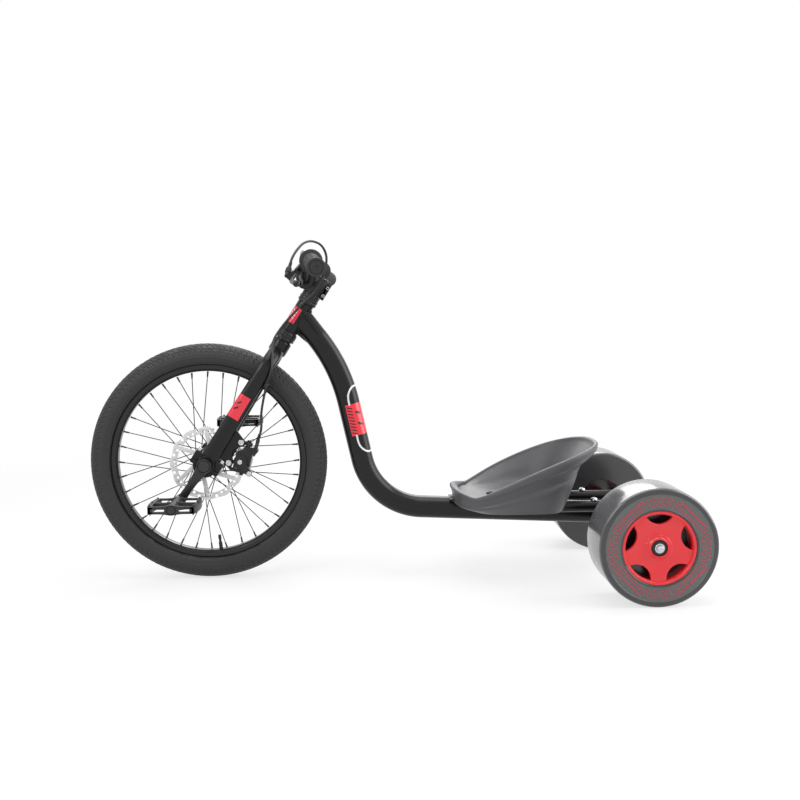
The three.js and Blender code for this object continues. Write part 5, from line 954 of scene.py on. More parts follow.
def lens(turn, count=14):
    """An opening: an arc along the rim, and a flatter arc through a point nearer the hub."""
    corner = on_circle(LENS_HALF, LENS_OUT)
    centre = (corner @ corner - LENS_IN ** 2) / (2 * (corner[0] - LENS_IN))
    bow = centre - LENS_IN
    bow_half = np.arcsin(corner[1] / bow)
    a = np.linspace(-LENS_HALF, LENS_HALF, count)[1:-1]
    b = np.pi + np.linspace(-bow_half, bow_half, count)
    outline = np.concatenate([on_circle(a, LENS_OUT), on_circle(b, bow) + [centre, 0]])
    c, s = np.cos(turn), np.sin(turn)
    return outline @ np.array([[c, s], [-s, c]])


def finer(skin, longest=5.0, rounds=3):
    """A skin with its long edges cut, so that a formula can bend it smoothly."""
    def cut_long(work):
        bmesh.ops.triangulate(work, faces=work.faces)
        for _ in range(rounds):
            long_edges = [e for e in work.edges if e.calc_length() > longest * MM]
            bmesh.ops.subdivide_edges(work, edges=long_edges, cuts=1)
            bmesh.ops.triangulate(work, faces=work.faces)
            bmesh.ops.beautify_fill(work, faces=work.faces, edges=work.edges)

    mesh = new_mesh("finer", *skin)
    reworked(mesh, cut_long)
    points, corners, counts = read_mesh(mesh)
    return points / MM, corners, counts


def dish(radius):
    """How far the web stands in from its plane: nothing at the rim, then ever more towards the hub, with a
    step back out beside the hub itself."""
    share = np.clip((LENS_OUT + 1.0 - radius) / (LENS_OUT + 1.0 - HUB_RADIUS), 0, 1)
    return 3.6 * share ** 2 * (3 - 2 * share) - 3.0 * np.clip((27.0 - radius) / 3.0, 0, 1)


def web_skin(side):
    """The web: its outline with the bearing's hole and the openings, made fine and then dished."""
    outlines = [circle(CORE_RADIUS - 3.0, 160), circle(BEARING_RADIUS, 64)]
    outlines += [lens(a) for a in np.pi / 2 + full_turn(OPENINGS)]

    def dished(points):
        radius = np.hypot(points[:, 0], points[:, 2])
        height = WEB_FACE - WEB_THICK + points[:, 1] - dish(radius)
        return polar(radius, np.arctan2(points[:, 2], points[:, 0]), height, side)

    return moved(finer(flat(outlines, 0.0, WEB_THICK, edge=1.0)), dished)


core_red = finish("core_red", linear(226, 34, 44), 0.3, coat=0.25, grain_scale=500.0, tone_amount=0.2,
                  worn_colour=linear(240, 96, 100), worn_amount=0.35, dust_amount=0.06)
bearing_dark = finish("bearing_seal", linear(30, 31, 32), 0.4, dust_amount=0.0)
lip = eased([[CORE_RADIUS - 7.0, CORE_FACE - 38.0], [CORE_RADIUS, CORE_FACE - 38.0],
    [CORE_RADIUS, CORE_FACE], [CORE_RADIUS - 1.2, CORE_FACE + 0.5], [CORE_RADIUS - 4.6, CORE_FACE + 0.5],
    [CORE_RADIUS - 6.4, CORE_FACE - 1.4], [CORE_RADIUS - 7.0, CORE_FACE - 4.6]], 0.9)
core_hub = eased([[6.5, 180.4], [HUB_RADIUS, 180.4], [HUB_RADIUS, WEB_FACE - WEB_THICK],
    [HUB_RADIUS, 288.0], [18.5, 295.2], [BEARING_RADIUS, 295.2], [BEARING_RADIUS, 284.9], [6.5, 284.9]],
    0.8)
bearing = eased([[6.3, 285.3], [15.9, 285.3], [15.9, 293.6], [14.4, 294.2], [13.6, 292.6], [9.6, 292.6],
    [8.8, 294.4], [6.3, 294.4]], 0.5)
for side_name, side in SIDES:
    body, out = "rear_wheel_" + side_name, (0, side, 0)
    skins = [turned(lip, AXLE, out, 180, closed=True), turned(core_hub, AXLE, out, 96, closed=True),
        web_skin(side)]
    piece("core_" + side_name, skins, body, "red_plastic", core_red, "rear_core_" + side_name, crease=34)
    piece("bearing_" + side_name, turned(bearing, AXLE, out, 72, closed=True), body, "silver_steel",
        bearing_dark, "rear_bearing_" + side_name)

# %% [markdown]
# The frame is one wide tube that drops from the head in two bends and runs back to the axle tube, with two
# rails over it. Its section is flatter than an ellipse on its sides, which gives the dark flat flank and
# the pale lines along the edges that the photograph shows. Rings of weld metal sit where tubes meet.

# %% Main frame
TUBE_WIDE, TUBE_HEAD_WIDE, TUBE_TALL, TUBE_POWER = 24.0, 17.0, 24.0, 2.35
HEAD_LOW, HEAD_HIGH, HEAD_RADIUS = 330.0, 400.0, 18.0
RAIL_HEIGHT, RAIL_RADIUS, RAIL_HALF, RAIL_FRONT = 155.2, 12.5, 60.0, 662.0 + FRONT_SHIFT
CROSS_RADIUS, AXLE_BORE, AXLE_TUBE_RADIUS, AXLE_TUBE_HALF = 11.0, 6.4, 17.0, 180.0
tube_corners = [steered([0.0, 0.0, 372.0]), [284.7 + FRONT_SHIFT, 0.0, 458.5],
    [354.2 + FRONT_SHIFT, 0.0, 152.7], [895.0 + FRONT_SHIFT, 0.0, 128.7]]
tube_path = bent(tube_corners, [360.0, 138.0], steps=40)
tube_run = np.concatenate([[0], np.cumsum(np.linalg.norm(np.diff(tube_path, axis=0), axis=1))])
FIRST_BEND_START = tube_run[np.argmax(np.abs(np.diff(tube_path, 2, axis=0)).sum(1) > 1e-6) + 1]
grown = np.clip(tube_run / FIRST_BEND_START, 0, 1)
tube_wide = TUBE_HEAD_WIDE + (TUBE_WIDE - TUBE_HEAD_WIDE) * grown ** 1.5
TUBE_ALONG = unit(np.gradient(tube_path, axis=0))
TUBE_UP = np.cross(TUBE_ALONG, ACROSS)


def on_tube(run, turn, lift=0.0):
    """Places on the main tube at a run along it and a turn round it, from the left side upwards."""
    spot, rise, wide = [np.stack([np.interp(run, tube_run, column[:, k]) for k in range(3)], -1)
        for column in (tube_path, TUBE_UP, np.repeat(tube_wide[:, None], 3, 1))]
    cos, sin = oval(turn, TUBE_POWER)
    left = (wide[..., 0] + lift) * cos
    high = (TUBE_TALL + lift) * sin
    return spot - left[..., None] * ACROSS + high[..., None] * rise


WELD_RIPPLE = 0.13


def weld_ring(places, radius, ripples):
    """A bead of weld along a closed row of places: a round section whose size ripples along it."""
    along = unit(np.roll(places, -1, 0) - np.roll(places, 1, 0))
    out = places - places.mean(0)
    out = unit(out - along * (out * along).sum(1, keepdims=True))
    side = np.cross(along, out)
    turn = full_turn(8)
    size = radius * (1 + WELD_RIPPLE * np.sin(ripples * full_turn(len(places))))
    grid = places[:, None] + size[:, None, None] * (out[:, None] * np.cos(turn)[None, :, None]
                                                    + side[:, None] * np.sin(turn)[None, :, None])
    return sheet(grid, wrap_rows=True, wrap_cols=True)


def ring_round(at, axis, radius, count=240):
    """A closed row of places round an axis."""
    return at + about(radius, full_turn(count), 0.0) @ axis_frame(axis).T


head_profile = eased([[14.9, HEAD_LOW - 0.1], [HEAD_RADIUS - 0.6, HEAD_LOW - 0.1],
    [HEAD_RADIUS, HEAD_LOW + 1.0], [HEAD_RADIUS, HEAD_HIGH - 1.0], [HEAD_RADIUS - 0.6, HEAD_HIGH + 0.1],
    [14.9, HEAD_HIGH + 0.1]], 0.5)
frame_skins = [carried(tube_path, tube_wide, TUBE_TALL, around=64, power=TUBE_POWER),
               turned(head_profile, HUB, ALONG, 96, closed=True)]
for side in (-1, 1):
    rail = rod(RAIL_RADIUS, RAIL_FRONT, AXLE[0], 1.5)
    frame_skins.append(turned(rail, (0, side * RAIL_HALF, RAIL_HEIGHT), (1, 0, 0), 64))
CROSS_AT = np.array([688.0 + FRONT_SHIFT, 0, RAIL_HEIGHT - RAIL_RADIUS / 2])
frame_skins.append(turned(rod(CROSS_RADIUS, -RAIL_HALF, RAIL_HALF, 0.5), CROSS_AT, ACROSS, 48))
axle_tube = tube(AXLE_BORE, AXLE_TUBE_RADIUS, -AXLE_TUBE_HALF, AXLE_TUBE_HALF, 1.2)
frame_skins.append(turned(axle_tube, AXLE, ACROSS, 72, closed=True))
plate_outline = eased([[857.0, 155.2], [857.0, 142.7], [891.0, 117.3], [915.0, 117.3], [915.0, 155.2]],
    2.0)
plate_outline[:, 0] += FRONT_SHIFT
for side in (-1, 1):
    frame_skins.append(flat([plate_outline], side * RAIL_HALF - 4.0, side * RAIL_HALF + 4.0, edge=1.0))
for y in [side * (RAIL_HALF + off) for side in (-1, 1) for off in (-4.6, 4.6)]:
    frame_skins.append(weld_ring(ring_round(AXLE + [0, y, 0], ACROSS, AXLE_TUBE_RADIUS + 0.6), 2.0, 40))
for y in (-49.5, 49.5):
    frame_skins.append(weld_ring(ring_round(CROSS_AT + [0, y, 0], ACROSS, CROSS_RADIUS + 0.4), 1.7, 28))


def head_weld():
    """The row of places where the main tube's side meets the head tube: the tube's own oval, pushed along
    its direction until it lies on the head tube's cylinder."""
    turn = full_turn(240)
    cos, sin = oval(turn, TUBE_POWER)
    start = tube_path[0] + TUBE_HEAD_WIDE * cos[:, None] * ACROSS + TUBE_TALL * sin[:, None] * TUBE_UP[0]
    way = TUBE_ALONG[0]
    rest, step = [v - (v @ ALONG)[..., None] * ALONG for v in (start - HUB, way)]
    b, c = rest @ step, (rest * rest).sum(1) - (HEAD_RADIUS + 0.4) ** 2
    reach = (-b + np.sqrt(np.maximum(b * b - c * (step @ step), 0))) / (step @ step)
    return start + reach[:, None] * way


frame_skins.append(weld_ring(head_weld(), 2.3, 64))
GUSSET_HALF = 3.0
low_head, gusset_top = steered([0.0, 0.0, 336.0]), steered([0.0, 0.0, 356.0])
bend_at = int(np.searchsorted(tube_run, FIRST_BEND_START))
tube_spot = tube_path[bend_at]
under = tube_spot - TUBE_UP[bend_at] * (TUBE_TALL - 0.5)
gusset_outline = np.array([low_head[[0, 2]], under[[0, 2]], tube_spot[[0, 2]], gusset_top[[0, 2]]])
frame_skins.append(flat([eased(gusset_outline, 2.0)], -GUSSET_HALF, GUSSET_HALF, edge=0.8))
piece("frame_tubes", frame_skins, "frame", *PAINT, "main_frame", crease=40)

# %% [markdown]
# Behind the drop of the tube the photograph has a red panel inside a white outline shaped like a pill. Both
# are laid on the tube's own surface: places are given as a run along it and a turn round it, and a thin
# closed strip is raised there by a quarter of a millimetre.

# %% Painted panel on the tube
red_film = finish("red_film", linear(232, 34, 54), 0.3, coat=0.4, dust_amount=0.04)
white_film = finish("white_film", linear(236, 236, 236), 0.35, coat=0.3, dust_amount=0.04)
black_film = finish("black_film", linear(14, 14, 15), 0.35, dust_amount=0.0)
FILM = 0.35


def patch(surface, low, high, turn_from, turn_to, lift=FILM, lean=0.0, steps=24, turns=40):
    """A closed thin panel on a surface, between two distances along it and two turns round it: its outer
    face at the lift, its inner face under the surface. lean slants its ends."""
    turn = np.linspace(turn_from, turn_to, turns)[None, :]
    share = (turn - turn[0, 0]) / (turn[0, -1] - turn[0, 0])
    along, turn = np.broadcast_arrays(np.linspace(low, high, steps)[:, None] + lean * (share - 0.5), turn)
    outer, inner = surface(along, turn, lift), surface(along, turn, -0.3)
    return ringed(np.concatenate([outer, inner[:, ::-1]], 1))


def tube_line(run, turn, half, lift=FILM):
    """A closed line on the tube along a row of (run, turn) places, of an even width."""
    middle, deeper = on_tube(run, turn, lift), on_tube(run, turn, -0.3)
    side = np.cross(unit(np.gradient(middle, axis=0)), unit(middle - deeper)) * half
    return ringed(np.stack([middle - side, middle + side, deeper + side, deeper - side], 1))


def run_at_height(height):
    """The run along the tube's drop at which its middle is at a height."""
    drop = (tube_run > 60) & (tube_path[:, 2] > 150)
    return float(np.interp(-height, -tube_path[drop][:, 2], tube_run[drop]))


PANEL_TOP, PANEL_LOW, PILL_TOP, PILL_LOW, PILL_CORNER = 376.0, 309.0, 410.0, 270.0, 26.0
PANEL_EDGE, PANEL_FAR, PILL_EDGE = np.radians(-17.0), np.radians(197.0), np.radians(2.0)
panel = [run_at_height(PANEL_TOP), run_at_height(PANEL_LOW)]
pill = [run_at_height(PILL_TOP), run_at_height(PILL_LOW)]
panel_steps = int((panel[1] - panel[0]) / 4)
panel_skin = patch(on_tube, *panel, PANEL_EDGE, PANEL_FAR, steps=panel_steps, turns=30)
piece("panel_red", panel_skin, "frame", "red_plastic", red_film)


def pill_end(tip, foot):
    """A round end of the pill: straight from the foot on the left side, a quarter round, and over the back
    of the tube to the other side. Across, it is even in angle; along, it is an ellipse near each side."""
    turn = np.linspace(PILL_EDGE, np.pi - PILL_EDGE, 90)
    share = np.clip((np.pi / 2 - np.abs(turn - np.pi / 2) - PILL_EDGE) / np.radians(52.0), 0, 1)
    corner = np.sign(tip - foot) * PILL_CORNER
    run = tip - corner * (1 - np.sqrt(1 - (1 - share) ** 2))
    run, turn = np.concatenate([[foot], run, [foot]]), np.concatenate([turn[:1], turn, turn[-1:]])
    return run, turn


white_lines = [tube_line(*pill_end(pill[0], panel[0] + 2.0), 1.9),
    tube_line(*pill_end(pill[1], panel[1] - 2.0), 1.9)]
piece("panel_outline", white_lines, "frame", "grey_plastic", white_film)


def slanted(runs, turn_from, turn_to, half):
    """Short bars over the panel, each rising a little as it goes round."""
    share = np.linspace(0, 1, 24)
    return [tube_line(at + 5.0 * share, turn_from + (turn_to - turn_from) * share, half, 2 * FILM)
        for at in runs]


bars = slanted(np.linspace(panel[0] + 5, panel[1] - 8, 9), np.radians(-13), np.radians(8), 1.1)
bars += slanted(np.linspace(panel[0] + 18, panel[1] - 26, 2), np.radians(22), np.radians(52), 2.2)
piece("panel_bars", bars, "frame", "black_plastic", black_film)

# %% [markdown]
# The seat is a moulded bucket: a bowl, a rolled rim, a hollow flank under the rim, and a ridge along the
# side. It is one skin of rings from the floor up the bowl, over the rim, down the flank and back up inside.
# Each ring is a squarish oval, |cos|^(2/2.5), whose heights follow the rim's slope at their own place.

# %% Seat
SEAT_FRONT, SEAT_LENGTH, SEAT_WIDE = 0.5803 * 903.0, 319.0, 146.0
SEAT_MIDDLE = SEAT_FRONT + SEAT_LENGTH / 2
SEAT_LONG, RIM_LOW, RIM_LOW_X, LIP = SEAT_LENGTH / 2, 181.0, SEAT_FRONT + 43.0, 18.0
RIM_SLOPE, RIM_EASE, RIM_SOFT = 0.5744, 0.000598, 6.0
FLOOR_X, FLOOR_LONG, FLOOR_WIDE, SEAT_FLOOR = SEAT_FRONT + 140.0, 68.0, 78.0, 174.0
BASE_X, BASE_LONG, BASE_WIDE, BASE_WALL, SEAT_BASE = SEAT_FRONT + 141.0, 97.0, 116.0, 8.0, 149.5
RIM_ROUND, FRONT_ROLL, SEAT_AROUND, OVAL, BASE_OVAL = 5.0, 5.0, 192, 2.5, 4.0
SEAT_ANGLE = -full_turn(SEAT_AROUND)


def between(low, high, share):
    """A value at a share of the way from low to high."""
    return low + (high - low) * share


def front_share(x):
    """1 at the very front of the seat, falling evenly to 0 where the rim is lowest."""
    return np.clip((RIM_LOW_X - x) / (RIM_LOW_X - SEAT_FRONT), 0, 1)


def seat_rim(x):
    """The rim's height along the seat: lowest near the front, then slope * t - ease * t^2 with its start
    rounded by a soft maximum, and a lip that rises evenly to the very front."""
    t = x - RIM_LOW_X
    climb = RIM_SLOPE * t - RIM_EASE * t ** 2
    return RIM_LOW + RIM_SOFT * np.logaddexp(0, climb / RIM_SOFT) + LIP * front_share(x)


def seat_ring(centre, long, wide, height, power=OVAL):
    """One ring of the seat as [around, 3], in millimetres along the whole trike from the front hub."""
    cos, sin = oval(SEAT_ANGLE, power)
    x = centre + long * cos
    return np.stack(np.broadcast_arrays(x, wide * sin, height(x)), -1)


# The bowl from the floor up: share of the height, of the length at the front and rear, and of the width.
BOWL = [[0, 0, 0, 0], [0.18, 0.62, 0.34, 0.42], [0.6, 0.88, 0.58, 0.71], [1, 1, 1, 1]]
# The flank from the rim down: height at the front and rear, share of the length at the front and rear, and
# share of the width. 1 is the rim and 0 is the base.
SKIRT = [[0.88, 0.9, 1.0, 0.98, 1.0], [0.8, 0.83, 0.985, 0.8, 0.97], [0.72, 0.77, 0.93, 0.56, 0.78],
         [0.42, 0.7, 0.86, 0.42, 0.6], [0.3, 0.62, 0.88, 0.38, 0.7], [0.2, 0.5, 0.8, 0.3, 0.62],
         [0.0, 0.0, 0.0, 0.0, 0.0]]


def through(table, count):
    """Rows of a table joined by a smooth curve and read at even steps."""
    table = np.asarray(table, float)
    t = np.linspace(0, len(table) - 1, count)
    k = np.clip(t.astype(int), 0, len(table) - 2)
    return cubic(table, np.gradient(table, axis=0), k, (t - k)[:, None])


def seat_rings():
    """The rings from the middle of the floor, up the bowl, over the rim, down the flank and inside."""
    rim_x = seat_ring(SEAT_MIDDLE, SEAT_LONG, SEAT_WIDE, seat_rim)[:, 0]
    roll = RIM_ROUND + FRONT_ROLL * front_share(rim_x)
    rings = [seat_ring(FLOOR_X, FLOOR_LONG * s, FLOOR_WIDE * s, lambda x: SEAT_FLOOR)
        for s in (0.02, 0.5, 0.8)]
    rearward = (1 + np.cos(SEAT_ANGLE)) / 2
    for up, long_front, long_rear, wide in through(BOWL, 26)[:-1]:
        long = between(long_front, long_rear, rearward)
        rings.append(seat_ring(between(FLOOR_X, SEAT_MIDDLE, long),
            between(FLOOR_LONG, SEAT_LONG - 2 * roll, long),
            between(FLOOR_WIDE, SEAT_WIDE - 2 * roll, wide),
            lambda x, up=up: between(SEAT_FLOOR, seat_rim(x) - roll, up)))
    for turn in np.linspace(0, np.pi, 11):
        back, drop = roll * (1 + np.cos(turn)), roll * (1 - np.sin(turn))
        rings.append(seat_ring(SEAT_MIDDLE, SEAT_LONG - back, SEAT_WIDE - back,
            lambda x, drop=drop: seat_rim(x) - drop))
    for front, rear, long_front, long_rear, wide in through(SKIRT, 46):
        long = between(long_front, long_rear, rearward)
        rings.append(seat_ring(between(BASE_X, SEAT_MIDDLE, long), between(BASE_LONG, SEAT_LONG, long),
            between(BASE_WIDE, SEAT_WIDE, wide), lambda x, f=front, r=rear: between(SEAT_BASE,
            seat_rim(x), between(f, r, np.clip((x - SEAT_FRONT) / SEAT_LENGTH, 0, 1))),
            between(BASE_OVAL, OVAL, np.clip(wide, 0, 1))))
    for z in (SEAT_BASE, SEAT_FLOOR - 6.0):
        rings.append(seat_ring(BASE_X, BASE_LONG - BASE_WALL, BASE_WIDE - BASE_WALL, lambda x, z=z: z,
            BASE_OVAL))
    rings.append(seat_ring(BASE_X, 2.0, 2.0, lambda x: SEAT_FLOOR - 6.0))
    return np.array(rings) + [FRONT_SHIFT, 0, 0]


def cut_out(made, cutters):
    """Takes closed skins away from a piece, exactly, and leaves the result as its mesh."""
    for skin in cutters:
        mesh = new_mesh("cutter", *skin)
        reworked(mesh, face_out)
        cutter = placed("cutter", mesh)
        taken = made.modifiers.new("cut", "BOOLEAN")
        taken.object, taken.operation, taken.solver = cutter, "DIFFERENCE", "EXACT"
        bpy.context.view_layer.update()
        solid = bpy.data.meshes.new_from_object(made.evaluated_get(bpy.context.evaluated_depsgraph_get()))
        made.modifiers.clear()
        old, made.data = made.data, solid
        bpy.data.objects.remove(cutter)
        for unused in (old, mesh):
            bpy.data.meshes.remove(unused)
    made.data.polygons.foreach_set("use_smooth", np.ones(len(made.data.polygons), bool))
    made.data.set_sharp_from_angle(angle=np.radians(40))
    print(f"{made.name}: {len(made.data.polygons)} faces after {len(cutters)} cuts")


def box_skin(low, high):
    """A closed box between two corners."""
    (x0, y0, z0), (x1, y1, z1) = low, high
    ring = np.array([[y0, z0], [y1, z0], [y1, z1], [y0, z1]])
    return ringed(np.array([np.column_stack([np.full(4, x), ring]) for x in (x0, x1)]))


seat = piece("seat", ringed(seat_rings()), "frame", "grey_plastic", seat_plastic, "seat_shell", crease=44)
TUBE_ROOM = TUBE_TALL + 0.6
rear_run = [[430.0 + FRONT_SHIFT, 0, 152.7 - 76 * 0.0444], [903.0 + FRONT_SHIFT, 0, 128.4]]
seat_cutters = [carried(rear_run, TUBE_ROOM, TUBE_ROOM, around=48, power=TUBE_POWER)]
for side in (-1, 1):
    seat_cutters.append(turned([[RAIL_RADIUS + 0.3, RAIL_FRONT - 3.0], [RAIL_RADIUS + 0.3, AXLE[0]]],
                               (0, side * RAIL_HALF, RAIL_HEIGHT), (1, 0, 0), 48))
seat_cutters.append(box_skin([521.0 + FRONT_SHIFT, -31.3, 143.0], [628.3 + FRONT_SHIFT, 31.3, 168.0]))
cut_out(seat, seat_cutters)

# %% [markdown]
# The fork is bolted round the hub's bearings. Its two legs and their arch are one bent tube, wider at the
# feet, with a crown and a steerer above. A plate on the left leg carries the brake. All of it is worked out
# in the plane of the steering axis: behind it, to the right, and along it from the hub.

# %% Fork
LEG, FOOT, ARCH, LEG_FOOT_HALF, LEG_TOP_HALF, LEG_SIDE = 56.0, 16.0, 226.0, 19.0, 15.5, 11.0
TAB_FACE, TAB_THICK, TAB_BEHIND, TAB_LOW, TAB_HIGH, TAB_MARGIN = 54.0, 6.0, 39.0, 28.5, 79.5, 8.0
HOLDER_RADIUS, HOLDER_HALF, BEARING_BORE, CAP_SPACING, EAR_HALF = 26.5, 10.0, 20.3, 26.5, 6.5
EAR_HIGH, CAP_EAR, BOLT_HEAD, BOLT_HEAD_HIGH, LEG_POWER = 19.0, 10.0, 5.2, 7.0, 2.5
leg_path = bent([[0, -LEG, FOOT], [0, -LEG, ARCH + LEG], [0, LEG, ARCH + LEG], [0, LEG, FOOT]],
    [LEG, LEG], steps=28, spacing=8.0)


def leg_wide(along):
    """Half the leg's depth, which shrinks evenly from the foot to the arch."""
    return between(LEG_FOOT_HALF, LEG_TOP_HALF, np.clip((along - FOOT) / (ARCH - FOOT), 0, 1))


legs = carried(leg_path, leg_wide(leg_path[:, 2]), LEG_SIDE, first_side=(1, 0, 0), around=48,
    power=LEG_POWER)
fork_skins = [moved(legs, steered)]
crown = eased([[0, 276.0], [18.5, 276.0], [20.0, 280.0], [20.0, 303.5], [18.5, 307.0], [16.5, 307.0],
    [16.5, 311.5], [14.3, 311.5], [14.3, 461.0], [0, 461.0]], 1.0, closed=False)
fork_skins.append(turned(crown, HUB, ALONG, 96))


def half_holder(ear_high, up):
    """The outline of half a bearing holder: ears with round corners either side of a round back."""
    ear = CAP_SPACING + EAR_HALF
    start = np.arcsin(ear_high / HOLDER_RADIUS)
    turn = np.linspace(start, np.pi - start, 25)
    bore = np.linspace(np.pi - 0.02, 0.02, 33)
    outline = np.concatenate([[[BEARING_BORE + 0.2, 0.4], [ear - 0.8, 0.4], [ear, 1.2],
        [ear, ear_high - 2.0], [ear - 2.0, ear_high]], HOLDER_RADIUS * on_circle(turn),
        [[-ear + 2.0, ear_high], [-ear, ear_high - 2.0], [-ear, 1.2], [-ear + 0.8, 0.4],
        [-BEARING_BORE - 0.2, 0.4]], BEARING_BORE * np.stack([np.cos(bore), np.sin(bore) + 0.02], 1)])
    return outline * [1, up]


for side in (-1, 1):
    holder = flat([half_holder(EAR_HIGH, 1)], side * LEG - HOLDER_HALF, side * LEG + HOLDER_HALF,
        steered_plate, edge=0.8)
    fork_skins.append(holder)
over_head = EAR_HIGH + BOLT_HEAD_HIGH + 0.9
tab_inner = CAP_SPACING + BOLT_HEAD + 0.6


def arc_points(centre, radius, start, end, count=12):
    """Places on an arc in degrees."""
    turn = np.radians(np.linspace(start, end, count))
    return on_circle(turn, radius) + centre


tab = np.concatenate([
    [[0, over_head], [tab_inner, over_head], [tab_inner, TAB_LOW - TAB_MARGIN]],
    arc_points((TAB_BEHIND, TAB_LOW), TAB_MARGIN, -90, 50),
    arc_points((TAB_BEHIND + 11.0, (TAB_LOW + TAB_HIGH) / 2), 16.0, 235, 125, 18),
    arc_points((TAB_BEHIND, TAB_HIGH), TAB_MARGIN, -50, 90), [[0, TAB_HIGH + 3 * TAB_MARGIN]]])
tab_holes = [circle(3.3, 20, TAB_BEHIND, along) for along in (TAB_LOW, TAB_HIGH)]
fork_skins.append(flat([tab] + tab_holes, -TAB_FACE, -TAB_FACE + TAB_THICK, steered_plate, edge=0.8))
piece("fork", fork_skins, "steering", *PAINT, crease=38)

for side_name, side in SIDES:
    at = side * LEG
    cap = flat([half_holder(CAP_EAR, -1)], at - HOLDER_HALF, at + HOLDER_HALF, steered_plate, edge=0.8)
    heads = [moved(turned([[BOLT_HEAD - 0.6, 0.0], [BOLT_HEAD, 0.6], [BOLT_HEAD, BOLT_HEAD_HIGH - 0.7],
        [BOLT_HEAD - 0.7, BOLT_HEAD_HIGH], [2.6, BOLT_HEAD_HIGH], [2.5, 2.6], [0, 2.5]],
        (end * CAP_SPACING, at, EAR_HIGH + 0.3), (0, 0, 1), 36, sides={4: 6, 5: 6}), steered)
        for end in (-1, 1)]
    shanks = [moved(turned([[0, -CAP_EAR / 2], [3.0, -CAP_EAR / 2], [3.0, EAR_HIGH + 0.5],
        [0, EAR_HIGH + 0.5]], (end * CAP_SPACING, at, 0), (0, 0, 1), 20), steered) for end in (-1, 1)]
    piece("bearing_cap_" + side_name, cap, "steering", *PAINT)
    piece("cap_bolts_" + side_name, heads + shanks, "steering", *STEEL)
    hub_ring = tube(11.4, 19.8, at - 9.0, at + 9.0, 0.6)
    piece("hub_bearing_" + side_name, turned(hub_ring, HUB, ACROSS, 64, closed=True), "steering",
        *DULL_STEEL)

# %% [markdown]
# The headset's cups are pressed into the head tube, with grooves turned in them. Above them stand a cover,
# the stem, its faceplate round the bar, and the top cap. The stem keeps the CAD shape with rounded edges,
# and gets bright screws of its own.

# %% Headset
groove = 0.8
lower_cup = eased([[17.3, 310.7], [21.0, 310.7], [21.0, 314.0], [21.0 - groove, 314.8],
    [21.0 - groove, 316.4], [21.0, 317.2], [21.0, 326.0], [19.4, 329.6], [14.9, 329.6], [14.9, 318.7],
    [17.3, 318.7]], 0.4)
upper_cup = eased([[17.3, 414.3], [20.6, 414.3], [21.0, 413.4], [21.0, 409.6], [21.0 - groove, 408.8],
    [21.0 - groove, 407.4], [21.0, 406.6], [21.0, 403.6], [19.4, 400.4], [14.9, 400.4], [14.9, 406.3],
    [17.3, 406.3]], 0.4)
for name, profile in (("lower", lower_cup), ("upper", upper_cup)):
    piece("headset_cup_" + name, turned(profile, HUB, ALONG, 120, closed=True), "frame", *SATIN)
cover = eased([[14.7, 414.7], [19.6, 414.7], [20.0, 415.8], [20.0, 418.6], [19.3, 419.0], [19.3, 419.6],
    [20.0, 420.0], [20.0, 423.0], [19.6, 423.6], [14.7, 423.6]], 0.3)
piece("headset_cover", turned(cover, HUB, ALONG, 120, closed=True), "steering", *SATIN)
top_cap = eased([[0, 462.3], [16.6, 462.3], [17.0, 463.0], [17.0, 464.6], [16.0, 466.0], [6.2, 466.3],
    [5.6, 465.2], [5.0, 465.2], [5.0, 468.6], [4.4, 469.2], [2.6, 469.2], [2.5, 466.8], [0, 466.8]], 0.3,
    closed=False)
piece("headset_top_cap", turned(top_cap, HUB, ALONG, 96), "steering", *SATIN)
rounded_copy("stem", *SATIN, edge=1.0)
rounded_copy("stem_faceplate", *SATIN, edge=0.8)

PINCH_BEHIND, PINCH_SIDE, PINCH_HEAD, PINCH_HIGH = 27.0 - 4.5, 8.5, 4.6, 4.1
places = [((PINCH_BEHIND, -PINCH_SIDE + 0.2, 424.0 + 38.0 * share), (0, -1, 0)) for share in (0.25, 0.75)]
places += [((-36.0 + 0.2, right, along), (-1, 0, 0)) for right in (-14.0, 14.0)
    for along in (428.0, 460.0)]
stem_screws = [moved(button_screw(at, way, PINCH_HEAD, PINCH_HIGH + 0.3), steered) for at, way in places]
piece("stem_screws", stem_screws, "steering", *STEEL)

# %% [markdown]
# The bar is one tube with two bends on each side. Its ends slope back and down into rubber grips, with a
# guard ring on the inner side and a plug in the outer end. A grip is a turned form, but its ribs are cut
# by lengthwise flutes, so its radius is worked out on a grid of length and angle.

# %% Bar and grips
BAR_CENTRE = steered([-29.0, 0.0, 444.0])
BAR_RADIUS, BAR_KNEE, BAR_BEND = 11.1, np.array([6.0, 100.0, 48.0]), 45.0
BAR_SWEEP, CLAMP_IN = np.array([34.4, 270.5, -38.2]), 155.5
BAR_END = BAR_KNEE + BAR_SWEEP
BAR_INNER_END = BAR_END + unit(BAR_KNEE - BAR_END) * 4.3
OTHER_SIDE = np.array([1.0, -1.0, 1.0])
GRIP_LONG, GRIP_RADIUS, GUARD_RADIUS, GUARD_WIDE = 124.0, 16.0, 22.5, 5.0
GRIP_END_RADIUS, GRIP_END_WIDE = 17.5, 9.0
RIB_PITCH, RIB_DEEP, FLUTES = 5.2, 0.9, 12

right_half = [[0.0, 40.0, 0.0], BAR_KNEE, BAR_INNER_END]
bar_corners = [np.array(c) * OTHER_SIDE for c in right_half[::-1]] + right_half
bar_path = BAR_CENTRE + bent(bar_corners, [BAR_BEND] * 4, steps=14, spacing=12.0)
piece("bar", carried(bar_path, BAR_RADIUS, first_side=(0, 0, 1), around=48), "steering", *PAINT,
      "handlebar")


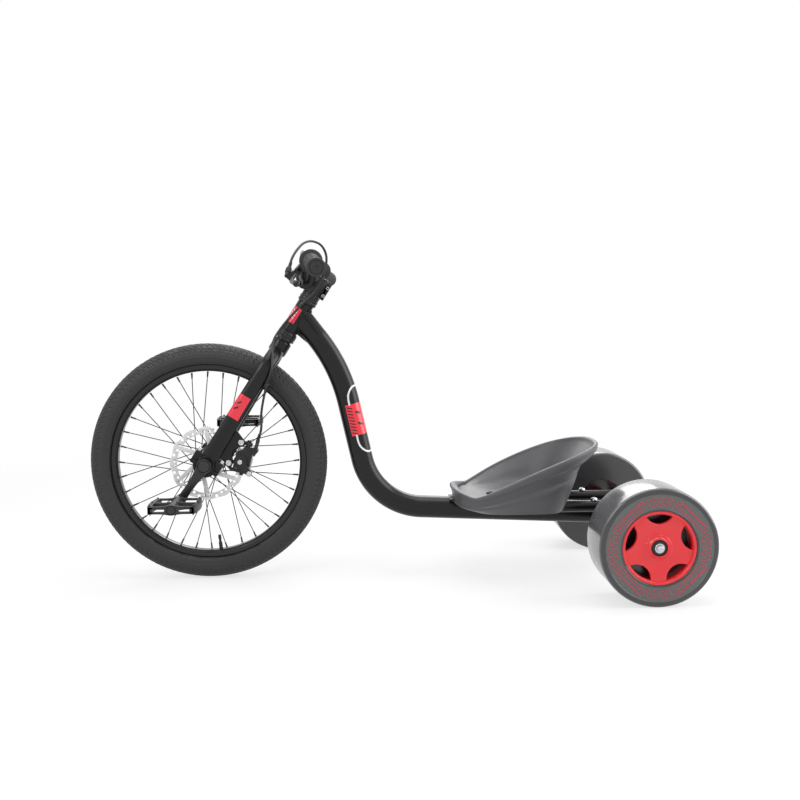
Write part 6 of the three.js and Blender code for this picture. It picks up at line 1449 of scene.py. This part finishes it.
def grip_grid(steps=144):
    """Radius over length s and angle a: a turned profile, less ribs 0.5 + 0.5 sin(2 pi s / pitch) in the
    middle stretch, and the ribs are broken by flutes at equal angles."""
    end = GRIP_LONG - 0.3
    profile = eased([[BAR_RADIUS + 0.3, 0.0], [GUARD_RADIUS, 0.0], [GUARD_RADIUS, GUARD_WIDE],
        [GRIP_RADIUS, GUARD_WIDE + 1.5]], 1.2, closed=False)
    rib_s = np.linspace(GUARD_WIDE + 2.5, end - GRIP_END_WIDE - 0.5, 132)
    ribs = np.stack([np.full(132, GRIP_RADIUS), rib_s], 1)
    outer = eased([[GRIP_RADIUS, end - GRIP_END_WIDE], [GRIP_END_RADIUS, end - GRIP_END_WIDE + 0.6],
        [GRIP_END_RADIUS, end], [13.2, end], [12.8, end - 0.9], [12.0, end - 0.9], [12.0, end - 4.0],
        [BAR_RADIUS + 0.3, end - 4.0]], 1.0, closed=False)
    s = np.concatenate([profile[:, 1], ribs[:, 1], outer[:, 1]])
    radius = np.concatenate([profile[:, 0], ribs[:, 0], outer[:, 0]])
    angle = full_turn(steps)
    middle = np.zeros(len(s))
    middle[len(profile):len(profile) + len(ribs)] = np.minimum(1, np.minimum(
        ribs[:, 1] - ribs[0, 1], ribs[-1, 1] - ribs[:, 1]) / 3.0)
    wave = 0.5 - 0.5 * np.sin(2 * np.pi * s / RIB_PITCH)
    flute = np.clip(2.5 * np.cos(FLUTES * angle) - 1.4, 0, 1)
    cut = RIB_DEEP * middle[:, None] * np.maximum(wave[:, None] ** 0.6, flute[None, :])
    return about(radius[:, None] - cut, angle, s[:, None])


plug_rubber = finish("plug_rubber", linear(26, 26, 27), 0.5, grain_scale=1500.0, dust_amount=0.05)
plug = eased([[0, GRIP_LONG - 3.8], [11.7, GRIP_LONG - 3.8], [11.7, GRIP_LONG - 0.5],
    [3.4, GRIP_LONG - 0.2], [2.6, GRIP_LONG - 1.6], [0, GRIP_LONG - 1.8]], 0.5, closed=False)
for side_name, mirror in (("left", OTHER_SIDE), ("right", np.ones(3))):
    end, knee = BAR_END * mirror, BAR_KNEE * mirror
    outward = unit(end - knee)
    start = BAR_CENTRE + end - outward * GRIP_LONG
    grip = ringed(start + grip_grid() @ axis_frame(outward).T, closed=True)
    piece("grip_" + side_name, grip, "steering", *RUBBER, crease=50)
    piece("bar_plug_" + side_name, turned(plug, start, outward, 64), "steering", "rubber", plug_rubber)

# %% [markdown]
# The brake lever swings on a pin in a bracket clamped to the bar. A frame of three directions stands at the
# clamp: forwards and down to where the fingers reach, outwards along the bar, and up. The bracket keeps its
# CAD shape with round edges. The lever's blade is an oval carried along its bend, a little narrower in its
# middle, with a ball at its tip.

# %% Brake lever
end, knee = BAR_END * OTHER_SIDE, BAR_KNEE * OTHER_SIDE
lever_out = unit(end - knee)
LEVER_ORIGIN = BAR_CENTRE + end + (knee - end) * CLAMP_IN / BAR_SWEEP[1]
REACH_DOWN = np.radians(44.3)
reach = np.array([-np.cos(REACH_DOWN), 0.0, -np.sin(REACH_DOWN)])
reach = unit(reach - lever_out * reach.dot(lever_out))
LEVER_AXES = np.stack([reach, lever_out, np.cross(reach, lever_out)])
PIVOT, LEVER_KNEE, LEVER_TIP = (34.0, 6.0, 0.0), (54.0, 40.0, 0.0), (47.0, 120.0, 0.0)
BARREL_ROOT, BARREL_TIP = np.array([54.9, -7.4, 6.7]), np.array([39.4, -22.5, 13.6])


def at_lever(points):
    """Places [reach, out, up] at the lever's clamp, on the trike."""
    return LEVER_ORIGIN + np.asarray(points, float) @ LEVER_AXES


blade = bent([PIVOT, LEVER_KNEE, LEVER_TIP], [40.0], steps=16, spacing=5.0)
share = np.linspace(0, 1, len(blade))
across_blade = 5.0 - 0.9 * np.sin(np.pi * share) ** 2
blade_skin = moved(carried(blade, 3.0, across_blade, first_side=(0, 0, 1), around=40, power=2.6),
    at_lever)
arc = np.linspace(-np.pi / 2, np.pi / 2, 15)
ball = moved(turned(on_circle(arc, 6.5), LEVER_TIP, (0, 0, 1), 40), at_lever)
eye = moved(turned(tube(3.3, 7.0, -3.0, 3.0, 0.6), PIVOT, (0, 0, 1), 48, closed=True), at_lever)
piece("lever", [blade_skin, ball, eye], "brake_lever", *ALLOY, "brake_lever")
pin = eased([[0, -6.5], [3.0, -6.5], [3.0, 6.8], [4.5, 6.8], [4.5, 8.3], [2.4, 8.3], [2.2, 7.4],
    [0, 7.4]], 0.3, closed=False)
piece("lever_pin", moved(turned(pin, PIVOT, (0, 0, 1), 40), at_lever), "steering", *STEEL)
rounded_copy("lever_bracket", *ALLOY, edge=0.7)

barrel = BARREL_TIP - BARREL_ROOT
barrel_long = np.linalg.norm(barrel)
collar_angle = full_turn(72)
collar_profile = tube(5.05, 5.9, barrel_long * 0.42, barrel_long * 0.86, 0.4)
collar_radius = collar_profile[:, :1] + np.where(collar_profile[:, :1] > 5.6,
    0.22 * np.cos(18 * collar_angle), 0)
collar_grid = about(collar_radius, collar_angle, collar_profile[:, 1:])
collar = moved(ringed(BARREL_ROOT + collar_grid @ axis_frame(barrel).T, closed=True), at_lever)
clamp_screw = moved(button_screw((20.0, 0.0, 6.9), (0, 0, 1), 3.4, 2.2), at_lever)
piece("barrel_adjuster", collar, "steering", *ALLOY)
piece("clamp_screw", clamp_screw, "steering", *STEEL)

# %% [markdown]
# The brake cable leaves the barrel, arches over the grip, and runs down behind the left fork leg to the
# caliper. It is held at both ends and by a clip, so it isn't a free cord. Its places are the CAD route's,
# with a smooth curve through them and a metal ferrule at either end. A ribbed boot closes the lower end.

# %% Brake cable
CABLE_RADIUS, BOOT_ABOVE, BOOT_BELOW = 2.5, 24.0, 12.0
CABLE_ROUTE = np.array([[209, -160, 702], [220, -140, 714], [233, -120, 718.4], [247, -100, 715],
    [256, -80, 706], [261, -62, 688], [255, -47, 655], [235, -38, 620], [205, -34, 590], [187, -28, 571],
    [166, -26, 548], [146, -36, 516], [145, -58, 482], [143, -67, 456], [132, -62, 424], [120, -64, 365]],
    float)
CABLE_STOP = np.array([73.6, -64.9, 81.0])
WIRE_UP = np.array([-0.2767, 0.0, 0.9609])
barrel_out = (at_lever(BARREL_TIP) - at_lever(BARREL_ROOT)) / barrel_long
boot_top = steered(CABLE_STOP + WIRE_UP * (BOOT_ABOVE + 0.3))
cable_places = np.concatenate([
    [at_lever(BARREL_TIP) + barrel_out * 0.3, at_lever(BARREL_TIP) + barrel_out * 25.0],
    CABLE_ROUTE + [FRONT_SHIFT, 0, 0],
    [steered(CABLE_STOP + WIRE_UP * 48.0), boot_top]])
cable_path = smooth_through(cable_places, step=3.0)
cable_path = np.concatenate([cable_path, boot_top[None]])
piece("brake_cable", carried(cable_path, CABLE_RADIUS, first_side=(0, 1, 0), around=20), "steering",
    "black_plastic", cable_skin)
ferrule = eased([[2.55, 0.3], [3.3, 0.3], [3.3, 11.0], [2.9, 13.0], [2.55, 13.0]], 0.4)
ferrule_skins = [turned(ferrule, at_lever(BARREL_TIP), barrel_out, 40, closed=True),
    turned(ferrule, boot_top, steered(CABLE_STOP + WIRE_UP) - steered(CABLE_STOP), 40, closed=True)]
piece("ferrules", ferrule_skins, "steering", *DULL_STEEL)
below = np.linspace(BOOT_ABOVE, -BOOT_BELOW, 97)
narrow = np.clip((-below - 5.0) / 7.0, 0, 1)
ribbed = 0.55 * (0.5 - 0.5 * np.cos(2 * np.pi * below / 4.0))
ribbed *= np.clip((20.0 - below) / 3.0, 0, 1) * (1 - narrow)
boot_radius = np.minimum(4.2 - ribbed - narrow * 2.5, 4.2)
boot_profile = np.concatenate([[[0.0, BOOT_ABOVE]], np.stack([boot_radius, below], 1),
    [[1.1, -BOOT_BELOW], [1.1, -BOOT_BELOW + 3.0], [0.0, -BOOT_BELOW + 3.0]]])
piece("cable_boot", moved(turned(boot_profile, CABLE_STOP, WIRE_UP, 40), steered), "steering", *RUBBER,
    crease=60)
rounded_copy("cable_clip", "black_plastic", pedal_plastic, edge=0.4)

# %% [markdown]
# The brake works on the disc behind the left leg. A steel adapter is bolted to the fork's plate and carries
# the caliper on two post bolts. The caliper keeps its CAD shape, with its cast edges rounded. Bright bolts
# and the brake arm with its nut are made here.

# %% Brake caliper
PISTON, ARM_PLANE, ARM_LONG, ARM_TURN = np.array([58.6, 43.7]), -64.9, 31.0, np.radians(-21.0)
rounded_copy("caliper_adapter", *ALLOY, edge=0.6)
rounded_copy("caliper_body", *ALLOY, edge=0.9)
rounded_copy("brake_pad_inner", "black_steel", pad_stuff, edge=0.4)
rounded_copy("brake_pad_outer", "black_steel", pad_stuff, edge=0.4)

TAB_BOLT, TAB_HEAD, TAB_HEAD_HIGH, TAB_BOLT_LONG = 3.0, 6.0, 5.0, 12.0
for name, along in (("lower", TAB_LOW), ("upper", TAB_HIGH)):
    at = (TAB_BEHIND, -TAB_FACE - 0.3, along)
    bolt = eased([[0, -TAB_BOLT_LONG], [TAB_BOLT, -TAB_BOLT_LONG], [TAB_BOLT, 0.0], [TAB_HEAD, 0.0],
        [TAB_HEAD, TAB_HEAD_HIGH], [3.2, TAB_HEAD_HIGH], [3.0, 2.0], [0, 2.0]], 0.5, closed=False)
    skin = turned(bolt, at, (0, -1, 0), 48)
    piece("adapter_bolt_" + name, moved(skin, steered), "steering", *STEEL)

ARM_DIRECTION = on_circle(ARM_TURN)


def strap_outline(first, first_radius, second, second_radius, waist=0.0, count=18):
    """Two circles joined by their outer tangents; the sides are drawn in by a half sine in the middle."""
    first, second = np.asarray(first, float), np.asarray(second, float)
    way = unit(second - first)
    side = np.array([-way[1], way[0]])
    lean = np.arcsin((first_radius - second_radius) / np.linalg.norm(second - first))
    back = np.linspace(np.pi / 2 - lean, 1.5 * np.pi + lean, 2 * count)
    front = np.linspace(-np.pi / 2 + lean, np.pi / 2 - lean, 2 * count)
    round_first = first + on_circle(back, first_radius) @ [way, side]
    round_second = second + on_circle(front, second_radius) @ [way, side]
    t = np.linspace(0, 1, count + 2)[1:-1, None]
    low = between(round_first[-1], round_second[0], t) + side * waist * np.sin(np.pi * t)
    high = between(round_second[-1], round_first[0], t) - side * waist * np.sin(np.pi * t)
    return np.concatenate([round_first, low, round_second, high])


arm_end = PISTON + ARM_DIRECTION * ARM_LONG
arm_outline = strap_outline(PISTON, 10.0, arm_end, 6.0, waist=0.8)
arm_skin = flat([arm_outline], ARM_PLANE - 2.0, ARM_PLANE + 2.0, steered_plate, edge=0.7)
arm_nut = [[0, -0.5], [5.5, -0.5], [5.5, 1.5], [5.0, 2.0], [0, 2.0]]
wire_screw = [[0, -0.5], [5.0, -0.5], [5.0, 1.6], [4.6, 2.0], [2.4, 2.0], [2.2, 1.0], [0, 1.0]]
arm_nuts = [moved(turned(profile, (at[0], ARM_PLANE - 2.0, at[1]), (0, -1, 0), steps, sides=sides),
    steered) for profile, at, steps, sides in ((arm_nut, PISTON, 48, {1: 6, 2: 6, 3: 6}),
    (wire_screw, arm_end, 40, {4: 6, 5: 6}))]
piece("brake_arm", arm_skin, "caliper_arm", *ALLOY, "caliper_arm")
piece("brake_arm_nuts", arm_nuts, "caliper_arm", *STEEL)

# %% [markdown]
# The cranks sit on a steel spindle through the hub. Each is a forged arm, drawn in between its boss and its
# eye, with a dust cap pressed into the boss. The pedals are open platforms: two rails that bow outwards,
# end plates with a window each side of a round end cap, a rib, a barrel round the axle, and grip pins.

# %% Cranks
CRANK_LONG, CRANK_ANGLE = 88.0, np.radians(54.5)
CRANK_FACE, CRANK_OUT, BOSS_OUT, BOSS_RADIUS = 71.0, 83.0, 88.0, 15.5
CRANK_WAY = np.array([-np.cos(CRANK_ANGLE), -np.sin(CRANK_ANGLE)])
PEDAL_IN, PEDAL_WIDE = 92.0, 96.0


def crank_skins(side):
    """A crank and its cap, worked out for the left about the hub; the right one is half a turn round."""
    eye = CRANK_WAY * CRANK_LONG

    def put_on(p):
        return HUB - side * p

    arm_edge = [strap_outline((0, 0), 14.6, eye, 9.6, waist=3.4)]
    arm = flat(arm_edge, -CRANK_OUT, -CRANK_FACE, lambda p: put_on(p[..., [0, 2, 1]]), edge=2.2,
        edge_steps=3)
    boss = eased(np.array([
        [11.3, BOSS_OUT - CRANK_FACE + 0.2], [BOSS_RADIUS, BOSS_OUT - CRANK_FACE + 0.2], [BOSS_RADIUS, 0],
        [13.4, 0], [13.0, 1.2], [12.6, 1.6], [12.6, 2.6], [11.3, 2.9]]) - [0, BOSS_OUT], 0.8)
    eye_at = np.array([eye[0], 0.0, eye[1]])
    shoulder = eased([[0, -PEDAL_IN + 0.3], [10.0, -PEDAL_IN + 0.3], [10.5, -CRANK_OUT + 2.0],
                      [0, -CRANK_OUT + 2.0]], 0.8, closed=False)
    axle = rod(6.5, -183.0, -CRANK_OUT + 2.0, 0.8)
    eye_ring = rod(10.2, -CRANK_FACE + 0.1, -CRANK_OUT - 0.4, 1.2)
    cap = eased(np.array([[0, 1.1], [5.0, 1.0], [11.6, 0.9], [12.4, 1.5], [12.4, 4.0], [0, 4.0]])
                - [0, BOSS_OUT], 0.5, closed=False)
    skins = [moved(turned(p, at, (0, 1, 0), 72, closed=p is boss), put_on)
             for p, at in ((boss, (0, 0, 0)), (shoulder, eye_at), (axle, eye_at), (eye_ring, eye_at),
                           (cap, (0, 0, 0)))]
    return [arm] + skins[:-1], skins[-1]


for side_name, side in SIDES:
    arm_skins, cap_skin = crank_skins(side)
    piece("crank_" + side_name, arm_skins, "crankset", "black_alloy", crank_black)
    piece("crank_cap_" + side_name, cap_skin, "crankset", "black_alloy", cap_plastic)

# %% Pedals
PEDAL_HALF, PEDAL_BOW, RAIL_WIDE, PLATE_LOW, PEDAL_END, RIB = 46.5, 5.0, 10.0, 7.6, 8.0, 7.0
PEDAL_TALL, END_CAP, PEDAL_BARREL, PIN = 10.4, 9.9, 10.6, 1.5


def rail_bow(y):
    """How far a rail bows outwards at a place along it: a cosine hump."""
    return PEDAL_BOW * np.cos(np.pi * y / PEDAL_WIDE) ** 0.8


def bowed_rail(side):
    """The outline of a rail along the axle, which is as high as the end plates."""
    y = np.linspace(-PEDAL_WIDE / 2, PEDAL_WIDE / 2, 25)
    outer = np.stack([side * (PEDAL_HALF + rail_bow(y)), y], 1)
    inner = np.stack([side * (PEDAL_HALF - RAIL_WIDE + rail_bow(y)), y], 1)
    return np.concatenate([outer, inner[::-1]])


def end_plate_outline():
    """The end plate seen along the axle: low at its ends, and swelling to the round cap in its middle."""
    x = np.linspace(-PEDAL_HALF, PEDAL_HALF, 41)
    top = PLATE_LOW + (PEDAL_TALL - PLATE_LOW) * np.exp(-(x / 13.0) ** 2)
    return np.concatenate([np.stack([x, top], 1), np.stack([x, -top], 1)[::-1]])


def window_outline(side):
    """A long opening with round ends between the cap and the end of the plate."""
    inner, outer, half = 13.5, PEDAL_HALF - 6.0, 3.3
    turn = np.linspace(-np.pi / 2, np.pi / 2, 9)
    far = np.stack([outer - half + half * np.cos(turn), half * np.sin(turn)], 1)
    near = np.stack([inner + half - half * np.cos(turn), -half * np.sin(turn)], 1)
    return np.concatenate([far, near]) * [side, 1]


def pedal_skins():
    """A pedal about its own axle: rails, end plates with windows, a rib, the barrel, its cap and pins."""
    skins = [flat([bowed_rail(s)], -PLATE_LOW, PLATE_LOW, np.asarray, edge=1.2, edge_steps=3)
        for s in (-1, 1)]
    half = PEDAL_WIDE / 2
    for low, high in ((-half, -half + PEDAL_END), (half - PEDAL_END, half)):
        skins.append(flat([end_plate_outline(), window_outline(-1), window_outline(1)], low, high,
            edge=0.9, edge_steps=2))
    rib = end_plate_outline() * [1.0 + PEDAL_BOW / PEDAL_HALF * 0.4, 0.92]
    skins.append(flat([rib], -RIB / 2, RIB / 2, edge=0.8))
    skins.append(turned(eased([[7.6, -half + 4.0], [PEDAL_BARREL, -half + 1.0], [PEDAL_BARREL, half],
        [7.6, half]], 0.8), (0, 0, 0), (0, 1, 0), 56, closed=True))
    cap = eased([[0, -half + 0.4], [2.4, -half + 0.4], [2.8, -half + 1.2], [7.2, -half + 1.0],
        [7.8, -half], [END_CAP, -half], [END_CAP, -half + 6.0], [0, -half + 6.0]], 0.4, closed=False)
    skins.append(turned(cap, (0, 0, 0), (0, 1, 0), 56))
    pin = np.array([[0, -1.0], [PIN, -1.0], [PIN, 2.5], [PIN * 0.6, 3.0], [0, 3.0]]) + [0, PLATE_LOW]
    for x in (-1, 1):
        for y in (-half + 6.0, half - 6.0, 0.0):
            at = (x * (PEDAL_HALF - RAIL_WIDE / 2 + rail_bow(y)), y, 0.0)
            skins += [turned(pin, at, (0, 0, up), 14) for up in (-1, 1)]
    return skins


for side_name, side in SIDES:
    eye = -side * np.array([CRANK_WAY[0], 0.0, CRANK_WAY[1]]) * CRANK_LONG
    middle = HUB + eye + [0.0, side * (PEDAL_IN + PEDAL_WIDE / 2), 0.0]
    turn_out = np.array([1.0, -side, 1.0])
    skins = [moved(s, lambda p: middle + p * turn_out) for s in pedal_skins()]
    piece("pedal_" + side_name, skins, "pedal_" + side_name, "black_plastic", pedal_plastic)

# %% [markdown]
# Two plain red panels are left: one round the left fork leg, with two short black bars, and one on the head
# tube. Each is a thin closed patch on the surface that it covers, worked out from that surface's formula.

# %% Painted panels on the fork and the head tube
def on_leg(along, turn, lift):
    """Places on the left leg, at a distance along it from the hub and a turn from its rear edge (0)."""
    cos, sin = oval(turn, LEG_POWER)
    behind, right = (leg_wide(along) + lift) * cos, (LEG_SIDE + lift) * sin - LEG
    return steered(np.stack(np.broadcast_arrays(behind, right, along), -1))


def on_head(along, turn, lift):
    """Places on the head tube, at a distance along it and a turn from its rear line (0)."""
    return steered(about(HEAD_RADIUS + lift, turn, along))


piece("fork_panel", patch(on_leg, 116.0, 170.0, *np.radians([-178.0, -62.0])), "steering", "red_plastic",
    red_film)
fork_bars = [patch(on_leg, along, along + 4.5, *np.radians([-128.0, -100.0]), 2 * FILM, 7.0)
    for along in (136.0, 149.0)]
piece("fork_panel_bars", fork_bars, "steering", "black_paint", black_film)
piece("head_panel", patch(on_head, 349.0, 385.0, *np.radians([-205.0, -88.0])), "frame", "red_plastic",
    red_film)
head_bars = [patch(on_head, along, along + 1.6, *np.radians([-150.0, -108.0]), 2 * FILM, -6.0)
    for along in (361.0, 368.0, 375.0)]
piece("head_panel_bars", head_bars, "frame", "grey_plastic", white_film)

# %% [markdown]
# The last small parts are screws, nuts and shafts. The seat's screws have domed heads with a socket and sit
# in the bowl; the rails end in two more. Each rear wheel is held by a nut with a collar on the threaded end
# of one long axle.

# %% Screws, nuts and shafts
SEAT_SCREWS = (("seat_bolt_front", 612.0, 0.0), ("seat_bolt_rear_left", 700.0, -60.0),
    ("seat_bolt_rear_right", 700.0, 60.0))


def screw(at, down, shank, head, high):
    """A socket screw with its shank: the head's dome above the seat and the shank below, both turned."""
    return [button_screw(at, (0, 0, 1), head, high), turned(rod(shank, -down, 0.4, 0.4), at, (0, 0, 1),
        28)]


for name, x, y in SEAT_SCREWS:
    piece(name, screw((x + FRONT_SHIFT, y, SEAT_FLOOR + 0.3), 24.0, 4.0, 8.9, 4.4), "frame", *DULL_STEEL)
for name, y in (("rail_bolt_left", -RAIL_HALF), ("rail_bolt_right", RAIL_HALF)):
    at = (829.0 + FRONT_SHIFT, y, RAIL_HEIGHT + RAIL_RADIUS + 0.3)
    piece(name, screw(at, 14.0, 3.6, 7.4, 5.4), "frame", *STEEL)

AXLE_RADIUS, AXLE_REACH, NUT_RADIUS, NUT_IN, NUT_OUT = 6.0, 305.5, 9.5, 295.5, 302.5
thread = np.stack([AXLE_RADIUS - 0.25 - 0.25 * np.cos(np.pi * np.arange(29)),
    np.linspace(NUT_OUT - 3.0, AXLE_REACH - 0.7, 29)], 1)
axle_half = np.concatenate([thread, [[AXLE_RADIUS - 0.9, AXLE_REACH], [0, AXLE_REACH]]])
axle_profile = np.concatenate([(axle_half * [1, -1])[::-1], axle_half])
piece("rear_axle", turned(axle_profile, AXLE, ACROSS, 48), "frame", *STEEL, crease=60)
for side_name, side in SIDES:
    collar_part = tube(6.2, NUT_RADIUS + 0.1, NUT_IN, NUT_IN + 1.4, 0.3)
    hexagon = np.array([[6.2, NUT_IN + 1.0], [NUT_RADIUS * 0.8, NUT_IN + 1.0],
        [NUT_RADIUS * 0.8, NUT_OUT - 0.9], [NUT_RADIUS * 0.74, NUT_OUT], [6.2, NUT_OUT]])
    nut_skins = [turned(collar_part, AXLE, (0, side, 0), 48, closed=True),
                 turned(hexagon, AXLE, (0, side, 0), 48, closed=True, sides={1: 6, 2: 6})]
    piece("axle_nut_" + side_name, nut_skins, "frame", *STEEL)

# %% [markdown]
# A few CAD parts have the right shape as they are, and mostly lie inside others. They stay, and only get
# their material: the bearings between head tube and fork, the crank spindle, the bare brake wire, and the
# plate under the front of the seat.

# %% Materials for the parts that stay
kept_finishes = {"headset_bearing_lower": bearing_dark, "headset_bearing_upper": bearing_dark,
                 "crank_spindle": bright_steel, "inner_wire": bright_steel}
rounded_copy("seat_front_mount", *ALLOY, edge=1.2)
for name, material in kept_finishes.items():
    for place in nodes[name].material_slots:
        place.material = material
print("kept with a new material:", sorted(kept_finishes))
